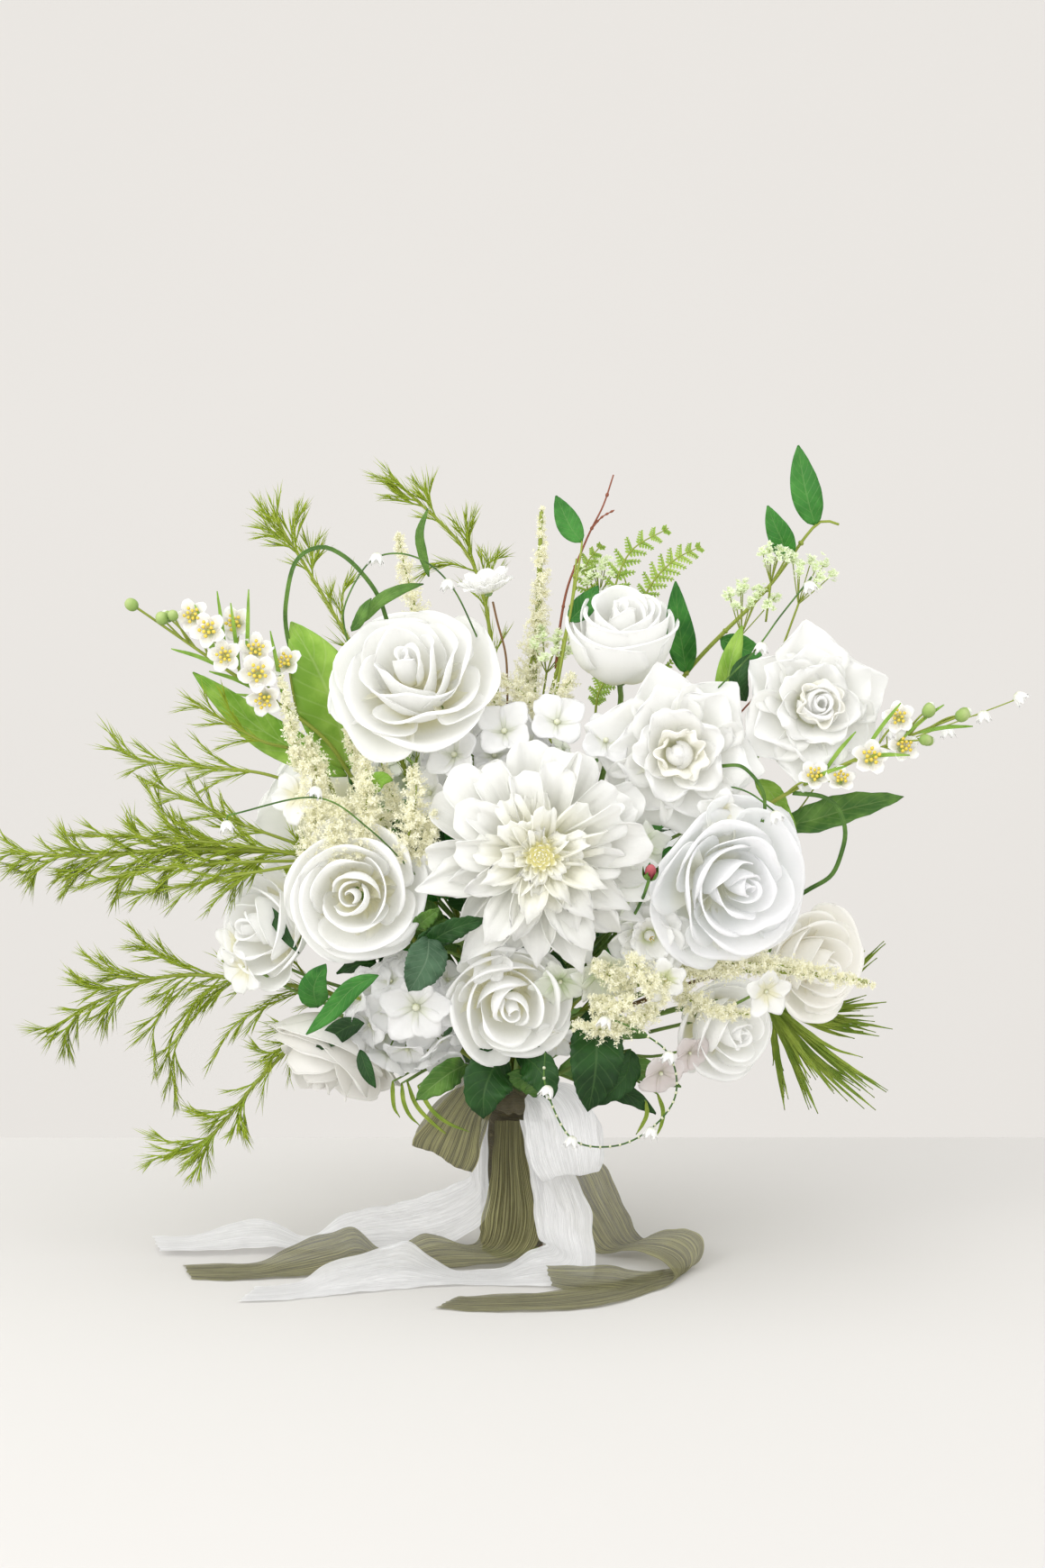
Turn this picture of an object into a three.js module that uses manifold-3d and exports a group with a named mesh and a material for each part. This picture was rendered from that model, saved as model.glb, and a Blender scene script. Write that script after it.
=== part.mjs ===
// Bridal bouquet: a hand-tied bunch of white roses, a dahlia, gardenias and hydrangea with
// sprays, branches and trailing ribbons. It stands on its own cut stem ends.
// Millimetres, +Z up. The origin is the middle of the cut ends, on the surface it stands on.
// +X is the wide way of the bunch; the full side of the bunch faces -Y.
import * as THREE from "three";
import { mergeVertices } from "three/addons/utils/BufferGeometryUtils.js";
import Module from "manifold-3d";

const wasm = await Module();
wasm.setup();

// ---------- driving dimensions ----------
const STEM_FOOT_R = 2.1;      // a stem at its cut end
const STEM_TIE_R = 1.95;      // at the binding
const STEM_FREE_R = 1.65;     // above the binding
const STEM_SIDES = 6;
const TIE_Z = 112;            // above this height the stems spread
const FOOT_PITCH = 5.5;       // stem spacing at the cut ends, six round each stem
const TIE_PITCH = 4.55;       // stem spacing at TIE_Z
const TAPE_Z = [95.2, 109];   // floral tape binding
const TAPE_WALL = 1.3;
const WRAP_Z = [6, 94.6];     // ribbon wound round the handle
const WRAP_WALL = 1.2;
const WRAP_GAP = 0.35;
const RIBBON_T = 0.8;         // thickness given to each ribbon
const KNOT = { c: [1, -25.6, 99.5], r: [12.5, 6.4, 7.6] };

// The stems: centre lines from the cut end upwards. The first two points are the straight
// run inside the handle; the last is where the flower head or the growth sits.
const STEMS = {
  dahlia: [[2.8, -14.3, 0], [2.3, -11.8, 112], [3.2, -14, 123], [5.8, -16.6, 155.6], [8.5, -20.6, 187.8], [10.3, -24.9, 208.6], [11.3, -27.7, 218.8], [13.2, -34.5, 238.4], [15.1, -42.6, 257.2], [15.5, -64.5, 259.9]],
  garden_rose_left: [[-2.8, 4.8, 0], [-2.3, 3.9, 112], [-3.8, 4.7, 128.1], [-5.6, 6.8, 144.1], [-8.7, 9, 159.7], [-13, 10.3, 174.8], [-17.5, 10.3, 190], [-21.5, 9.2, 205.4], [-28.5, 5.8, 236.6], [-35.9, 1.2, 267.4], [-43.4, -4.9, 297.7], [-50.8, -12.3, 327.5], [-54.2, -29.1, 341.3]],
  rose_top: [[2.8, 4.8, 0], [2.3, 3.9, 112], [5.9, 3.8, 127.7], [17.3, 4.5, 158.3], [22.7, 5.9, 173.7], [31.5, 8.3, 205], [39.5, 8.6, 236.6], [47.6, 7.7, 268], [63.3, 2.9, 330.6], [63.7, -7, 350.3]],
  rose_left: [[-8.2, -4.8, 0], [-6.8, -3.9, 112], [-11, -4.8, 122.4], [-21.8, -4.1, 140.2], [-27.5, -4.9, 148.9], [-39.4, -8, 165.7], [-58.3, -14.6, 189.6], [-71, -21.1, 204.4], [-76.5, -24.8, 212.3], [-81.5, -27.7, 220.7], [-86.2, -29.5, 229.5], [-88.4, -51.1, 232.8]],
  gardenia_centre: [[5.5, 0, 0], [4.6, 0, 112], [10, 0.2, 127.7], [27.3, 2.5, 171.9], [39.5, 3.5, 200.9], [52.3, 3.1, 229.2], [59, 2.2, 243.2], [72.5, -1.4, 270.3], [79.2, -4.2, 283.5], [92.3, -11.2, 309.2], [94.1, -32.8, 312.5]],
  gardenia_right: [[8.2, 4.8, 0], [6.8, 3.9, 112], [15.8, 6, 129.6], [25.8, 8.1, 146], [57.9, 14, 194.1], [69.3, 15.6, 209.7], [92.9, 17.4, 240], [117.2, 17, 269.4], [141.7, 13.7, 297.9], [165.8, 8, 325.6], [170.7, -12.4, 332.4]],
  garden_rose_right: [[8.2, -4.8, 0], [6.8, -3.9, 112], [11.4, -4.8, 123.8], [29.8, -5.9, 155], [43.3, -7.3, 174.8], [58, -9.6, 193.6], [65.7, -11.2, 202.6], [81.8, -15.5, 219.4], [106.4, -24.5, 242.3], [115.8, -44.5, 242.3]],
  rose_bottom: [[-2.8, -14.3, 0], [-2.3, -11.8, 112], [-2.7, -13.9, 117.4], [-3.9, -15.2, 132.1], [-5.1, -17.7, 146.6], [-6.3, -21.8, 160.4], [-7.5, -29.9, 177.2], [-4.8, -51.6, 175]],
  rose_lower_right: [[13.8, 4.8, 0], [11.4, 3.9, 112], [17.8, 5.4, 116.3], [29.5, 5.6, 124], [48.4, 5.5, 133.9], [68.5, 4.2, 141.7], [89.1, 1.1, 147.8], [102.6, -2, 151.4], [113.8, -20.9, 150.2]],
  rose_far_right: [[11, 9.5, 0], [9.1, 7.9, 112], [17.7, 11.2, 119], [26.8, 13.1, 125.8], [45.9, 17.1, 138.4], [55.9, 18.9, 144.1], [66.1, 20.7, 149.5], [87.2, 23.5, 159.2], [108.9, 25.2, 167.7], [130.9, 25.2, 175.2], [152.9, 23.9, 182.1], [165.3, 5.8, 182.1]],
  rose_far_left: [[-13.8, 4.8, 0], [-11.4, 3.9, 112], [-17.5, 5.3, 119.8], [-23.3, 5.7, 127.4], [-42.4, 6.8, 149.2], [-63.7, 7, 168.9], [-79, 6.2, 180.8], [-94.8, 4.3, 191.8], [-110.7, 1.7, 202.2], [-126.9, -13.1, 204.4]],
  rose_lower_left: [[-11, 0, 0], [-9.1, 0, 112], [-12.8, 0.1, 119.7], [-27.8, -1.4, 134.7], [-44.4, -3.1, 148.2], [-62.3, -5.5, 159.1], [-81, -8.7, 167], [-87.2, -9.9, 169], [-96.5, -17.7, 150.6]],
  hydrangea_lower_left: [[-5.5, -9.5, 0], [-4.6, -7.9, 112], [-6.3, -9.2, 119], [-16, -9.4, 133.1], [-23.4, -9.4, 141.9], [-27.5, -9.8, 145.9], [-39.9, -13.3, 157.1], [-48.2, -16.7, 163.9], [-56.2, -20.9, 170.2], [-59.5, -41.9, 164.6]],
  hydrangea_upper: [[0, 0, 0], [0, 0, 112], [-0.2, 0.2, 125], [-2.2, 3.6, 189.1], [-3.9, 3.7, 227.2], [-4.6, 3.1, 239.7], [-6.3, 0.7, 264.4], [-8.2, -3.1, 288.6], [-12.6, -21.7, 299.6]],
  rose_back_left: [[-11, 9.5, 0], [-9.1, 7.9, 112], [-13.5, 9.2, 123], [-22.6, 9.6, 144.7], [-38.1, 11.2, 176.3], [-49.8, 13.5, 196.4], [-62.3, 17, 215.7], [-75.7, 21.8, 233.9], [-89.3, 27.7, 251.3], [-103, 44.4, 255.7]],
  rose_back_right: [[2.8, 14.3, 0], [2.3, 11.8, 112], [3.8, 13.6, 120.2], [6.2, 14.6, 127.9], [13.9, 18.3, 150.6], [22.7, 23.6, 172.5], [29.3, 28.3, 186.2], [39.9, 37.3, 205.3], [43.6, 40.6, 211.4], [54.6, 59.6, 212.5]],
  hydrangea_back: [[-2.8, 14.3, 0], [-2.3, 11.8, 112], [-6.5, 16.8, 152.8], [-8.9, 20, 172.9], [-11.5, 24.2, 192.6], [-14.2, 29.8, 211.7], [-17, 36.9, 230.2], [-19.8, 45, 248], [-21.5, 65.9, 254.6]],
  astilbe_top: [[2.8, -4.8, 0], [2.3, -3.9, 112], [3.5, -4.1, 127.5], [7.1, -3.8, 219.7], [11.7, -4.4, 311.9], [13.5, -6.2, 360], [17.2, -3.1, 451.9]],
  astilbe_left: [[-8.2, -14.3, 0], [-6.8, -11.8, 112], [-12.5, -15.3, 123.3], [-24.9, -19.5, 146.2], [-38.1, -24, 168.4], [-73, -37, 223], [-99.8, -47.7, 267.3], [-103.7, -50.8, 289.3], [-113.9, -53.9, 313.9]],
  astilbe_right: [[5.5, -9.5, 0], [4.6, -7.9, 112], [6.7, -9.2, 119.5], [19, -18.5, 134.6], [32.7, -28.1, 148.6], [48, -37.6, 161.3], [69.8, -50.8, 175.9], [106.8, -55.4, 185.1], [154.4, -57, 186.5], [208.8, -53.9, 179.9]],
  astilbe_back: [[-5.5, 9.5, 0], [-4.6, 7.9, 112], [-7.8, 8.6, 127.2], [-10.7, 7.1, 142.2], [-12.6, 5.7, 157.5], [-13.7, 5, 173.2], [-14.7, 5.6, 188.9], [-16.3, 7.2, 204.2], [-27.3, 17.1, 263.6], [-40, 30, 322], [-52, 52, 356], [-62, 70, 388]],
  spray_left_upper: [[-11, -9.5, 0], [-9.1, -7.9, 112], [-22.1, -13.4, 135.2], [-28.2, -15.3, 146.9], [-48.2, -18.2, 181.7], [-63.4, -20, 203.6], [-72.2, -20.8, 213.6], [-82, -22.6, 222.3], [-102.8, -28.8, 237.8], [-124.4, -34.7, 252.4], [-196.3, -32.3, 255.2], [-250.1, -27.7, 249.9], [-297.8, -21.6, 251.5]],
  spray_left_middle: [[-13.8, -4.8, 0], [-11.4, -3.9, 112], [-18.3, -5.6, 117.6], [-32.6, -5.6, 127.8], [-47.9, -5.8, 136.9], [-64.2, -6.2, 144.8], [-81, -6.9, 151.7], [-124.8, -9.2, 166], [-198.5, -18.5, 175.8], [-243.9, -24.6, 162.9], [-278.5, -21.6, 141.2]],
  spray_left_lower: [[-16.5, 0, 0], [-13.6, 0, 112], [-34.8, 0.3, 124], [-42.1, 0.3, 127.6], [-57.4, 0.4, 133.6], [-81.6, 0.7, 139.7], [-98.4, 1.2, 142], [-115.6, 1.8, 143.1], [-121.4, -3.8, 140.4], [-151.3, -9.2, 111], [-182.7, -15.4, 75.2], [-209.8, -18.5, 62.6]],
  spray_top_left: [[-8.2, 4.8, 0], [-6.8, 3.9, 112], [-11.7, 4, 130.6], [-21, 1.9, 167], [-31.2, -0.1, 203.3], [-42.7, -2.1, 239.3], [-55.2, -4, 274.9], [-68.7, -5.6, 310.3], [-90, -7.7, 362.9], [-115.3, -6.2, 408.4], [-141.9, 0, 450.5]],
  spray_top: [[0, 9.5, 0], [0, 7.9, 112], [0.3, 8.6, 130], [-1.3, 8.8, 201], [-5.6, 8.1, 289.8], [-11.2, 8, 360.6], [-25, 10, 422.5], [-73, 14, 472]],
  spray_back: [[-8.2, 14.3, 0], [-6.8, 11.8, 112], [-12.7, 22.7, 122.4], [-18.9, 34.3, 132.2], [-29.4, 52.6, 145.1], [-41.6, 71.4, 156.3], [-60, 96, 170], [-112, 122, 190], [-165, 138, 212]],
  ruscus_right: [[5.5, 9.5, 0], [4.6, 7.9, 112], [8.1, 9, 130.4], [11.4, 8.9, 148.8], [15.4, 7.7, 167], [20.5, 5.9, 184.8], [34.1, 3.3, 219.5], [49.4, 1.9, 253.6], [65.8, 0.6, 287.1], [101.3, -1.5, 352.8], [150.1, 0, 404.9], [179.2, 2, 443.3], [192.9, 0, 444.1]],
  ruscus_top: [[0, -9.5, 0], [0, -7.9, 112], [2.1, -10.8, 143.6], [8.7, -17.5, 206.3], [14.8, -22.6, 253.2], [22, -27, 300], [23.2, -28.7, 315.8], [23, -30.8, 331.5], [38.8, -24.6, 421.5], [40.9, -23.1, 437.2]],
  broad_leaves_left: [[-5.5, 0, 0], [-4.6, 0, 112], [-7.9, -0.6, 125], [-19, -4.1, 148.2], [-36.8, -9.6, 182.6], [-87.4, -23.1, 273.5], [-97.8, -23.1, 303.3]],
  broad_leaf_right: [[11, 0, 0], [9.1, 0, 112], [15.8, -0.3, 125.1], [30.8, -2.7, 148.6], [55.6, -7, 182.6], [73.7, -10.4, 204.1], [92.9, -14.4, 224.7], [113.2, -18.7, 244.1], [134.2, -23.1, 262.7], [156.3, -27.7, 268.9]],
  palm_grass_right: [[16.5, 0, 0], [13.6, 0, 112], [34.4, -1.4, 129.9], [49, -2.3, 140.8], [56.7, -2.7, 145.7], [72.8, -3.5, 154.3], [98.5, -4.3, 164.2], [125.1, -4.6, 171.1], [156.9, 0, 153.4]],
  wax_flowers_left: [[-2.8, -4.8, 0], [-2.3, -3.9, 112], [-6.2, -5.5, 129.1], [-19.2, -9.6, 161.2], [-33.4, -13.9, 192.9], [-49, -18.5, 223.8], [-57.4, -20.8, 239], [-75.4, -25.5, 268.6], [-94.6, -30.2, 297.5], [-114.7, -34.7, 325.7], [-168, -38.5, 363.7], [-222.1, -34.7, 401]],
  wax_flowers_right: [[11, -9.5, 0], [9.1, -7.9, 112], [34.7, -15, 154.7], [53.6, -20, 182.3], [63.6, -22.6, 195.6], [84.8, -28.1, 221.5], [107.3, -33.9, 246.4], [132.3, -39.3, 268.7], [158.1, -47.7, 289.3], [205.5, -58.5, 315.8], [262.6, -50.8, 338.5]],
  freesia_right: [[8.2, -14.3, 0], [6.8, -11.8, 112], [20.7, -22, 129.8], [30.6, -29.1, 141], [56.1, -48.8, 167.7], [75.8, -64.7, 189.8], [80.6, -77, 211.4]],
  lily_of_the_valley_right: [[13.8, -4.8, 0], [11.4, -3.9, 112], [20.8, -5.3, 124.8], [40.1, -6.4, 149.6], [61, -7.6, 173.5], [83.3, -9.1, 196.3], [118.4, -11.7, 229.2], [166.6, -15.4, 272.1], [195.5, -18.5, 301.4], [299.6, -15.4, 342.5]],
  fern_top_right: [[8.2, 14.3, 0], [6.8, 11.8, 112], [13.2, 12.9, 128.5], [33, 14, 177.1], [66.9, 17.3, 257.5], [78.8, 19, 290], [93.6, 22, 339.4], [75.1, 26, 382.5], [65.3, 26, 415.1]],
};

// Flower heads: centre, way it faces, radius, height in front of the centre and depth behind
// it, petals round it.
const HEADS = {
  dahlia: { c: [16.2, -94.8, 263.6], n: [0.02, -0.992, 0.122], r: 60, front: 14, back: 30, petals: 12, kind: "dahlia" },
  garden_rose_left: { c: [-59.5, -55.4, 363.1], n: [-0.152, -0.762, 0.63], r: 41, front: 24, back: 34, petals: 6, kind: "rose" },
  rose_top: { c: [64.4, -21.6, 379.4], n: [0.02, -0.447, 0.894], r: 29, front: 24, back: 32, petals: 5, kind: "rose" },
  rose_left: { c: [-91.7, -83.2, 237.8], n: [-0.101, -0.983, 0.152], r: 37, front: 20, back: 32, petals: 5, kind: "rose" },
  gardenia_centre: { c: [96.3, -59, 316.6], n: [0.082, -0.985, 0.154], r: 40, front: 16, back: 26, petals: 6, kind: "gardenia" },
  gardenia_right: { c: [176.7, -37, 340.5], n: [0.226, -0.924, 0.308], r: 37, front: 16, back: 26, petals: 6, kind: "gardenia" },
  garden_rose_right: { c: [129.5, -74, 242.3], n: [0.423, -0.906, 0], r: 41, front: 20, back: 32, petals: 6, kind: "rose" },
  rose_bottom: { c: [-1.3, -79.9, 172.1], n: [0.122, -0.987, -0.102], r: 31, front: 18, back: 28, petals: 5, kind: "rose" },
  rose_lower_right: { c: [127.7, -44.7, 148.8], n: [0.506, -0.861, -0.051], r: 28, front: 18, back: 27, petals: 5, kind: "rose" },
  rose_far_right: { c: [181, -16.9, 182.1], n: [0.567, -0.824, 0], r: 31, front: 17, back: 27, petals: 5, kind: "rose" },
  rose_far_left: { c: [-147.8, -32.3, 207.3], n: [-0.733, -0.672, 0.102], r: 30, front: 17, back: 28, petals: 5, kind: "rose" },
  rose_lower_left: { c: [-108.1, -27.4, 127.6], n: [-0.423, -0.352, -0.835], r: 28, front: 20, back: 27, petals: 5, kind: "rose" },
  hydrangea_lower_left: { c: [-62.3, -59.1, 160.1], n: [-0.151, -0.956, -0.252], r: 33, front: 12, back: 24, petals: 8, kind: "ball" },
  hydrangea_upper: { c: [-16.2, -36.9, 308.5], n: [-0.199, -0.845, 0.497], r: 36, front: 13, back: 24, petals: 8, kind: "ball" },
  rose_back_left: { c: [-121.9, 67.7, 261.8], n: [-0.619, 0.759, 0.2], r: 38, front: 20, back: 30, petals: 5, kind: "rose" },
  rose_back_right: { c: [70, 86, 214], n: [0.502, 0.863, 0.05], r: 38, front: 20, back: 30, petals: 5, kind: "rose" },
  hydrangea_back: { c: [-24.1, 96.3, 264.2], n: [-0.08, 0.951, 0.3], r: 62, front: 32, back: 38, petals: 8, kind: "ball" },
};

// Leaves, needles and thin stalks on a stem: centre line, width at each point, thickness, facing.
const BLADES = {
  spray_left_upper: [
    { p: [[-271.6, -25, 250.6], [-283.7, -20.9, 241.1], [-295.9, -16.9, 239.7]], w: [1.44, 1.8, 0.9], t: 1.2, f: [0, -1, 0.1] },
    { p: [[-254.9, -27.1, 250.1], [-270.6, -26.6, 239.3], [-286.3, -26.2, 236.6]], w: [1.44, 1.8, 0.9], t: 1.2, f: [0, -1, 0.1] },
    { p: [[-239.3, -28.6, 251], [-253.3, -25.1, 234.4], [-267.2, -21.6, 225.8]], w: [1.44, 1.8, 0.9], t: 1.2, f: [0, -1, 0.1] },
    { p: [[-223.2, -30, 252.6], [-244.1, -30.4, 261.5], [-265.1, -30.8, 262.5]], w: [1.44, 1.8, 0.9], t: 1.2, f: [0, -1, 0.1] },
    { p: [[-201.7, -31.8, 254.7], [-214.5, -27.5, 265.1], [-227.3, -23.1, 267.5]], w: [1.44, 1.8, 0.9], t: 1.2, f: [0, -1, 0.1] },
    { p: [[-178.3, -32.9, 254.5], [-192.1, -34.2, 269.1], [-205.9, -35.4, 275.8]], w: [1.44, 1.8, 0.9], t: 1.2, f: [0, -1, 0.1] },
    { p: [[-207.1, -31.4, 254.1], [-221, -32.6, 235.9], [-235, -33.9, 225.6]], w: [1.44, 1.8, 0.9], t: 1.2, f: [0, -1, 0.1] },
    { p: [[-181.9, -32.8, 254.6], [-196.2, -27.2, 236.8], [-210.4, -21.6, 226.9]], w: [1.44, 1.8, 0.9], t: 1.2, f: [0, -1, 0.1] },
    { p: [[-142.4, -34.1, 253.1], [-154.6, -34, 235.4], [-166.8, -33.9, 225.6]], w: [1.44, 1.8, 0.9], t: 1.2, f: [0, -1, 0.1] },
  ],
  spray_left_middle: [
    { p: [[-245.6, -24.5, 161.8], [-257.5, -20.7, 141.7], [-269.5, -16.9, 129.6]], w: [1.44, 1.8, 0.9], t: 1.2, f: [0, -1, 0.1] },
    { p: [[-241.6, -24.3, 163.5], [-250.5, -26.8, 172.7], [-259.3, -29.3, 173.8]], w: [1.44, 1.8, 0.9], t: 1.2, f: [0, -1, 0.1] },
    { p: [[-225.7, -22.2, 168.1], [-240, -20.3, 182], [-254.3, -18.5, 187.9]], w: [1.44, 1.8, 0.9], t: 1.2, f: [0, -1, 0.1] },
    { p: [[-216.7, -20.9, 170.6], [-230.3, -25.9, 156.6], [-244, -30.8, 150.5]], w: [1.44, 1.8, 0.9], t: 1.2, f: [0, -1, 0.1] },
    { p: [[-198.5, -18.5, 175.8], [-212.6, -20.8, 194.6], [-226.7, -23.1, 205.4]], w: [1.44, 1.8, 0.9], t: 1.2, f: [0, -1, 0.1] },
    { p: [[-183.8, -16.6, 173.8], [-195.8, -23.7, 164.5], [-207.9, -30.8, 163.2]], w: [1.44, 1.8, 0.9], t: 1.2, f: [0, -1, 0.1] },
    { p: [[-161.6, -13.8, 170.9], [-178.5, -18.5, 155], [-195.3, -23.1, 147.1]], w: [1.44, 1.8, 0.9], t: 1.2, f: [0, -1, 0.1] },
    { p: [[-146.9, -12, 168.9], [-173.9, -19.9, 130.8], [-201, -27.7, 100.6]], w: [1.44, 1.8, 0.9], t: 1.2, f: [0, -1, 0.1] },
  ],
  spray_left_lower: [
    { p: [[-143.8, -7.8, 118.4], [-180.6, -15.5, 93.8], [-217.3, -23.1, 77.2]], w: [1.44, 1.8, 0.9], t: 1.2, f: [0, -1, 0.1] },
    { p: [[-143.8, -7.8, 118.4], [-166.8, -10.1, 99.6], [-189.8, -12.3, 88.9]], w: [1.44, 1.8, 0.9], t: 1.2, f: [0, -1, 0.1] },
    { p: [[-143.8, -7.8, 118.4], [-165.9, -14.7, 82.4], [-188, -21.6, 54.5]], w: [1.44, 1.8, 0.9], t: 1.2, f: [0, -1, 0.1] },
    { p: [[-143.8, -7.8, 118.4], [-154.2, -13.2, 96.5], [-164.6, -18.5, 82.7]], w: [1.44, 1.8, 0.9], t: 1.2, f: [0, -1, 0.1] },
    { p: [[-143.8, -7.8, 118.4], [-149.2, -7, 126.7], [-154.5, -6.2, 127]], w: [1.44, 1.8, 0.9], t: 1.2, f: [0, -1, 0.1] },
    { p: [[-134.9, -6.2, 127.2], [-141.4, -1.1, 135.2], [-148, 4, 135.2]], w: [1.44, 1.8, 0.9], t: 1.2, f: [0, -1, 0.1] },
  ],
  spray_top_left: [
    { p: [[-132.6, -2.2, 435.8], [-140.4, 1.9, 446], [-148.1, 6, 448.2]], w: [1.44, 1.8, 0.9], t: 1.2, f: [0, -1, 0.1] },
    { p: [[-125.9, -3.7, 425.2], [-126.5, -5.7, 443.4], [-127.1, -7.7, 453.5]], w: [1.44, 1.8, 0.9], t: 1.2, f: [0, -1, 0.1] },
    { p: [[-119.3, -5.3, 414.7], [-130.9, -7.3, 430.5], [-142.6, -9.2, 438.2]], w: [1.44, 1.8, 0.9], t: 1.2, f: [0, -1, 0.1] },
    { p: [[-111.5, -6.4, 401.6], [-113.6, -1.2, 421.2], [-115.6, 4, 432.9]], w: [1.44, 1.8, 0.9], t: 1.2, f: [0, -1, 0.1] },
    { p: [[-103.9, -6.9, 387.9], [-100.3, 0.6, 404], [-96.7, 8, 412]], w: [1.44, 1.8, 0.9], t: 1.2, f: [0, -1, 0.1] },
  ],
  spray_top: [
    { p: [[-58.6, 12.8, 457.2], [-66.3, 10.4, 462.2], [-74, 8, 459.2]], w: [1.44, 1.8, 0.9], t: 1.2, f: [0, -1, 0.1] },
    { p: [[-46.6, 11.8, 444.8], [-48.9, 15.9, 458.3], [-51.3, 20, 463.8]], w: [1.44, 1.8, 0.9], t: 1.2, f: [0, -1, 0.1] },
    { p: [[-37, 11, 434.9], [-32.3, 8.5, 445.3], [-27.6, 6, 447.7]], w: [1.44, 1.8, 0.9], t: 1.2, f: [0, -1, 0.1] },
    { p: [[-27.4, 10.2, 425], [-18.5, 14.1, 420.3], [-9.5, 18, 423.7]], w: [1.44, 1.8, 0.9], t: 1.2, f: [0, -1, 0.1] },
    { p: [[-32.2, 10.6, 429.9], [-42.5, 7.3, 420.4], [-52.7, 4, 418.9]], w: [1.44, 1.8, 0.9], t: 1.2, f: [0, -1, 0.1] },
  ],
  spray_back: [
    { p: [[-112, 122, 190], [-145, 136, 218], [-178, 150, 240]], w: [1.5, 1.8, 0.9], t: 1.2, f: [0, 0.8, 0.4] },
    { p: [[-120, 124.4, 193.3], [-154, 123.2, 202.2], [-188, 122, 205]], w: [1.5, 1.8, 0.9], t: 1.2, f: [0, 0.8, 0.4] },
    { p: [[-127.9, 126.8, 196.6], [-149, 137.4, 194.3], [-170, 148, 186]], w: [1.5, 1.8, 0.9], t: 1.2, f: [0, 0.8, 0.4] },
    { p: [[-135.8, 129.2, 199.9], [-141.9, 120.6, 212], [-148, 112, 218]], w: [1.5, 1.8, 0.9], t: 1.2, f: [0, 0.8, 0.4] },
    { p: [[-143.8, 131.6, 203.2], [-134.9, 137.8, 190.6], [-126, 144, 172]], w: [1.5, 1.8, 0.9], t: 1.2, f: [0, 0.8, 0.4] },
    { p: [[-151.8, 134, 206.5], [-173.9, 138, 219.2], [-196, 142, 226]], w: [1.5, 1.8, 0.9], t: 1.2, f: [0, 0.8, 0.4] },
  ],
  ruscus_right: [
    { p: [[179.2, 2, 443.3], [174.6, 0, 458], [170.8, 2, 475.9], [168.7, 4, 490.6]], w: [2, 17, 12, 1.2], t: 1, f: [0, -1, 0.15] },
    { p: [[163.2, 0.9, 422.2], [159.3, -3.1, 434.8], [154.3, -4.6, 445.7], [150.5, -4.6, 455.8]], w: [2, 14, 11, 1.2], t: 1, f: [0, -1, 0.15] },
    { p: [[103.7, -1.4, 355.4], [100.4, -9.2, 373.9], [97.5, -12.3, 393.2], [96.2, -13.9, 412.1]], w: [2, 15, 12, 1.2], t: 1, f: [0, -1, 0.15] },
    { p: [[123.3, -0.8, 376.2], [131.8, 2, 371.8], [141.2, 6, 367.9], [151.1, 10, 366.3]], w: [2, 14, 11, 1.2], t: 1, f: [0, -1, 0.15] },
  ],
  ruscus_top: [
    { p: [[40.8, -23.2, 436.4], [34.5, -21.6, 444.5], [29.8, -20, 453.8], [25.6, -18.5, 463.2]], w: [2, 14, 10, 1.2], t: 1, f: [0, -1, 0.15] },
    { p: [[33.3, -26.8, 390], [40.4, -23.1, 396.8], [45.8, -20, 402.8], [50.6, -16.9, 409.8]], w: [2, 11, 9, 1.2], t: 1, f: [0, -1, 0.15] },
  ],
  broad_leaves_left: [
    { p: [[-97.8, -23.1, 300.3], [-102.8, -26.2, 330.8], [-114.7, -27.7, 362.1], [-129.9, -26.2, 389.7]], w: [4, 22, 20, 1.4], t: 1.1, f: [0, -1, 0.2] },
    { p: [[-97.8, -23.1, 297.3], [-122.1, -16.9, 308.7], [-151.3, -15.4, 325.8], [-189, -12.3, 357.7]], w: [4, 15, 13, 1.4], t: 1.1, f: [0, -1, 0.2] },
  ],
  broad_leaf_right: [
    { p: [[153.5, -27.1, 268.1], [173.7, -30.8, 271.1], [200.1, -32.3, 279.5], [231.1, -29.3, 286]], w: [4, 24, 19, 1.4], t: 1.1, f: [0.1, -0.8, 0.6] },
  ],
  palm_grass_right: [
    { p: [[155.2, -0.3, 154.4], [198.5, 36, 159.2], [226.6, 28, 185.1]], w: [1.6, 4.2, 0.9], t: 0.9, f: [0.1, -0.9, 0.4] },
    { p: [[154.1, -0.4, 154.9], [192.6, 28, 145.3], [227, 20, 150.5]], w: [1.6, 4.2, 0.9], t: 0.9, f: [0.1, -0.9, 0.4] },
    { p: [[153.1, -0.6, 155.5], [195.7, 32, 137.6], [231.6, 26, 132.2]], w: [1.6, 4.2, 0.9], t: 0.9, f: [0.1, -0.9, 0.4] },
    { p: [[152, -0.7, 156.1], [189.4, 20, 135.9], [221.9, 8, 132]], w: [1.6, 4.2, 0.9], t: 0.9, f: [0.1, -0.9, 0.4] },
    { p: [[155.2, -0.3, 154.4], [188.3, 2, 125], [226.1, 0, 99.2]], w: [1.6, 4.2, 0.9], t: 0.9, f: [0.1, -0.9, 0.4] },
    { p: [[154.1, -0.4, 154.9], [183.5, 10, 117.5], [220.6, 10, 85.5]], w: [1.6, 4.2, 0.9], t: 0.9, f: [0.1, -0.9, 0.4] },
    { p: [[153.1, -0.6, 155.5], [173.3, -3.8, 126.4], [194.1, -6.2, 99.7]], w: [1.6, 4.2, 0.9], t: 0.9, f: [0.1, -0.9, 0.4] },
    { p: [[152, -0.7, 156.1], [169.5, 4, 119], [185, 2, 85.3]], w: [1.6, 4.2, 0.9], t: 0.9, f: [0.1, -0.9, 0.4] },
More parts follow.
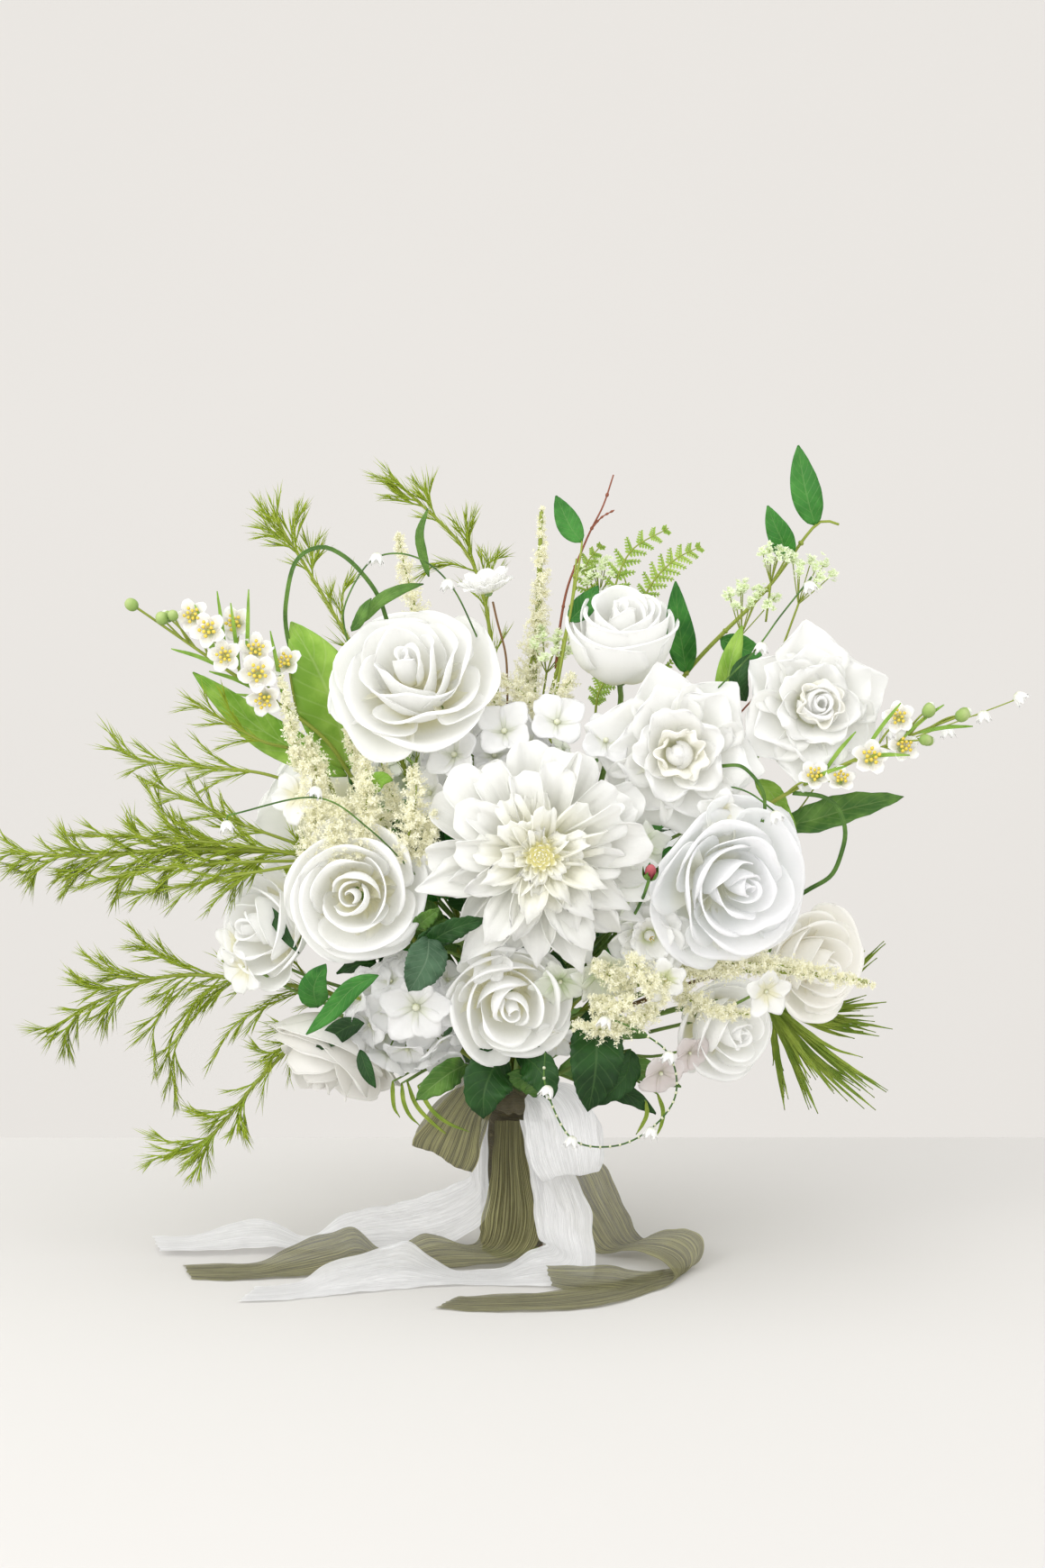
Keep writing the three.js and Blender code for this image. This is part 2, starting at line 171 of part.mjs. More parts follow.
    { p: [[155.2, -0.3, 154.4], [159.9, 8, 119.7], [165.3, 10, 85.5]], w: [1.6, 4.2, 0.9], t: 0.9, f: [0.1, -0.9, 0.4] },
  ],
  wax_flowers_left: [
    { p: [[-200.5, -36.2, 386.1], [-193.5, -38.1, 390.4], [-186.5, -40, 394.8]], w: [1.1, 1.1, 1.1], t: 1.1, f: [0, -1, 0] },
    { p: [[-181.5, -37.6, 373], [-179.1, -41.9, 380.1], [-176.7, -46.2, 387.2]], w: [1.1, 1.1, 1.1], t: 1.1, f: [0, -1, 0] },
    { p: [[-168, -38.5, 363.7], [-164.8, -36.2, 376.7], [-161.7, -33.9, 389.7]], w: [1.1, 1.1, 1.1], t: 1.1, f: [0, -1, 0] },
    { p: [[-162.7, -38.1, 359.9], [-164.9, -44.5, 366.5], [-167.1, -50.8, 373]], w: [1.1, 1.1, 1.1], t: 1.1, f: [0, -1, 0] },
    { p: [[-146.7, -37, 348.5], [-148.2, -39.3, 361.7], [-149.8, -41.6, 374.8]], w: [1.1, 1.1, 1.1], t: 1.1, f: [0, -1, 0] },
    { p: [[-141.4, -36.6, 344.7], [-144.8, -43.7, 353.5], [-148.3, -50.8, 362.4]], w: [1.1, 1.1, 1.1], t: 1.1, f: [0, -1, 0] },
    { p: [[-125.4, -35.5, 333.3], [-128.8, -36.2, 350], [-132.2, -37, 366.7]], w: [1.1, 1.1, 1.1], t: 1.1, f: [0, -1, 0] },
    { p: [[-128, -35.7, 335.2], [-136.1, -43.2, 341.6], [-144.2, -50.8, 348.1]], w: [1.1, 1.1, 1.1], t: 1.1, f: [0, -1, 0] },
    { p: [[-214, -35.3, 395.4], [-208, -33, 394.5], [-202, -30.8, 393.5]], w: [1.1, 1.1, 1.1], t: 1.1, f: [0, -1, 0] },
  ],
  wax_flowers_right: [
    { p: [[231.2, -55, 326], [228.2, -56, 331.7], [225.3, -57, 337.3]], w: [1.1, 1.1, 1.1], t: 1.1, f: [0, -1, 0] },
    { p: [[228.3, -55.4, 324.9], [227.9, -57.7, 322.6], [227.4, -60.1, 320.3]], w: [1.1, 1.1, 1.1], t: 1.1, f: [0, -1, 0] },
    { p: [[208.4, -58.1, 316.9], [208.3, -61.4, 315.8], [208.2, -64.7, 314.7]], w: [1.1, 1.1, 1.1], t: 1.1, f: [0, -1, 0] },
    { p: [[177.1, -52, 299.9], [176.6, -56, 301.6], [176.2, -60.1, 303.3]], w: [1.1, 1.1, 1.1], t: 1.1, f: [0, -1, 0] },
    { p: [[191.3, -55.3, 307.8], [191.2, -60, 304.9], [191.1, -64.7, 301.9]], w: [1.1, 1.1, 1.1], t: 1.1, f: [0, -1, 0] },
    { p: [[251.2, -52.3, 334], [247.3, -50, 337.8], [243.4, -47.7, 341.7]], w: [1.1, 1.1, 1.1], t: 1.1, f: [0, -1, 0] },
    { p: [[254, -52, 335.1], [248.5, -50.6, 328.9], [243, -49.3, 322.8]], w: [1.1, 1.1, 1.1], t: 1.1, f: [0, -1, 0] },
    { p: [[262.6, -50.8, 338.5], [263.1, -50.8, 338.8], [263.7, -50.8, 339]], w: [1.1, 1.1, 1.1], t: 1.1, f: [0, -1, 0] },
  ],
  freesia_right: [
    { p: [[79.2, -73.3, 204.9], [84, -79.8, 196.8], [88.8, -86.2, 188.7]], w: [1.4, 1.4, 1.4], t: 1.4, f: [0, -1, 0] },
  ],
  lily_of_the_valley_right: [
    { p: [[278.8, -16, 334.3], [278.8, -16.5, 332.9], [278.9, -16.9, 331.4]], w: [1.1, 1.1, 1.1], t: 1.1, f: [0, -1, 0] },
    { p: [[258, -16.6, 326.1], [257.8, -16.8, 324.2], [257.7, -16.9, 322.3]], w: [1.1, 1.1, 1.1], t: 1.1, f: [0, -1, 0] },
    { p: [[221.5, -17.7, 311.7], [221.8, -13.5, 315.5], [222.1, -9.2, 319.4]], w: [1.1, 1.1, 1.1], t: 1.1, f: [0, -1, 0] },
  ],
  fern_top_right: [
    { p: [[89.9, 22.8, 348], [98.8, 24.4, 352.6], [107.7, 26, 354.1]], w: [2, 6.5, 1], t: 0.9, f: [0, -0.9, 0.4] },
    { p: [[85.3, 23.8, 358.8], [79.1, 22.9, 358.3], [73, 22, 354.7]], w: [2, 6.5, 1], t: 0.9, f: [0, -0.9, 0.4] },
    { p: [[80.6, 24.8, 369.6], [89.8, 26.4, 374.7], [99, 28, 376.8]], w: [2, 6.5, 1], t: 0.9, f: [0, -0.9, 0.4] },
    { p: [[77, 25.6, 378.2], [70.1, 25.8, 378], [63.3, 26, 374.9]], w: [2, 6.5, 1], t: 0.9, f: [0, -0.9, 0.4] },
    { p: [[73.6, 26, 387.4], [82, 28, 393.3], [90.3, 30, 396.1]], w: [2, 6.5, 1], t: 0.9, f: [0, -0.9, 0.4] },
    { p: [[70.7, 26, 397.2], [63.7, 26, 397.3], [56.7, 26, 394.5]], w: [2, 6.5, 1], t: 0.9, f: [0, -0.9, 0.4] },
    { p: [[67.3, 26, 408.6], [74.9, 27, 413.8], [82.6, 28, 415.9]], w: [2, 6.5, 1], t: 0.9, f: [0, -0.9, 0.4] },
    { p: [[65.8, 26, 413.5], [59.6, 26, 413.1], [53.5, 26, 409.7]], w: [2, 6.5, 1], t: 0.9, f: [0, -0.9, 0.4] },
    { p: [[65.3, 26, 415.1], [63.7, 26, 423.1], [62, 26, 428.1]], w: [2, 6.5, 1], t: 0.9, f: [0, -0.9, 0.4] },
  ],
};

// Plumes of tiny flowers: centre line and radius at each point.
const PLUMES = {
  astilbe_top: [
    { p: [[11.4, -6.2, 330.3], [8.2, -9.2, 345.9], [13, -7.7, 373.7], [16.7, -6.2, 400.9], [17.2, -4.6, 429.7], [17.2, -3.1, 453]], r: [9, 12, 9, 6.5, 4.5, 1.2] },
  ],
  astilbe_left: [
    { p: [[-101, -48.6, 273.9], [-117.7, -55.4, 292.8], [-125.4, -55.4, 316.9], [-130.5, -53.9, 340.6], [-134.6, -52.4, 360.5]], r: [4, 6.5, 6, 4.5, 1.2] },
    { p: [[-101, -48.6, 273.9], [-86.8, -49.3, 299.8], [-93.1, -47.7, 315.6], [-96.7, -46.2, 330.8]], r: [4, 7, 5, 1.2] },
    { p: [[-98.5, -47.2, 265.1], [-69.7, -61.6, 283.3], [-73.8, -61.6, 301.4], [-77.4, -60.1, 317.1]], r: [4, 6.5, 5, 1.2] },
  ],
  astilbe_right: [
    { p: [[86.9, -47.7, 177.9], [103.9, -60.1, 190.5], [132.9, -63.1, 192.7], [159.5, -60.1, 190.5], [188.9, -57, 183.3], [212, -53.9, 178.2]], r: [8, 12, 8.5, 7, 5, 1.2] },
    { p: [[95.2, -53.9, 178.2], [109.3, -63.1, 167.3], [125, -66.2, 164.8], [139.3, -66.2, 162.6]], r: [7, 8, 6, 1.2] },
  ],
  astilbe_back: [
    { p: [[-47, 44, 342], [-54, 57, 366], [-60, 68, 388], [-66, 76, 410], [-70, 82, 430]], r: [6, 9, 8, 5.5, 1.2] },
  ],
};

// Small open flowers on a stem: centre, facing, radius.
const BLOOMS = {
  wax_flowers_left: [{ c: [-186.5, -40, 394.8], f: [0, -0.9, 0.4], r: 8.5 }, { c: [-176.7, -46.2, 387.2], f: [0, -0.9, 0.4], r: 8.5 }, { c: [-161.7, -33.9, 389.7], f: [0, -0.9, 0.4], r: 8.5 }, { c: [-167.1, -50.8, 373], f: [0, -0.9, 0.4], r: 8.5 }, { c: [-149.8, -41.6, 374.8], f: [0, -0.9, 0.4], r: 9 }, { c: [-148.3, -50.8, 362.4], f: [0, -0.9, 0.4], r: 9 }, { c: [-132.2, -37, 366.7], f: [0, -0.9, 0.4], r: 8.5 }, { c: [-144.2, -50.8, 348.1], f: [0, -0.9, 0.4], r: 8.5 }, { c: [-202, -30.8, 393.5], f: [0, -0.9, 0.4], r: 3.5 }],
  wax_flowers_right: [{ c: [225.3, -57, 337.3], f: [0, -0.9, 0.4], r: 8.5 }, { c: [227.4, -60.1, 320.3], f: [0, -0.9, 0.4], r: 8 }, { c: [208.2, -64.7, 314.7], f: [0, -0.9, 0.4], r: 8.5 }, { c: [176.2, -60.1, 303.3], f: [0, -0.9, 0.4], r: 8 }, { c: [191.1, -64.7, 301.9], f: [0, -0.9, 0.4], r: 7 }, { c: [243.4, -47.7, 341.7], f: [0, -0.9, 0.4], r: 3.5 }, { c: [243, -49.3, 322.8], f: [0, -0.9, 0.4], r: 3.5 }, { c: [263.7, -50.8, 339], f: [0, -0.9, 0.4], r: 4 }],
  freesia_right: [{ c: [80.6, -77, 211.4], f: [0.1, -0.98, 0.05], r: 20 }, { c: [88.8, -86.2, 188.7], f: [0.2, -0.95, -0.15], r: 12 }],
  lily_of_the_valley_right: [{ c: [300.6, -15.4, 342.5], f: [0.75, -0.2, -0.6], r: 4.2 }, { c: [278.9, -16.9, 331.4], f: [0.1, -0.2, -0.9], r: 4 }, { c: [257.7, -16.9, 322.3], f: [0.1, -0.2, -0.9], r: 4 }, { c: [222.1, -9.2, 319.4], f: [0.1, -0.2, -0.9], r: 4 }],
};

// Ribbons: [left edge point, right edge point] along the ribbon.
const RIBBONS = {
  ribbon_tail_olive_left: [
    [[-10, -25.2, 88], [8, -25.2, 88]],
    [[-12, -26.6, 66], [10, -26.6, 66]],
    [[-14, -28.2, 48], [14, -28.2, 48]],
    [[-17.8, -30, 32.8], [17.9, -30, 32.8]],
    [[-19.4, -30, 21], [16.9, -32, 20.5]],
    [[-21.6, -28, 13.2], [13.1, -36, 12.7]],
    [[-26, -25, 10.6], [6, -42, 7.7]],
    [[-33.6, -22, 11.4], [-4.8, -42, 4.3]],
    [[-42.9, -20, 14.8], [-18.3, -42, 2.7]],
    [[-52.7, -19, 16.2], [-32.8, -42, 1.5]],
    [[-62, -19, 12.3], [-46.9, -42, 1.1]],
    [[-71.2, -20, 6.4], [-60.9, -43, 1.1]],
    [[-82.1, -20, 8], [-74.8, -45, 1.3]],
    [[-95.1, -20, 21], [-89.7, -49, 6.4]],
    [[-109, -24, 18.2], [-102.4, -56, 5.1]],
    [[-123.7, -25, 14.5], [-118.4, -58, 2.3]],
    [[-137.7, -27, 8.9], [-134.4, -60, 1.1]],
    [[-153.4, -29, 1.7], [-151.4, -63, 1.1]],
    [[-172.8, -31, 1.1], [-171.1, -65, 1.1]],
    [[-197.6, -33, 1.1], [-191.1, -62, 1.1]],
  ],
  ribbon_tail_white_left: [
    [[-24, -16.5, 88], [-14, -24.5, 88]],
    [[-26, -16, 70], [-15, -25, 66]],
    [[-27, -14.5, 58], [-15, -24.5, 45]],
    [[-26.1, -12, 50.2], [-15.2, -20, 29.4]],
    [[-37, -8, 43.5], [-24.4, -18, 17.6]],
    [[-53, -2, 35.7], [-40.9, -14, 8.6]],
    [[-72.3, 4, 28.4], [-61.7, -9, 4.3]],
    [[-91.7, 8, 23.8], [-83.6, -8, 2.9]],
    [[-107.3, 11, 16.8], [-101.1, -9, 2.6]],
    [[-119.5, 13, 7.1], [-115, -14, 4.1]],
    [[-129.4, 13, 5.9], [-126.5, -13, 3.8]],
    [[-139.3, 13, 10.5], [-136.4, -12, 4.6]],
    [[-149.2, 13, 15.1], [-146.7, -12, 5.7]],
    [[-162.9, 13, 15.6], [-162, -12, 5.2]],
    [[-180.6, 13, 11.1], [-179.9, -14, 4.6]],
    [[-199.9, 12, 6.2], [-198.9, -15, 4.3]],
    [[-219.6, 11, 5.9], [-213.8, -13, 4.3]],
  ],
  ribbon_tail_white_front: [
    [[4.6, -29.9, 89.7], [18.4, -28.5, 88.3]],
    [[8, -31.6, 70], [30, -30.4, 70]],
    [[11.5, -33.8, 50], [40.5, -33.2, 50]],
    [[13, -36, 33.9], [47.6, -36, 33.9]],
    [[14.1, -39, 23.6], [48.1, -39, 21.3]],
    [[16.8, -42, 18.3], [49.6, -46, 11.6]],
    [[19.5, -45, 17.5], [49.5, -57, 4.8]],
    [[19.5, -48, 17.2], [43.4, -70, 1.1]],
    [[16.2, -50, 17.2], [32.1, -77, 1.1]],
    [[10.3, -50, 15], [19.9, -79, 1.1]],
    [[2.8, -49, 9.7], [7.1, -79, 1.1]],
    [[-6.9, -46, 2.7], [-5.2, -77, 1.1]],
    [[-19.3, -45, 1.1], [-17.9, -76, 1.1]],
    [[-33.9, -45, 1.3], [-32.3, -77, 1.1]],
    [[-48.9, -46, 8.8], [-48.3, -79, 1.1]],
    [[-62.3, -48, 19.4], [-65.2, -83, 1.1]],
    [[-74.5, -52, 18.4], [-79.9, -88, 1.1]],
    [[-92.6, -57, 14.8], [-94.6, -93, 1.1]],
    [[-110.7, -61, 10.4], [-107.1, -97, 1.1]],
    [[-124.4, -67, 1.1], [-120.6, -101, 1.1]],
    [[-141.6, -76, 1.1], [-139.2, -108, 1.1]],
    [[-151.5, -80, 1.1], [-160.2, -110, 1.1]],
  ],
  ribbon_tail_olive_right: [
    [[14.9, -25.5, 88], [26.1, -15.5, 88]],
    [[14.8, -23.6, 69.4], [36.2, -15.4, 70.6]],
    [[19.6, -20, 50.7], [56, -15, 57.2]],
    [[27.8, -17, 34.2], [63.8, -11, 39.3]],
    [[37.1, -15, 19], [71, -6, 23.2]],
    [[44.2, -13, 7.7], [75.6, 0, 11.9]],
    [[50.8, -13, 2.6], [79.6, 6, 6.2]],
    [[58.9, -16, 2.9], [85.1, 6, 8.5]],
    [[66.9, -22, 5.8], [91.6, 2, 11.9]],
    [[74.8, -32, 8.1], [98.4, -6, 15.3]],
    [[82.6, -43, 9.1], [105.2, -14, 18.2]],
    [[89.9, -52, 7.8], [111.4, -21, 17.9]],
    [[94.4, -60, 6.3], [115.1, -26, 13.7]],
    [[96.3, -69, 3.9], [114.4, -31, 7.3]],
    [[91.7, -79, 1.1], [108.3, -36, 1.5]],
    [[79.1, -92, 1.1], [94.5, -43, 1.1]],
    [[68.2, -105, 1.1], [80.2, -54, 1.1]],
    [[54.3, -117, 1.1], [64.9, -66, 1.1]],
    [[37.4, -124, 1.1], [46.5, -77, 1.1]],
    [[17.5, -128, 1.1], [26.2, -87, 1.1]],
    [[-6.5, -129, 1.1], [3.9, -93, 1.1]],
    [[-26.4, -127, 1.1], [-15.1, -97, 1.1]],
    [[-44.2, -122, 1.1], [-32, -98, 1.1]],
  ],
  bow_loop_olive: [
    [[-8.5, -34.5, 111.2], [-5.8, -34.5, 102.9]],
    [[-15.4, -41, 120.5], [-9, -40.5, 102.8]],
    [[-26.6, -47, 123.1], [-14.8, -46.5, 99.3]],
    [[-36.7, -51, 112], [-18, -50.5, 93.2]],
    [[-46.8, -53.5, 99.5], [-19.1, -53, 85]],
    [[-54.9, -54, 89.7], [-19.6, -53.5, 75.2]],
    [[-58.7, -52, 83.7], [-21.8, -51.5, 66.4]],
    [[-59.8, -48.5, 79.4], [-24, -48, 61.6]],
    [[-58.3, -45, 82.9], [-21.9, -44.5, 65.7]],
    [[-54.6, -43, 90.7], [-18.7, -42.5, 75.1]],
    [[-47.1, -41, 101.2], [-16, -40.5, 86.2]],
    [[-36.4, -38.5, 110], [-12.8, -38, 94.4]],
    [[-21.9, -36.5, 113.9], [-9.6, -36, 101.1]],
  ],
  bow_loop_white: [
    [[7.6, -34.5, 102.9], [10.3, -34.5, 111.7]],
    [[7.6, -41, 101.2], [21, -41, 116.7]],
    [[7.1, -47.5, 96.8], [36, -48, 115.1]],
    [[7.6, -52, 89.2], [46.6, -52.5, 104.1]],
    [[8.7, -54, 79.8], [49.8, -54.5, 90.9]],
    [[10.8, -54, 70.4], [51.4, -54.5, 79.4]],
    [[14.6, -52, 62.7], [51.5, -52.5, 68.9]],
    [[17.8, -48.5, 57.9], [51.6, -49, 62.4]],
    [[20.5, -45, 60.3], [53.8, -45.5, 67.6]],
    [[23.8, -43, 67.5], [54.9, -43.5, 77]],
    [[25.9, -41.5, 78.7], [52.7, -42, 89.9]],
    [[25.4, -40, 90.5], [44.6, -40.5, 102.8]],
    [[20.5, -38, 99.4], [31.8, -38.5, 111.6]],
    [[14.1, -36.5, 103.4], [18.4, -37, 112.4]],
  ],
};

// ---------- helpers ----------
const V = (a) => new THREE.Vector3(a[0], a[1], a[2]);

function toManifold(geometry) {
  let g = geometry.clone();
  g.deleteAttribute("normal");
  g.deleteAttribute("uv");
  g = mergeVertices(g, 1e-4);
  const solid = new wasm.Manifold(new wasm.Mesh({
    numProp: 3,
    vertProperties: new Float32Array(g.attributes.position.array),
    triVerts: new Uint32Array(g.index.array),
  }));
  return solid;
}

function toGeometry(solid) {
  const m = solid.getMesh();
  const g = new THREE.BufferGeometry();
  g.setAttribute("position", new THREE.BufferAttribute(new Float32Array(m.vertProperties), 3));
  g.setIndex(new THREE.BufferAttribute(new Uint32Array(m.triVerts), 1));
  g.computeVertexNormals();
  return g;
}

function joined(geometries) {
  let solid = toManifold(geometries[0]);
  for (const g of geometries.slice(1)) solid = solid.add(toManifold(g));
  return toGeometry(solid);
}

// A section extruded straight in one step per ring, then every ring is put in its place on
// the centre line: at(i) gives the ring's centre, its two directions and their two scales.
function sweep(section, rings, at) {
  const g = new THREE.ExtrudeGeometry(section, { depth: rings - 1, steps: rings - 1, bevelEnabled: false, curveSegments: 1 });
  const pos = g.attributes.position;
  const p = new THREE.Vector3();
  for (let k = 0; k < pos.count; k++) {
    const ring = at(Math.round(pos.getZ(k)));
    p.copy(ring.c).addScaledVector(ring.u, pos.getX(k) * ring.a).addScaledVector(ring.v, pos.getY(k) * ring.b);
    if (ring.z !== undefined) p.addScaledVector(ring.t, (ring.z - p.z) / ring.t.z);
    pos.setXYZ(k, p.x, p.y, p.z);
  }
  return g;
}

function polygon(sides) {
  const s = new THREE.Shape();
  for (let k = 0; k < sides; k++) {
    const a = (k + 0.5) * 2 * Math.PI / sides;
    if (k) s.lineTo(Math.cos(a), Math.sin(a)); else s.moveTo(Math.cos(a), Math.sin(a));
  }
  s.closePath();
  return s;
}
const SQUARE = new THREE.Shape([[-0.5, -0.5], [0.5, -0.5], [0.5, 0.5], [-0.5, 0.5]].map(([x, y]) => new THREE.Vector2(x, y)));
const LENS = new THREE.Shape([[-0.5, 0], [0, -0.5], [0.5, 0], [0, 0.5]].map(([x, y]) => new THREE.Vector2(x, y)));

function tangents(points) {
  return points.map((p, i) => {
    const a = points[Math.max(i - 1, 0)], b = points[Math.min(i + 1, points.length - 1)];
    return b.clone().sub(a).normalize();
  });
}

// A round tube along a line of points, with a radius at each.
function tube(points, radii, sides, flatFoot = false) {
  const t = tangents(points);
  const u = [];
  for (let i = 0; i < points.length; i++) {
    const last = i ? u[i - 1] : new THREE.Vector3(1, 0, 0.001);
    const d = last.clone().addScaledVector(t[i], -last.dot(t[i]));
    if (d.lengthSq() < 1e-6) d.set(0, 1, 0).addScaledVector(t[i], -t[i].y);
    u.push(d.normalize());
  }
  return sweep(polygon(sides), points.length, (i) => ({
    c: points[i], u: u[i], v: t[i].clone().cross(u[i]), a: radii[i], b: radii[i], t: t[i],
    z: flatFoot && i === 0 ? 0 : undefined,
  }));
}

// A flat blade: width across, thickness along its facing side.
function blade({ p, w, t, f }) {
  const points = p.map(V), tan = tangents(points), face = V(f).normalize();
  return sweep(LENS, points.length, (i) => {
    const across = tan[i].clone().cross(face).normalize();
    return { c: points[i], u: across, v: tan[i].clone().cross(across), a: w[i], b: t };
  });
}

// A ribbon: a thin strip between two smooth edges, in three steps from each given row to the
// next. Its upper and its under side are split along like diagonals, so they stay one
// thickness apart where the strip twists.
const RIBBON_STEPS = 3;
function strip(rows, thick) {
  const edge = (k) => new THREE.CatmullRomCurve3(rows.map((r) => V(r[k])), false, "catmullrom", 0.5);
  const left = edge(0), right = edge(1), count = (rows.length - 1) * RIBBON_STEPS + 1;
  const at = (line) => Array.from({ length: count }, (_, i) => line.getPoint(i / (count - 1)));
  const L = at(left), R = at(right), points = L.map((p, i) => p.clone().lerp(R[i], 0.5)), tan = tangents(points);
  const g = sweep(SQUARE, count, (i) => {
    const across = R[i].clone().sub(L[i]), width = across.length();
    across.normalize();
    return { c: points[i], u: across, v: tan[i].clone().cross(across).normalize(), a: width, b: thick };
  });
  const pos = g.attributes.position, side = g.groups[1].start;
  const p = new THREE.Vector3();
  for (let q = 0; q < count - 1; q++) {          // the first wall: a b d, b c d becomes a b c, a c d
    const o = side + q * 6;
    p.fromBufferAttribute(pos, o + 4); pos.setXYZ(o + 2, p.x, p.y, p.z);
    p.fromBufferAttribute(pos, o); pos.setXYZ(o + 3, p.x, p.y, p.z);
  }
  return g;
}

// A ring-shaped cover round the tapering bundle, between two heights.
function bundleRadius(z) {
  const k = z / TIE_Z;
  return 3 * (FOOT_PITCH + (TIE_PITCH - FOOT_PITCH) * k) + STEM_FOOT_R + (STEM_TIE_R - STEM_FOOT_R) * k;
}
function sleeve(z0, z1, gap, wall, sides, rows) {
  const inner = [], outer = [];
  for (let k = 0; k <= rows; k++) {
    const z = z0 + (z1 - z0) * k / rows, r = bundleRadius(z) / Math.cos(Math.PI / sides) + gap;
    inner.push(new THREE.Vector2(r, z));
    outer.push(new THREE.Vector2(r + wall * (k % 2 || k === 0 || k === rows ? 1 : 1.35), z));
  }
  const profile = [...outer, ...inner.reverse(), outer[0]];
  const g = new THREE.LatheGeometry(profile, sides);
  return g.rotateX(Math.PI / 2);   // the lathe turns about Y: stand it on Z
}

// A lathe solid about +Z whose rings are pulled in and out into petals.
function lobed(profile, sides, lobes) {
  const g = new THREE.LatheGeometry(profile.map((q) => new THREE.Vector2(q.r, q.z)), sides);
  const pos = g.attributes.position, rows = profile.length;
  for (let k = 0; k < pos.count; k++) {
    const q = profile[k % rows], x = pos.getX(k), z = pos.getZ(k), a = Math.atan2(x, z);
    const s = 1 - (q.cut || 0) * (0.5 - 0.5 * Math.cos(lobes * (a + (q.turn || 0) * Math.PI / lobes)));
    pos.setXYZ(k, x * s, q.z, z * s);
  }
  g.rotateX(Math.PI / 2);   // the lathe's Y becomes Z
  return g;
}

function headProfile({ r, front, back, kind }) {
  const half = (front + back) / 2, mid = (front - back) / 2;
  const t = Math.min(half, r), core = Math.max(r - t, 0);
  const edge = (deg, shrink = 1) => {
    const a = deg * Math.PI / 180;
    return { r: (core + t * Math.cos(a)) * shrink, z: mid + half * Math.sin(a) };
  };
  if (kind === "dahlia") {
    const rows = [{ r: 0, z: -back }, { r: 4, z: -back }, { r: 0.4 * r, z: -0.62 * back }, { r: 0.74 * r, z: -0.32 * back, cut: 0.1 }];
    const tiers = [ [-4, 1, 1], [14, 0.9, 0], [24, 0.97, 1], [34, 0.8, 0], [42, 0.88, 0], [50, 0.66, 1], [56, 0.72, 1], [64, 0.44, 0], [68, 0.5, 0]];
    for (const [deg, s, turn] of tiers) rows.push({ ...edge(deg, s * 0.99), cut: s > 0.86 || deg > 60 ? 0.13 : 0.05, turn });
    rows.push({ r: r * 0.2, z: front - 3.6 }, { r: r * 0.12, z: front - 1.2 }, { r: 0, z: front - 1.6 });
    return rows;
  }
  if (kind === "gardenia") {
    return [{ r: 0, z: -back }, { r: 3.4, z: -back }, edge(-62, 0.4), { ...edge(-28, 0.7), cut: 0.06 }, { ...edge(4, 0.99), cut: 0.17 }, { ...edge(26, 0.9), cut: 0.14 },
      { ...edge(30, 0.62), cut: 0.1, turn: 1 }, { ...edge(56, 0.62), cut: 0.16, turn: 1 }, { ...edge(58, 0.36), turn: 1 }, { r: r * 0.26, z: front - 1 }, { r: 0, z: front - 1.5 }];
  }
  if (kind === "ball") {
    return [{ r: 0, z: -back }, { r: 5, z: -back }, { ...edge(-48, 0.86), cut: 0.1 }, { ...edge(-18, 0.97), cut: 0.12, turn: 1 }, { ...edge(10, 0.99), cut: 0.12 },
      { ...edge(36, 0.97), cut: 0.12, turn: 1 }, { ...edge(62, 0.95), cut: 0.14 }, { r: 0, z: front - 1 }];
  }
  return [{ r: 0, z: -back }, { r: 3.4, z: -back }, edge(-66, 0.42), { ...edge(-42, 0.66), cut: 0.04 }, { ...edge(-12, 0.9), cut: 0.08 }, { ...edge(10, 1), cut: 0.12 },
    { ...edge(28, 0.86), cut: 0.1, turn: 1 }, { ...edge(42, 0.86), cut: 0.1, turn: 1 }, { ...edge(52, 0.62), cut: 0.1 }, { ...edge(62, 0.6), cut: 0.1 }, { r: r * 0.2, z: front - 3.2 }, { r: r * 0.1, z: front - 0.6 }, { r: 0, z: front - 1.4 }];
}

function facing(g, c, n) {
  const q = new THREE.Quaternion().setFromUnitVectors(new THREE.Vector3(0, 0, 1), V(n).normalize());
  return g.applyQuaternion(q).translate(c[0], c[1], c[2]);
}

function stem(name) {
  const points = STEMS[name].map(V);
  const head = HEADS[name];
  const last = points.length - 1;
  const end = head ? STEM_FREE_R : THIN[name] || 1.1;
  let run = 0; const at = [0];
  for (let i = 1; i <= last; i++) at.push(run += points[i].distanceTo(points[i - 1]));
  const free = at[1];
  const radii = at.map((d, i) => i === 0 ? STEM_FOOT_R : i === 1 ? STEM_TIE_R : head
    ? STEM_FREE_R : STEM_FREE_R + (end - STEM_FREE_R) * Math.min(1, Math.max(0, (d - free - 40) / (run - free - 40))));
  return tube(points, radii, STEM_SIDES, true);
}
// radius at the tip of the stems that thin out
const THIN = { spray_left_upper: 0.7, spray_left_middle: 0.7, spray_left_lower: 0.7, spray_top_left: 0.7, spray_top: 0.7, spray_back: 0.7,
  astilbe_top: 1, astilbe_left: 1.3, astilbe_right: 1, astilbe_back: 1, ruscus_right: 1.1, ruscus_top: 1.1, broad_leaves_left: 1.5, broad_leaf_right: 1.5,
  palm_grass_right: 1.6, wax_flowers_left: 0.9, wax_flowers_right: 0.9, freesia_right: 1.3, lily_of_the_valley_right: 0.8, fern_top_right: 0.8 };

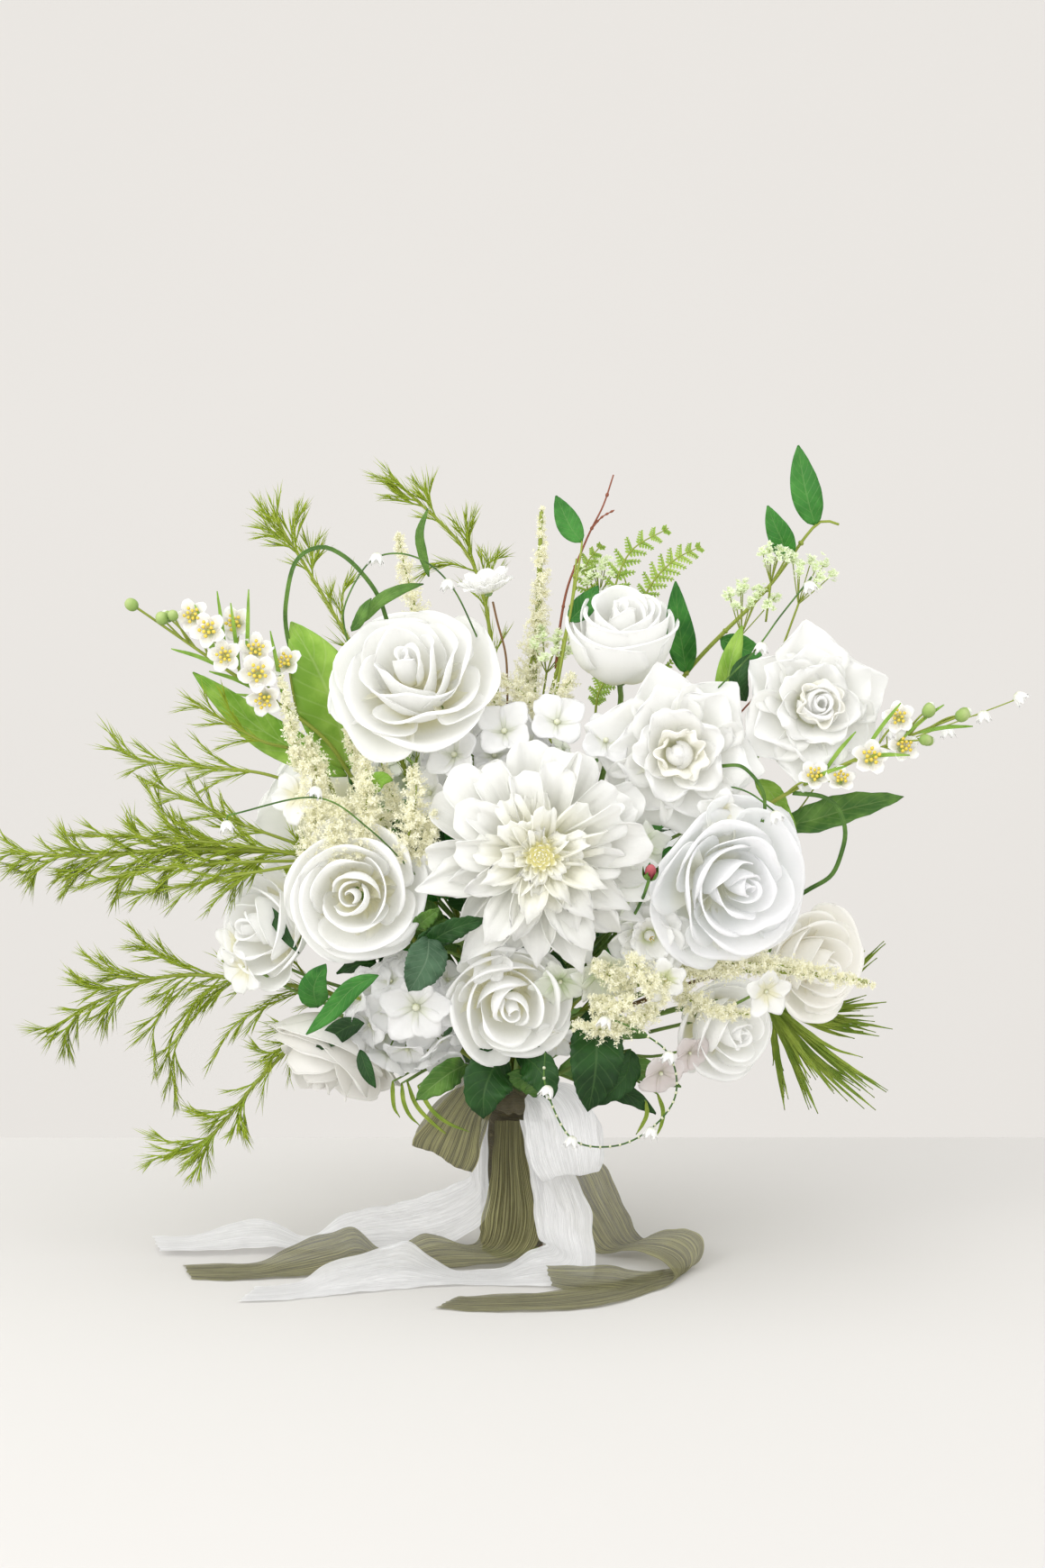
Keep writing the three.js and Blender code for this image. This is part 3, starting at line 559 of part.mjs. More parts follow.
function plume({ p, r }) {
  // rings alternately full and drawn in, so that the plume looks tufted
  const points = [], radii = [];
  for (let i = 0; i < p.length - 1; i++) {
    const a = V(p[i]), b = V(p[i + 1]);
    points.push(a, a.clone().lerp(b, 0.5));
    radii.push(r[i], (r[i] + r[i + 1]) / 2 * 0.78);
  }
  points.push(V(p[p.length - 1])); radii.push(r[r.length - 1]);
  return tube(points, radii, 7);
}

function bloom({ c, f, r }) {
  const big = r > 10;
  const profile = r < 5
    ? [{ r: 0, z: -r }, { r: r * 0.85, z: -r * 0.35 }, { r: r * 0.75, z: 0.6 * r }, { r: 0, z: r }]
    : big ? [{ r: 0, z: -r * 0.35 }, { r: r * 0.3, z: -r * 0.3 }, { r: r, z: r * 0.14, cut: 0.24 }, { r: r * 0.94, z: r * 0.3, cut: 0.24 }, { r: r * 0.2, z: r * 0.02 }, { r: 0, z: r * 0.25 }]
    : [{ r: 0, z: -r * 0.35 }, { r: r, z: r * 0.16, cut: 0.24 }, { r: 0, z: r * 0.06 }];
  return facing(lobed(profile, big ? 15 : r < 5 ? 6 : 10, 5), c, f);
}

// ---------- materials ----------
const paint = (color, roughness) => new THREE.MeshStandardMaterial({ color, roughness, metalness: 0 });
const MAT = {
  petal: paint(0xf1eee6, 0.7), dahlia: paint(0xf3f2e4, 0.66), cream: paint(0xf0e8d6, 0.7), hydrangea: paint(0xdfe2df, 0.72), stem: paint(0x6f8a4a, 0.6),
  leaf: paint(0x4d6b3a, 0.5), dark: paint(0x3c4f34, 0.5), spray: paint(0xa9ad4e, 0.62), plume: paint(0xe9dfb4, 0.85), wax: paint(0xf3f1ea, 0.6),
  tape: paint(0x5f7443, 0.75), olive: paint(0x8d8468, 0.72), white: paint(0xeeece6, 0.72),
};

// ---------- the bouquet ----------
const bouquet = new THREE.Group();
bouquet.name = "bridal_bouquet";
const flowers = new THREE.Group(), greens = new THREE.Group(), tie = new THREE.Group();
bouquet.add(flowers, greens, tie);

function add(group, name, geometry, material) {
  const mesh = new THREE.Mesh(geometry, material);
  mesh.name = name;
  group.add(mesh);
  return mesh;
}

// flower heads, each on a stem of its own
for (const [name, h] of Object.entries(HEADS)) {
  if (h.kind === "ball") continue;
  const sides = h.kind === "dahlia" ? 24 : h.kind === "gardenia" ? 18 : 15;
  const mesh = add(flowers, name, toGeometry(toManifold(lobed(headProfile(h), sides, h.petals))),
    h.kind === "dahlia" ? MAT.dahlia : name === "rose_far_right" || name === "rose_lower_left" ? MAT.cream : MAT.petal);
  mesh.position.set(...h.c);
  mesh.quaternion.setFromUnitVectors(new THREE.Vector3(0, 0, 1), V(h.n).normalize());
  add(flowers, `${name}_stem`, toGeometry(toManifold(stem(name))), MAT.stem);
}
// hydrangea heads grow in one with their stems
for (const [name, h] of Object.entries(HEADS)) {
  if (h.kind !== "ball") continue;
  add(flowers, name, joined([stem(name), facing(lobed(headProfile(h), 16, h.petals), h.c, h.n)]), MAT.hydrangea);
}
// sprays, branches, leaves and small flowers, each grown in one with its stem
const SINGLE_MATERIAL = (n) => n.startsWith("spray") ? MAT.spray : n.startsWith("astilbe") ? MAT.plume : n.startsWith("wax") || n.startsWith("freesia") || n.startsWith("lily") ? MAT.wax
  : n.startsWith("palm") || n.startsWith("ruscus") ? MAT.dark : MAT.leaf;
for (const name of Object.keys(STEMS)) {
  if (HEADS[name]) continue;
  const pieces = [stem(name)];
  for (const b of BLADES[name] || []) pieces.push(blade(b));
  for (const b of PLUMES[name] || []) pieces.push(plume(b));
  for (const b of BLOOMS[name] || []) pieces.push(bloom(b));
  add(greens, name, joined(pieces), SINGLE_MATERIAL(name));
}

// the tie: tape round the stems, ribbon round the handle, a knot, a bow and its tails
add(tie, "floral_tape_binding", toGeometry(toManifold(sleeve(TAPE_Z[0], TAPE_Z[1], 0.3, TAPE_WALL, 20, 1))), MAT.tape);
add(tie, "handle_ribbon_wrap", toGeometry(toManifold(sleeve(WRAP_Z[0], WRAP_Z[1], WRAP_GAP, WRAP_WALL, 20, 4))), MAT.olive);
{
  const g = new THREE.SphereGeometry(1, 14, 8);
  g.scale(...KNOT.r);
  const mesh = add(tie, "bow_knot", toGeometry(toManifold(g)), MAT.olive);
  mesh.position.set(...KNOT.c);
}
for (const [name, rows] of Object.entries(RIBBONS)) {
  add(tie, name, toGeometry(toManifold(strip(rows, RIBBON_T))), name.includes("white") ? MAT.white : MAT.olive);
}

export default bouquet;
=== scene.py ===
import bpy, math
import numpy as np
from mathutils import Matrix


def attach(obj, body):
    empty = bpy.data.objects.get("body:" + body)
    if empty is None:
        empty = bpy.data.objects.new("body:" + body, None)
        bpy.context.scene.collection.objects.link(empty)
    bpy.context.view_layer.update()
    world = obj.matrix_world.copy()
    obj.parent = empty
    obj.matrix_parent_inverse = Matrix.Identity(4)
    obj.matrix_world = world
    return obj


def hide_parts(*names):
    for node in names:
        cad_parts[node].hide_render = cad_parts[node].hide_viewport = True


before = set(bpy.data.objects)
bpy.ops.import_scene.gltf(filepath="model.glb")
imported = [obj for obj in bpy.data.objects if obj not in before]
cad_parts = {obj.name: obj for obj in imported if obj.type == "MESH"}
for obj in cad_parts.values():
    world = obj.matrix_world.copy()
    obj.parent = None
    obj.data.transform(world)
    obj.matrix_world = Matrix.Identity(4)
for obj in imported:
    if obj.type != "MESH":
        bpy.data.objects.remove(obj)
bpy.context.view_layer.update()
MM = 0.001

# Where things are, in millimetres: head centres, facing, radius, height in front and depth behind,
# the centre line of every stem, and the leaves, plumes, small blooms and ribbons that grow from them.
HEADS = {
 "dahlia": dict(c=[16.2,-94.8,263.6], n=[0.02,-0.992,0.122], r=60, front=14, back=30, kind="dahlia"),
 "garden_rose_left": dict(c=[-59.5,-55.4,363.1], n=[-0.152,-0.762,0.63], r=41, front=24, back=34, kind="rose"),
 "rose_top": dict(c=[64.4,-21.6,379.4], n=[0.02,-0.447,0.894], r=29, front=24, back=32, kind="rose"),
 "rose_left": dict(c=[-91.7,-83.2,237.8], n=[-0.101,-0.983,0.152], r=37, front=20, back=32, kind="rose"),
 "gardenia_centre": dict(c=[96.3,-59.0,316.6], n=[0.082,-0.985,0.154], r=40, front=16, back=26, kind="gardenia"),
 "gardenia_right": dict(c=[176.7,-37.0,340.5], n=[0.226,-0.924,0.308], r=37, front=16, back=26, kind="gardenia"),
 "garden_rose_right": dict(c=[129.5,-74.0,242.3], n=[0.423,-0.906,0.0], r=41, front=20, back=32, kind="rose"),
 "rose_bottom": dict(c=[-1.3,-79.9,172.1], n=[0.122,-0.987,-0.102], r=31, front=18, back=28, kind="rose"),
 "rose_lower_right": dict(c=[127.7,-44.7,148.8], n=[0.506,-0.861,-0.051], r=28, front=18, back=27, kind="rose"),
 "rose_far_right": dict(c=[181.0,-16.9,182.1], n=[0.567,-0.824,0.0], r=31, front=17, back=27, kind="rose"),
 "rose_far_left": dict(c=[-147.8,-32.3,207.3], n=[-0.733,-0.672,0.102], r=30, front=17, back=28, kind="rose"),
 "rose_lower_left": dict(c=[-108.1,-27.4,127.6], n=[-0.423,-0.352,-0.835], r=28, front=20, back=27, kind="rose"),
 "hydrangea_lower_left": dict(c=[-62.3,-59.1,160.1], n=[-0.151,-0.956,-0.252], r=33, front=12, back=24, kind="ball"),
 "hydrangea_upper": dict(c=[-16.2,-36.9,308.5], n=[-0.199,-0.845,0.497], r=36, front=13, back=24, kind="ball"),
 "rose_back_left": dict(c=[-121.9,67.7,261.8], n=[-0.619,0.759,0.2], r=38, front=20, back=30, kind="rose"),
 "rose_back_right": dict(c=[70.0,86.0,214.0], n=[0.502,0.863,0.05], r=38, front=20, back=30, kind="rose"),
 "hydrangea_back": dict(c=[-24.1,96.3,264.2], n=[-0.08,0.951,0.3], r=62, front=32, back=38, kind="ball"),
}
STEMS = {
 "dahlia": [[2.8,-14.3,0.0],[2.3,-11.8,112.0],[3.2,-14.0,123.0],[5.8,-16.6,155.6],[8.5,-20.6,187.8],[10.3,-24.9,208.6],[11.3,-27.7,218.8],[13.2,-34.5,238.4],[15.1,-42.6,257.2],[15.5,-64.5,259.9]],
 "garden_rose_left": [[-2.8,4.8,0.0],[-2.3,3.9,112.0],[-3.8,4.7,128.1],[-5.6,6.8,144.1],[-8.7,9.0,159.7],[-13.0,10.3,174.8],[-17.5,10.3,190.0],[-21.5,9.2,205.4],[-28.5,5.8,236.6],[-35.9,1.2,267.4],[-43.4,-4.9,297.7],[-50.8,-12.3,327.5],[-54.2,-29.1,341.3]],
 "rose_top": [[2.8,4.8,0.0],[2.3,3.9,112.0],[5.9,3.8,127.7],[17.3,4.5,158.3],[22.7,5.9,173.7],[31.5,8.3,205.0],[39.5,8.6,236.6],[47.6,7.7,268.0],[63.3,2.9,330.6],[63.7,-7.0,350.3]],
 "rose_left": [[-8.2,-4.8,0.0],[-6.8,-3.9,112.0],[-11.0,-4.8,122.4],[-21.8,-4.1,140.2],[-27.5,-4.9,148.9],[-39.4,-8.0,165.7],[-58.3,-14.6,189.6],[-71.0,-21.1,204.4],[-76.5,-24.8,212.3],[-81.5,-27.7,220.7],[-86.2,-29.5,229.5],[-88.4,-51.1,232.8]],
 "gardenia_centre": [[5.5,0.0,0.0],[4.6,0.0,112.0],[10.0,0.2,127.7],[27.3,2.5,171.9],[39.5,3.5,200.9],[52.3,3.1,229.2],[59.0,2.2,243.2],[72.5,-1.4,270.3],[79.2,-4.2,283.5],[92.3,-11.2,309.2],[94.1,-32.8,312.5]],
 "gardenia_right": [[8.2,4.8,0.0],[6.8,3.9,112.0],[15.8,6.0,129.6],[25.8,8.1,146.0],[57.9,14.0,194.1],[69.3,15.6,209.7],[92.9,17.4,240.0],[117.2,17.0,269.4],[141.7,13.7,297.9],[165.8,8.0,325.6],[170.7,-12.4,332.4]],
 "garden_rose_right": [[8.2,-4.8,0.0],[6.8,-3.9,112.0],[11.4,-4.8,123.8],[29.8,-5.9,155.0],[43.3,-7.3,174.8],[58.0,-9.6,193.6],[65.7,-11.2,202.6],[81.8,-15.5,219.4],[106.4,-24.5,242.3],[115.8,-44.5,242.3]],
 "rose_bottom": [[-2.8,-14.3,0.0],[-2.3,-11.8,112.0],[-2.7,-13.9,117.4],[-3.9,-15.2,132.1],[-5.1,-17.7,146.6],[-6.3,-21.8,160.4],[-7.5,-29.9,177.2],[-4.8,-51.6,175.0]],
 "rose_lower_right": [[13.8,4.8,0.0],[11.4,3.9,112.0],[17.8,5.4,116.3],[29.5,5.6,124.0],[48.4,5.5,133.9],[68.5,4.2,141.7],[89.1,1.1,147.8],[102.6,-2.0,151.4],[113.8,-20.9,150.2]],
 "rose_far_right": [[11.0,9.5,0.0],[9.1,7.9,112.0],[17.7,11.2,119.0],[26.8,13.1,125.8],[45.9,17.1,138.4],[55.9,18.9,144.1],[66.1,20.7,149.5],[87.2,23.5,159.2],[108.9,25.2,167.7],[130.9,25.2,175.2],[152.9,23.9,182.1],[165.3,5.8,182.1]],
 "rose_far_left": [[-13.8,4.8,0.0],[-11.4,3.9,112.0],[-17.5,5.3,119.8],[-23.3,5.7,127.4],[-42.4,6.8,149.2],[-63.7,7.0,168.9],[-79.0,6.2,180.8],[-94.8,4.3,191.8],[-110.7,1.7,202.2],[-126.9,-13.1,204.4]],
 "rose_lower_left": [[-11.0,0.0,0.0],[-9.1,0.0,112.0],[-12.8,0.1,119.7],[-27.8,-1.4,134.7],[-44.4,-3.1,148.2],[-62.3,-5.5,159.1],[-81.0,-8.7,167.0],[-87.2,-9.9,169.0],[-96.5,-17.7,150.6]],
 "hydrangea_lower_left": [[-5.5,-9.5,0.0],[-4.6,-7.9,112.0],[-6.3,-9.2,119.0],[-16.0,-9.4,133.1],[-23.4,-9.4,141.9],[-27.5,-9.8,145.9],[-39.9,-13.3,157.1],[-48.2,-16.7,163.9],[-56.2,-20.9,170.2],[-59.5,-41.9,164.6]],
 "hydrangea_upper": [[0.0,0.0,0.0],[0.0,0.0,112.0],[-0.2,0.2,125.0],[-2.2,3.6,189.1],[-3.9,3.7,227.2],[-4.6,3.1,239.7],[-6.3,0.7,264.4],[-8.2,-3.1,288.6],[-12.6,-21.7,299.6]],
 "rose_back_left": [[-11.0,9.5,0.0],[-9.1,7.9,112.0],[-13.5,9.2,123.0],[-22.6,9.6,144.7],[-38.1,11.2,176.3],[-49.8,13.5,196.4],[-62.3,17.0,215.7],[-75.7,21.8,233.9],[-89.3,27.7,251.3],[-103.0,44.4,255.7]],
 "rose_back_right": [[2.8,14.3,0.0],[2.3,11.8,112.0],[3.8,13.6,120.2],[6.2,14.6,127.9],[13.9,18.3,150.6],[22.7,23.6,172.5],[29.3,28.3,186.2],[39.9,37.3,205.3],[43.6,40.6,211.4],[54.6,59.6,212.5]],
 "hydrangea_back": [[-2.8,14.3,0.0],[-2.3,11.8,112.0],[-6.5,16.8,152.8],[-8.9,20.0,172.9],[-11.5,24.2,192.6],[-14.2,29.8,211.7],[-17.0,36.9,230.2],[-19.8,45.0,248.0],[-21.5,65.9,254.6]],
 "astilbe_top": [[2.8,-4.8,0.0],[2.3,-3.9,112.0],[3.5,-4.1,127.5],[7.1,-3.8,219.7],[11.7,-4.4,311.9],[13.5,-6.2,360.0],[17.2,-3.1,451.9]],
 "astilbe_left": [[-8.2,-14.3,0.0],[-6.8,-11.8,112.0],[-12.5,-15.3,123.3],[-24.9,-19.5,146.2],[-38.1,-24.0,168.4],[-73.0,-37.0,223.0],[-99.8,-47.7,267.3],[-103.7,-50.8,289.3],[-113.9,-53.9,313.9]],
 "astilbe_right": [[5.5,-9.5,0.0],[4.6,-7.9,112.0],[6.7,-9.2,119.5],[19.0,-18.5,134.6],[32.7,-28.1,148.6],[48.0,-37.6,161.3],[69.8,-50.8,175.9],[106.8,-55.4,185.1],[154.4,-57.0,186.5],[208.8,-53.9,179.9]],
 "astilbe_back": [[-5.5,9.5,0.0],[-4.6,7.9,112.0],[-7.8,8.6,127.2],[-10.7,7.1,142.2],[-12.6,5.7,157.5],[-13.7,5.0,173.2],[-14.7,5.6,188.9],[-16.3,7.2,204.2],[-27.3,17.1,263.6],[-40.0,30.0,322.0],[-52.0,52.0,356.0],[-62.0,70.0,388.0]],
 "spray_left_upper": [[-11.0,-9.5,0.0],[-9.1,-7.9,112.0],[-22.1,-13.4,135.2],[-28.2,-15.3,146.9],[-48.2,-18.2,181.7],[-63.4,-20.0,203.6],[-72.2,-20.8,213.6],[-82.0,-22.6,222.3],[-102.8,-28.8,237.8],[-124.4,-34.7,252.4],[-196.3,-32.3,255.2],[-250.1,-27.7,249.9],[-297.8,-21.6,251.5]],
 "spray_left_middle": [[-13.8,-4.8,0.0],[-11.4,-3.9,112.0],[-18.3,-5.6,117.6],[-32.6,-5.6,127.8],[-47.9,-5.8,136.9],[-64.2,-6.2,144.8],[-81.0,-6.9,151.7],[-124.8,-9.2,166.0],[-198.5,-18.5,175.8],[-243.9,-24.6,162.9],[-278.5,-21.6,141.2]],
 "spray_left_lower": [[-16.5,0.0,0.0],[-13.6,0.0,112.0],[-34.8,0.3,124.0],[-42.1,0.3,127.6],[-57.4,0.4,133.6],[-81.6,0.7,139.7],[-98.4,1.2,142.0],[-115.6,1.8,143.1],[-121.4,-3.8,140.4],[-151.3,-9.2,111.0],[-182.7,-15.4,75.2],[-209.8,-18.5,62.6]],
 "spray_top_left": [[-8.2,4.8,0.0],[-6.8,3.9,112.0],[-11.7,4.0,130.6],[-21.0,1.9,167.0],[-31.2,-0.1,203.3],[-42.7,-2.1,239.3],[-55.2,-4.0,274.9],[-68.7,-5.6,310.3],[-90.0,-7.7,362.9],[-115.3,-6.2,408.4],[-141.9,0.0,450.5]],
 "spray_top": [[0.0,9.5,0.0],[0.0,7.9,112.0],[0.3,8.6,130.0],[-1.3,8.8,201.0],[-5.6,8.1,289.8],[-11.2,8.0,360.6],[-25.0,10.0,422.5],[-73.0,14.0,472.0]],
 "spray_back": [[-8.2,14.3,0.0],[-6.8,11.8,112.0],[-12.7,22.7,122.4],[-18.9,34.3,132.2],[-29.4,52.6,145.1],[-41.6,71.4,156.3],[-60.0,96.0,170.0],[-112.0,122.0,190.0],[-165.0,138.0,212.0]],
 "ruscus_right": [[5.5,9.5,0.0],[4.6,7.9,112.0],[8.1,9.0,130.4],[11.4,8.9,148.8],[15.4,7.7,167.0],[20.5,5.9,184.8],[34.1,3.3,219.5],[49.4,1.9,253.6],[65.8,0.6,287.1],[101.3,-1.5,352.8],[150.1,0.0,404.9],[179.2,2.0,443.3],[192.9,0.0,444.1]],
 "ruscus_top": [[0.0,-9.5,0.0],[0.0,-7.9,112.0],[2.1,-10.8,143.6],[8.7,-17.5,206.3],[14.8,-22.6,253.2],[22.0,-27.0,300.0],[23.2,-28.7,315.8],[23.0,-30.8,331.5],[38.8,-24.6,421.5],[40.9,-23.1,437.2]],
 "broad_leaves_left": [[-5.5,0.0,0.0],[-4.6,0.0,112.0],[-7.9,-0.6,125.0],[-19.0,-4.1,148.2],[-36.8,-9.6,182.6],[-87.4,-23.1,273.5],[-97.8,-23.1,303.3]],
 "broad_leaf_right": [[11.0,0.0,0.0],[9.1,0.0,112.0],[15.8,-0.3,125.1],[30.8,-2.7,148.6],[55.6,-7.0,182.6],[73.7,-10.4,204.1],[92.9,-14.4,224.7],[113.2,-18.7,244.1],[134.2,-23.1,262.7],[156.3,-27.7,268.9]],
 "palm_grass_right": [[16.5,0.0,0.0],[13.6,0.0,112.0],[34.4,-1.4,129.9],[49.0,-2.3,140.8],[56.7,-2.7,145.7],[72.8,-3.5,154.3],[98.5,-4.3,164.2],[125.1,-4.6,171.1],[156.9,0.0,153.4]],
 "wax_flowers_left": [[-2.8,-4.8,0.0],[-2.3,-3.9,112.0],[-6.2,-5.5,129.1],[-19.2,-9.6,161.2],[-33.4,-13.9,192.9],[-49.0,-18.5,223.8],[-57.4,-20.8,239.0],[-75.4,-25.5,268.6],[-94.6,-30.2,297.5],[-114.7,-34.7,325.7],[-168.0,-38.5,363.7],[-222.1,-34.7,401.0]],
 "wax_flowers_right": [[11.0,-9.5,0.0],[9.1,-7.9,112.0],[34.7,-15.0,154.7],[53.6,-20.0,182.3],[63.6,-22.6,195.6],[84.8,-28.1,221.5],[107.3,-33.9,246.4],[132.3,-39.3,268.7],[158.1,-47.7,289.3],[205.5,-58.5,315.8],[262.6,-50.8,338.5]],
 "freesia_right": [[8.2,-14.3,0.0],[6.8,-11.8,112.0],[20.7,-22.0,129.8],[30.6,-29.1,141.0],[56.1,-48.8,167.7],[75.8,-64.7,189.8],[80.6,-77.0,211.4]],
 "lily_of_the_valley_right": [[13.8,-4.8,0.0],[11.4,-3.9,112.0],[20.8,-5.3,124.8],[40.1,-6.4,149.6],[61.0,-7.6,173.5],[83.3,-9.1,196.3],[118.4,-11.7,229.2],[166.6,-15.4,272.1],[195.5,-18.5,301.4],[299.6,-15.4,342.5]],
 "fern_top_right": [[8.2,14.3,0.0],[6.8,11.8,112.0],[13.2,12.9,128.5],[33.0,14.0,177.1],[66.9,17.3,257.5],[78.8,19.0,290.0],[93.6,22.0,339.4],[75.1,26.0,382.5],[65.3,26.0,415.1]],
}
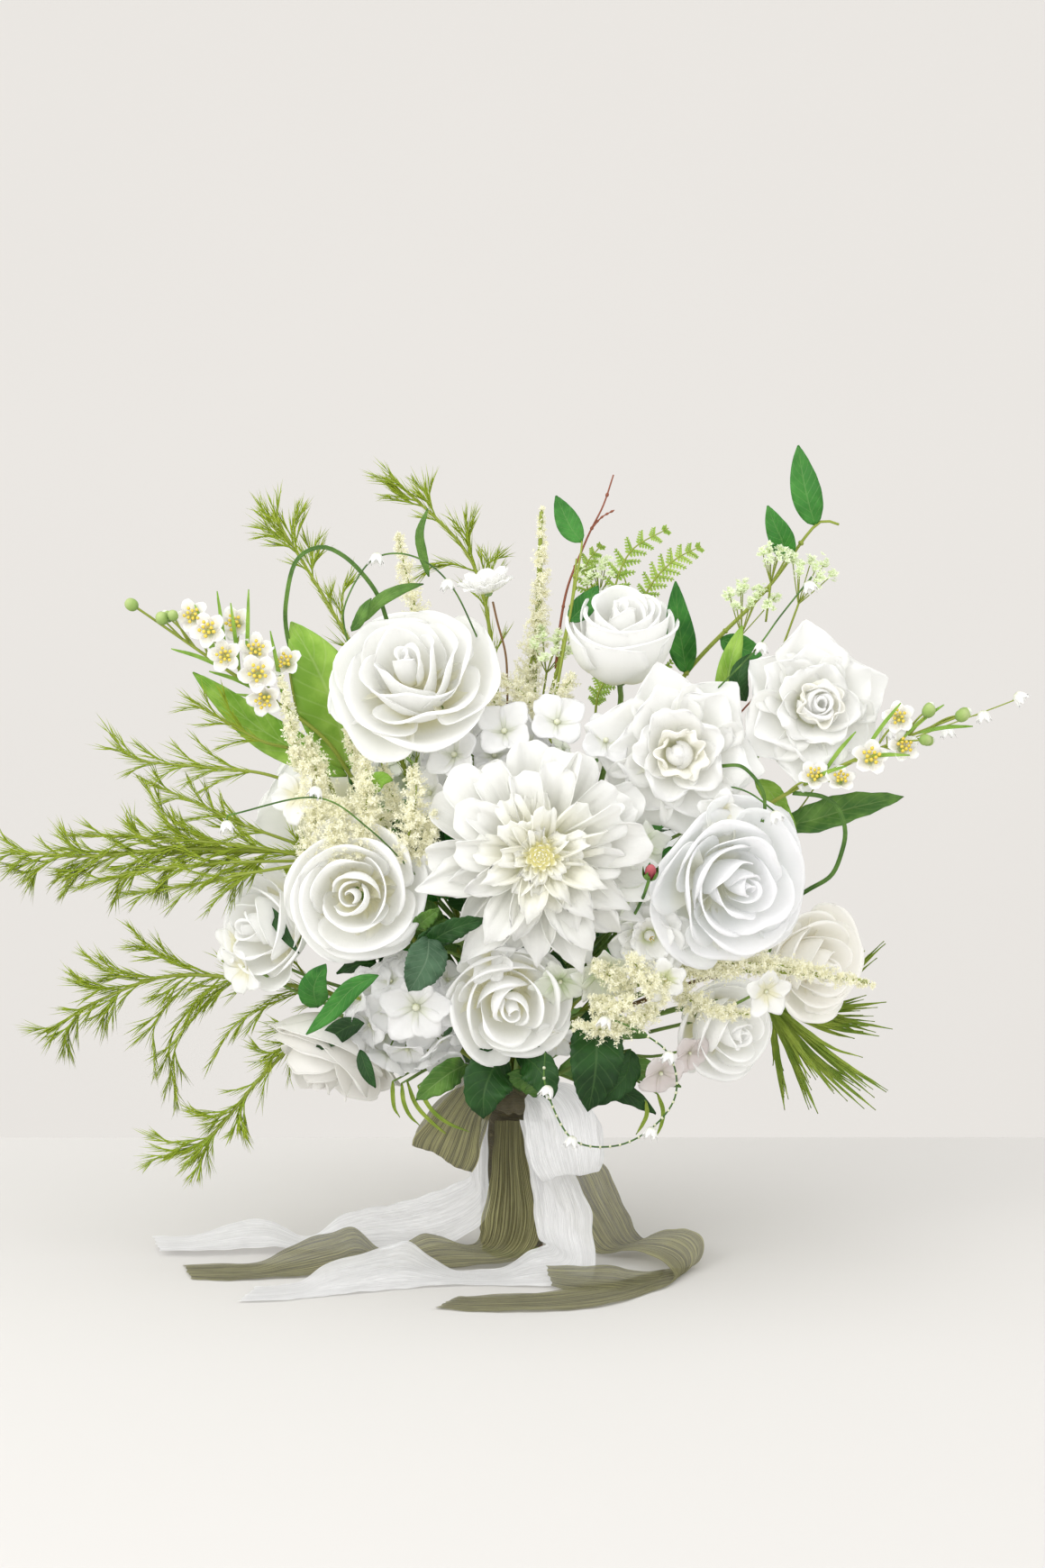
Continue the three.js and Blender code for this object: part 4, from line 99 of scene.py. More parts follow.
BLADES = {
 "spray_left_upper": [
  {"p":[[-271.6,-25.0,250.6],[-283.7,-20.9,241.1],[-295.9,-16.9,239.7]],"w":[1.4400000000000002,1.8,0.9],"t":1.2,"f":[0,-1,0.1]},
  {"p":[[-254.9,-27.1,250.1],[-270.6,-26.6,239.3],[-286.3,-26.2,236.6]],"w":[1.4400000000000002,1.8,0.9],"t":1.2,"f":[0,-1,0.1]},
  {"p":[[-239.3,-28.6,251.0],[-253.3,-25.1,234.4],[-267.2,-21.6,225.8]],"w":[1.4400000000000002,1.8,0.9],"t":1.2,"f":[0,-1,0.1]},
  {"p":[[-223.2,-30.0,252.6],[-244.1,-30.4,261.5],[-265.1,-30.8,262.5]],"w":[1.4400000000000002,1.8,0.9],"t":1.2,"f":[0,-1,0.1]},
  {"p":[[-201.7,-31.8,254.7],[-214.5,-27.5,265.1],[-227.3,-23.1,267.5]],"w":[1.4400000000000002,1.8,0.9],"t":1.2,"f":[0,-1,0.1]},
  {"p":[[-178.3,-32.9,254.5],[-192.1,-34.2,269.1],[-205.9,-35.4,275.8]],"w":[1.4400000000000002,1.8,0.9],"t":1.2,"f":[0,-1,0.1]},
  {"p":[[-207.1,-31.4,254.1],[-221.0,-32.6,235.9],[-235.0,-33.9,225.6]],"w":[1.4400000000000002,1.8,0.9],"t":1.2,"f":[0,-1,0.1]},
  {"p":[[-181.9,-32.8,254.6],[-196.2,-27.2,236.8],[-210.4,-21.6,226.9]],"w":[1.4400000000000002,1.8,0.9],"t":1.2,"f":[0,-1,0.1]},
  {"p":[[-142.4,-34.1,253.1],[-154.6,-34.0,235.4],[-166.8,-33.9,225.6]],"w":[1.4400000000000002,1.8,0.9],"t":1.2,"f":[0,-1,0.1]},
 ],
 "spray_left_middle": [
  {"p":[[-245.6,-24.5,161.8],[-257.5,-20.7,141.7],[-269.5,-16.9,129.6]],"w":[1.4400000000000002,1.8,0.9],"t":1.2,"f":[0,-1,0.1]},
  {"p":[[-241.6,-24.3,163.5],[-250.5,-26.8,172.7],[-259.3,-29.3,173.8]],"w":[1.4400000000000002,1.8,0.9],"t":1.2,"f":[0,-1,0.1]},
  {"p":[[-225.7,-22.2,168.1],[-240.0,-20.3,182.0],[-254.3,-18.5,187.9]],"w":[1.4400000000000002,1.8,0.9],"t":1.2,"f":[0,-1,0.1]},
  {"p":[[-216.7,-20.9,170.6],[-230.3,-25.9,156.6],[-244.0,-30.8,150.5]],"w":[1.4400000000000002,1.8,0.9],"t":1.2,"f":[0,-1,0.1]},
  {"p":[[-198.5,-18.5,175.8],[-212.6,-20.8,194.6],[-226.7,-23.1,205.4]],"w":[1.4400000000000002,1.8,0.9],"t":1.2,"f":[0,-1,0.1]},
  {"p":[[-183.8,-16.6,173.8],[-195.8,-23.7,164.5],[-207.9,-30.8,163.2]],"w":[1.4400000000000002,1.8,0.9],"t":1.2,"f":[0,-1,0.1]},
  {"p":[[-161.6,-13.8,170.9],[-178.5,-18.5,155.0],[-195.3,-23.1,147.1]],"w":[1.4400000000000002,1.8,0.9],"t":1.2,"f":[0,-1,0.1]},
  {"p":[[-146.9,-12.0,168.9],[-173.9,-19.9,130.8],[-201.0,-27.7,100.6]],"w":[1.4400000000000002,1.8,0.9],"t":1.2,"f":[0,-1,0.1]},
 ],
 "spray_left_lower": [
  {"p":[[-143.8,-7.8,118.4],[-180.6,-15.5,93.8],[-217.3,-23.1,77.2]],"w":[1.4400000000000002,1.8,0.9],"t":1.2,"f":[0,-1,0.1]},
  {"p":[[-143.8,-7.8,118.4],[-166.8,-10.1,99.6],[-189.8,-12.3,88.9]],"w":[1.4400000000000002,1.8,0.9],"t":1.2,"f":[0,-1,0.1]},
  {"p":[[-143.8,-7.8,118.4],[-165.9,-14.7,82.4],[-188.0,-21.6,54.5]],"w":[1.4400000000000002,1.8,0.9],"t":1.2,"f":[0,-1,0.1]},
  {"p":[[-143.8,-7.8,118.4],[-154.2,-13.2,96.5],[-164.6,-18.5,82.7]],"w":[1.4400000000000002,1.8,0.9],"t":1.2,"f":[0,-1,0.1]},
  {"p":[[-143.8,-7.8,118.4],[-149.2,-7.0,126.7],[-154.5,-6.2,127.0]],"w":[1.4400000000000002,1.8,0.9],"t":1.2,"f":[0,-1,0.1]},
  {"p":[[-134.9,-6.2,127.2],[-141.4,-1.1,135.2],[-148.0,4.0,135.2]],"w":[1.4400000000000002,1.8,0.9],"t":1.2,"f":[0,-1,0.1]},
 ],
 "spray_top_left": [
  {"p":[[-132.6,-2.2,435.8],[-140.4,1.9,446.0],[-148.1,6.0,448.2]],"w":[1.4400000000000002,1.8,0.9],"t":1.2,"f":[0,-1,0.1]},
  {"p":[[-125.9,-3.7,425.2],[-126.5,-5.7,443.4],[-127.1,-7.7,453.5]],"w":[1.4400000000000002,1.8,0.9],"t":1.2,"f":[0,-1,0.1]},
  {"p":[[-119.3,-5.3,414.7],[-130.9,-7.3,430.5],[-142.6,-9.2,438.2]],"w":[1.4400000000000002,1.8,0.9],"t":1.2,"f":[0,-1,0.1]},
  {"p":[[-111.5,-6.4,401.6],[-113.6,-1.2,421.2],[-115.6,4.0,432.9]],"w":[1.4400000000000002,1.8,0.9],"t":1.2,"f":[0,-1,0.1]},
  {"p":[[-103.9,-6.9,387.9],[-100.3,0.6,404.0],[-96.7,8.0,412.0]],"w":[1.4400000000000002,1.8,0.9],"t":1.2,"f":[0,-1,0.1]},
 ],
 "spray_top": [
  {"p":[[-58.6,12.8,457.2],[-66.3,10.4,462.2],[-74.0,8.0,459.2]],"w":[1.4400000000000002,1.8,0.9],"t":1.2,"f":[0,-1,0.1]},
  {"p":[[-46.6,11.8,444.8],[-48.9,15.9,458.3],[-51.3,20.0,463.8]],"w":[1.4400000000000002,1.8,0.9],"t":1.2,"f":[0,-1,0.1]},
  {"p":[[-37.0,11.0,434.9],[-32.3,8.5,445.3],[-27.6,6.0,447.7]],"w":[1.4400000000000002,1.8,0.9],"t":1.2,"f":[0,-1,0.1]},
  {"p":[[-27.4,10.2,425.0],[-18.5,14.1,420.3],[-9.5,18.0,423.7]],"w":[1.4400000000000002,1.8,0.9],"t":1.2,"f":[0,-1,0.1]},
  {"p":[[-32.2,10.6,429.9],[-42.5,7.3,420.4],[-52.7,4.0,418.9]],"w":[1.4400000000000002,1.8,0.9],"t":1.2,"f":[0,-1,0.1]},
 ],
 "spray_back": [
  {"p":[[-112.0,122.0,190.0],[-145.0,136.0,218.0],[-178.0,150.0,240.0]],"w":[1.5,1.8,0.9],"t":1.2,"f":[0,0.8,0.4]},
  {"p":[[-120.0,124.4,193.3],[-154.0,123.2,202.2],[-188.0,122.0,205.0]],"w":[1.5,1.8,0.9],"t":1.2,"f":[0,0.8,0.4]},
  {"p":[[-127.9,126.8,196.6],[-149.0,137.4,194.3],[-170.0,148.0,186.0]],"w":[1.5,1.8,0.9],"t":1.2,"f":[0,0.8,0.4]},
  {"p":[[-135.8,129.2,199.9],[-141.9,120.6,212.0],[-148.0,112.0,218.0]],"w":[1.5,1.8,0.9],"t":1.2,"f":[0,0.8,0.4]},
  {"p":[[-143.8,131.6,203.2],[-134.9,137.8,190.6],[-126.0,144.0,172.0]],"w":[1.5,1.8,0.9],"t":1.2,"f":[0,0.8,0.4]},
  {"p":[[-151.8,134.0,206.5],[-173.9,138.0,219.2],[-196.0,142.0,226.0]],"w":[1.5,1.8,0.9],"t":1.2,"f":[0,0.8,0.4]},
 ],
 "ruscus_right": [
  {"p":[[179.2,2.0,443.3],[174.6,0.0,458.0],[170.8,2.0,475.9],[168.7,4.0,490.6]],"w":[2,17,12,1.2],"t":1.0,"f":[0,-1,0.15]},
  {"p":[[163.2,0.9,422.2],[159.3,-3.1,434.8],[154.3,-4.6,445.7],[150.5,-4.6,455.8]],"w":[2,14,11,1.2],"t":1.0,"f":[0,-1,0.15]},
  {"p":[[103.7,-1.4,355.4],[100.4,-9.2,373.9],[97.5,-12.3,393.2],[96.2,-13.9,412.1]],"w":[2,15,12,1.2],"t":1.0,"f":[0,-1,0.15]},
  {"p":[[123.3,-0.8,376.2],[131.8,2.0,371.8],[141.2,6.0,367.9],[151.1,10.0,366.3]],"w":[2,14,11,1.2],"t":1.0,"f":[0,-1,0.15]},
 ],
 "ruscus_top": [
  {"p":[[40.8,-23.2,436.4],[34.5,-21.6,444.5],[29.8,-20.0,453.8],[25.6,-18.5,463.2]],"w":[2,14,10,1.2],"t":1.0,"f":[0,-1,0.15]},
  {"p":[[33.3,-26.8,390.0],[40.4,-23.1,396.8],[45.8,-20.0,402.8],[50.6,-16.9,409.8]],"w":[2,11,9,1.2],"t":1.0,"f":[0,-1,0.15]},
 ],
 "broad_leaves_left": [
  {"p":[[-97.8,-23.1,300.3],[-102.8,-26.2,330.8],[-114.7,-27.7,362.1],[-129.9,-26.2,389.7]],"w":[4,22,20,1.4],"t":1.1,"f":[0,-1,0.2]},
  {"p":[[-97.8,-23.1,297.3],[-122.1,-16.9,308.7],[-151.3,-15.4,325.8],[-189.0,-12.3,357.7]],"w":[4,15,13,1.4],"t":1.1,"f":[0,-1,0.2]},
 ],
 "broad_leaf_right": [
  {"p":[[153.5,-27.1,268.1],[173.7,-30.8,271.1],[200.1,-32.3,279.5],[231.1,-29.3,286.0]],"w":[4,24,19,1.4],"t":1.1,"f":[0.1,-0.8,0.6]},
 ],
 "palm_grass_right": [
  {"p":[[155.2,-0.3,154.4],[198.5,36.0,159.2],[226.6,28.0,185.1]],"w":[1.6,4.2,0.9],"t":0.9,"f":[0.1,-0.9,0.4]},
  {"p":[[154.1,-0.4,154.9],[192.6,28.0,145.3],[227.0,20.0,150.5]],"w":[1.6,4.2,0.9],"t":0.9,"f":[0.1,-0.9,0.4]},
  {"p":[[153.1,-0.6,155.5],[195.7,32.0,137.6],[231.6,26.0,132.2]],"w":[1.6,4.2,0.9],"t":0.9,"f":[0.1,-0.9,0.4]},
  {"p":[[152.0,-0.7,156.1],[189.4,20.0,135.9],[221.9,8.0,132.0]],"w":[1.6,4.2,0.9],"t":0.9,"f":[0.1,-0.9,0.4]},
  {"p":[[155.2,-0.3,154.4],[188.3,2.0,125.0],[226.1,0.0,99.2]],"w":[1.6,4.2,0.9],"t":0.9,"f":[0.1,-0.9,0.4]},
  {"p":[[154.1,-0.4,154.9],[183.5,10.0,117.5],[220.6,10.0,85.5]],"w":[1.6,4.2,0.9],"t":0.9,"f":[0.1,-0.9,0.4]},
  {"p":[[153.1,-0.6,155.5],[173.3,-3.8,126.4],[194.1,-6.2,99.7]],"w":[1.6,4.2,0.9],"t":0.9,"f":[0.1,-0.9,0.4]},
  {"p":[[152.0,-0.7,156.1],[169.5,4.0,119.0],[185.0,2.0,85.3]],"w":[1.6,4.2,0.9],"t":0.9,"f":[0.1,-0.9,0.4]},
  {"p":[[155.2,-0.3,154.4],[159.9,8.0,119.7],[165.3,10.0,85.5]],"w":[1.6,4.2,0.9],"t":0.9,"f":[0.1,-0.9,0.4]},
 ],
 "wax_flowers_left": [
  {"p":[[-200.5,-36.2,386.1],[-193.5,-38.1,390.4],[-186.5,-40.0,394.8]],"w":[1.1,1.1,1.1],"t":1.1,"f":[0,-1,0]},
  {"p":[[-181.5,-37.6,373.0],[-179.1,-41.9,380.1],[-176.7,-46.2,387.2]],"w":[1.1,1.1,1.1],"t":1.1,"f":[0,-1,0]},
  {"p":[[-168.0,-38.5,363.7],[-164.8,-36.2,376.7],[-161.7,-33.9,389.7]],"w":[1.1,1.1,1.1],"t":1.1,"f":[0,-1,0]},
  {"p":[[-162.7,-38.1,359.9],[-164.9,-44.5,366.5],[-167.1,-50.8,373.0]],"w":[1.1,1.1,1.1],"t":1.1,"f":[0,-1,0]},
  {"p":[[-146.7,-37.0,348.5],[-148.2,-39.3,361.7],[-149.8,-41.6,374.8]],"w":[1.1,1.1,1.1],"t":1.1,"f":[0,-1,0]},
  {"p":[[-141.4,-36.6,344.7],[-144.8,-43.7,353.5],[-148.3,-50.8,362.4]],"w":[1.1,1.1,1.1],"t":1.1,"f":[0,-1,0]},
  {"p":[[-125.4,-35.5,333.3],[-128.8,-36.2,350.0],[-132.2,-37.0,366.7]],"w":[1.1,1.1,1.1],"t":1.1,"f":[0,-1,0]},
  {"p":[[-128.0,-35.7,335.2],[-136.1,-43.2,341.6],[-144.2,-50.8,348.1]],"w":[1.1,1.1,1.1],"t":1.1,"f":[0,-1,0]},
  {"p":[[-214.0,-35.3,395.4],[-208.0,-33.0,394.5],[-202.0,-30.8,393.5]],"w":[1.1,1.1,1.1],"t":1.1,"f":[0,-1,0]},
 ],
 "wax_flowers_right": [
  {"p":[[231.2,-55.0,326.0],[228.2,-56.0,331.7],[225.3,-57.0,337.3]],"w":[1.1,1.1,1.1],"t":1.1,"f":[0,-1,0]},
  {"p":[[228.3,-55.4,324.9],[227.9,-57.7,322.6],[227.4,-60.1,320.3]],"w":[1.1,1.1,1.1],"t":1.1,"f":[0,-1,0]},
  {"p":[[208.4,-58.1,316.9],[208.3,-61.4,315.8],[208.2,-64.7,314.7]],"w":[1.1,1.1,1.1],"t":1.1,"f":[0,-1,0]},
  {"p":[[177.1,-52.0,299.9],[176.6,-56.0,301.6],[176.2,-60.1,303.3]],"w":[1.1,1.1,1.1],"t":1.1,"f":[0,-1,0]},
  {"p":[[191.3,-55.3,307.8],[191.2,-60.0,304.9],[191.1,-64.7,301.9]],"w":[1.1,1.1,1.1],"t":1.1,"f":[0,-1,0]},
  {"p":[[251.2,-52.3,334.0],[247.3,-50.0,337.8],[243.4,-47.7,341.7]],"w":[1.1,1.1,1.1],"t":1.1,"f":[0,-1,0]},
  {"p":[[254.0,-52.0,335.1],[248.5,-50.6,328.9],[243.0,-49.3,322.8]],"w":[1.1,1.1,1.1],"t":1.1,"f":[0,-1,0]},
  {"p":[[262.6,-50.8,338.5],[263.1,-50.8,338.8],[263.7,-50.8,339.0]],"w":[1.1,1.1,1.1],"t":1.1,"f":[0,-1,0]},
 ],
 "freesia_right": [
  {"p":[[79.2,-73.3,204.9],[84.0,-79.8,196.8],[88.8,-86.2,188.7]],"w":[1.4,1.4,1.4],"t":1.4,"f":[0,-1,0]},
 ],
 "lily_of_the_valley_right": [
  {"p":[[278.8,-16.0,334.3],[278.8,-16.5,332.9],[278.9,-16.9,331.4]],"w":[1.1,1.1,1.1],"t":1.1,"f":[0,-1,0]},
  {"p":[[258.0,-16.6,326.1],[257.8,-16.8,324.2],[257.7,-16.9,322.3]],"w":[1.1,1.1,1.1],"t":1.1,"f":[0,-1,0]},
  {"p":[[221.5,-17.7,311.7],[221.8,-13.5,315.5],[222.1,-9.2,319.4]],"w":[1.1,1.1,1.1],"t":1.1,"f":[0,-1,0]},
 ],
 "fern_top_right": [
  {"p":[[89.9,22.8,348.0],[98.8,24.4,352.6],[107.7,26.0,354.1]],"w":[2,6.5,1],"t":0.9,"f":[0,-0.9,0.4]},
  {"p":[[85.3,23.8,358.8],[79.1,22.9,358.3],[73.0,22.0,354.7]],"w":[2,6.5,1],"t":0.9,"f":[0,-0.9,0.4]},
  {"p":[[80.6,24.8,369.6],[89.8,26.4,374.7],[99.0,28.0,376.8]],"w":[2,6.5,1],"t":0.9,"f":[0,-0.9,0.4]},
  {"p":[[77.0,25.6,378.2],[70.1,25.8,378.0],[63.3,26.0,374.9]],"w":[2,6.5,1],"t":0.9,"f":[0,-0.9,0.4]},
  {"p":[[73.6,26.0,387.4],[82.0,28.0,393.3],[90.3,30.0,396.1]],"w":[2,6.5,1],"t":0.9,"f":[0,-0.9,0.4]},
  {"p":[[70.7,26.0,397.2],[63.7,26.0,397.3],[56.7,26.0,394.5]],"w":[2,6.5,1],"t":0.9,"f":[0,-0.9,0.4]},
  {"p":[[67.3,26.0,408.6],[74.9,27.0,413.8],[82.6,28.0,415.9]],"w":[2,6.5,1],"t":0.9,"f":[0,-0.9,0.4]},
  {"p":[[65.8,26.0,413.5],[59.6,26.0,413.1],[53.5,26.0,409.7]],"w":[2,6.5,1],"t":0.9,"f":[0,-0.9,0.4]},
  {"p":[[65.3,26.0,415.1],[63.7,26.0,423.1],[62.0,26.0,428.1]],"w":[2,6.5,1],"t":0.9,"f":[0,-0.9,0.4]},
 ],
}
PLUMES = {
 "astilbe_top": [
  {"p":[[11.4,-6.2,330.3],[8.2,-9.2,345.9],[13.0,-7.7,373.7],[16.7,-6.2,400.9],[17.2,-4.6,429.7],[17.2,-3.1,453.0]],"r":[9,12,9,6.5,4.5,1.2]},
 ],
 "astilbe_left": [
  {"p":[[-101.0,-48.6,273.9],[-117.7,-55.4,292.8],[-125.4,-55.4,316.9],[-130.5,-53.9,340.6],[-134.6,-52.4,360.5]],"r":[4,6.5,6,4.5,1.2]},
  {"p":[[-101.0,-48.6,273.9],[-86.8,-49.3,299.8],[-93.1,-47.7,315.6],[-96.7,-46.2,330.8]],"r":[4,7,5,1.2]},
  {"p":[[-98.5,-47.2,265.1],[-69.7,-61.6,283.3],[-73.8,-61.6,301.4],[-77.4,-60.1,317.1]],"r":[4,6.5,5,1.2]},
 ],
 "astilbe_right": [
  {"p":[[86.9,-47.7,177.9],[103.9,-60.1,190.5],[132.9,-63.1,192.7],[159.5,-60.1,190.5],[188.9,-57.0,183.3],[212.0,-53.9,178.2]],"r":[8,12,8.5,7,5,1.2]},
  {"p":[[95.2,-53.9,178.2],[109.3,-63.1,167.3],[125.0,-66.2,164.8],[139.3,-66.2,162.6]],"r":[7,8,6,1.2]},
 ],
 "astilbe_back": [
  {"p":[[-47.0,44.0,342.0],[-54.0,57.0,366.0],[-60.0,68.0,388.0],[-66.0,76.0,410.0],[-70.0,82.0,430.0]],"r":[6,9,8,5.5,1.2]},
 ],
}
BLOOMS = {
 "wax_flowers_left": [
  {"c":[-186.5,-40.0,394.8],"f":[0,-0.9,0.4],"r":8.5},
  {"c":[-176.7,-46.2,387.2],"f":[0,-0.9,0.4],"r":8.5},
  {"c":[-161.7,-33.9,389.7],"f":[0,-0.9,0.4],"r":8.5},
  {"c":[-167.1,-50.8,373.0],"f":[0,-0.9,0.4],"r":8.5},
  {"c":[-149.8,-41.6,374.8],"f":[0,-0.9,0.4],"r":9},
  {"c":[-148.3,-50.8,362.4],"f":[0,-0.9,0.4],"r":9},
  {"c":[-132.2,-37.0,366.7],"f":[0,-0.9,0.4],"r":8.5},
  {"c":[-144.2,-50.8,348.1],"f":[0,-0.9,0.4],"r":8.5},
  {"c":[-202.0,-30.8,393.5],"f":[0,-0.9,0.4],"r":3.5},
 ],
 "wax_flowers_right": [
  {"c":[225.3,-57.0,337.3],"f":[0,-0.9,0.4],"r":8.5},
  {"c":[227.4,-60.1,320.3],"f":[0,-0.9,0.4],"r":8},
  {"c":[208.2,-64.7,314.7],"f":[0,-0.9,0.4],"r":8.5},
  {"c":[176.2,-60.1,303.3],"f":[0,-0.9,0.4],"r":8},
  {"c":[191.1,-64.7,301.9],"f":[0,-0.9,0.4],"r":7},
  {"c":[243.4,-47.7,341.7],"f":[0,-0.9,0.4],"r":3.5},
  {"c":[243.0,-49.3,322.8],"f":[0,-0.9,0.4],"r":3.5},
  {"c":[263.7,-50.8,339.0],"f":[0,-0.9,0.4],"r":4},
 ],
 "freesia_right": [
  {"c":[80.6,-77.0,211.4],"f":[0.1,-0.98,0.05],"r":20},
  {"c":[88.8,-86.2,188.7],"f":[0.2,-0.95,-0.15],"r":12},
 ],
 "lily_of_the_valley_right": [
  {"c":[300.6,-15.4,342.5],"f":[0.75,-0.2,-0.6],"r":4.2},
  {"c":[278.9,-16.9,331.4],"f":[0.1,-0.2,-0.9],"r":4.0},
  {"c":[257.7,-16.9,322.3],"f":[0.1,-0.2,-0.9],"r":4.0},
  {"c":[222.1,-9.2,319.4],"f":[0.1,-0.2,-0.9],"r":4.0},
 ],
}
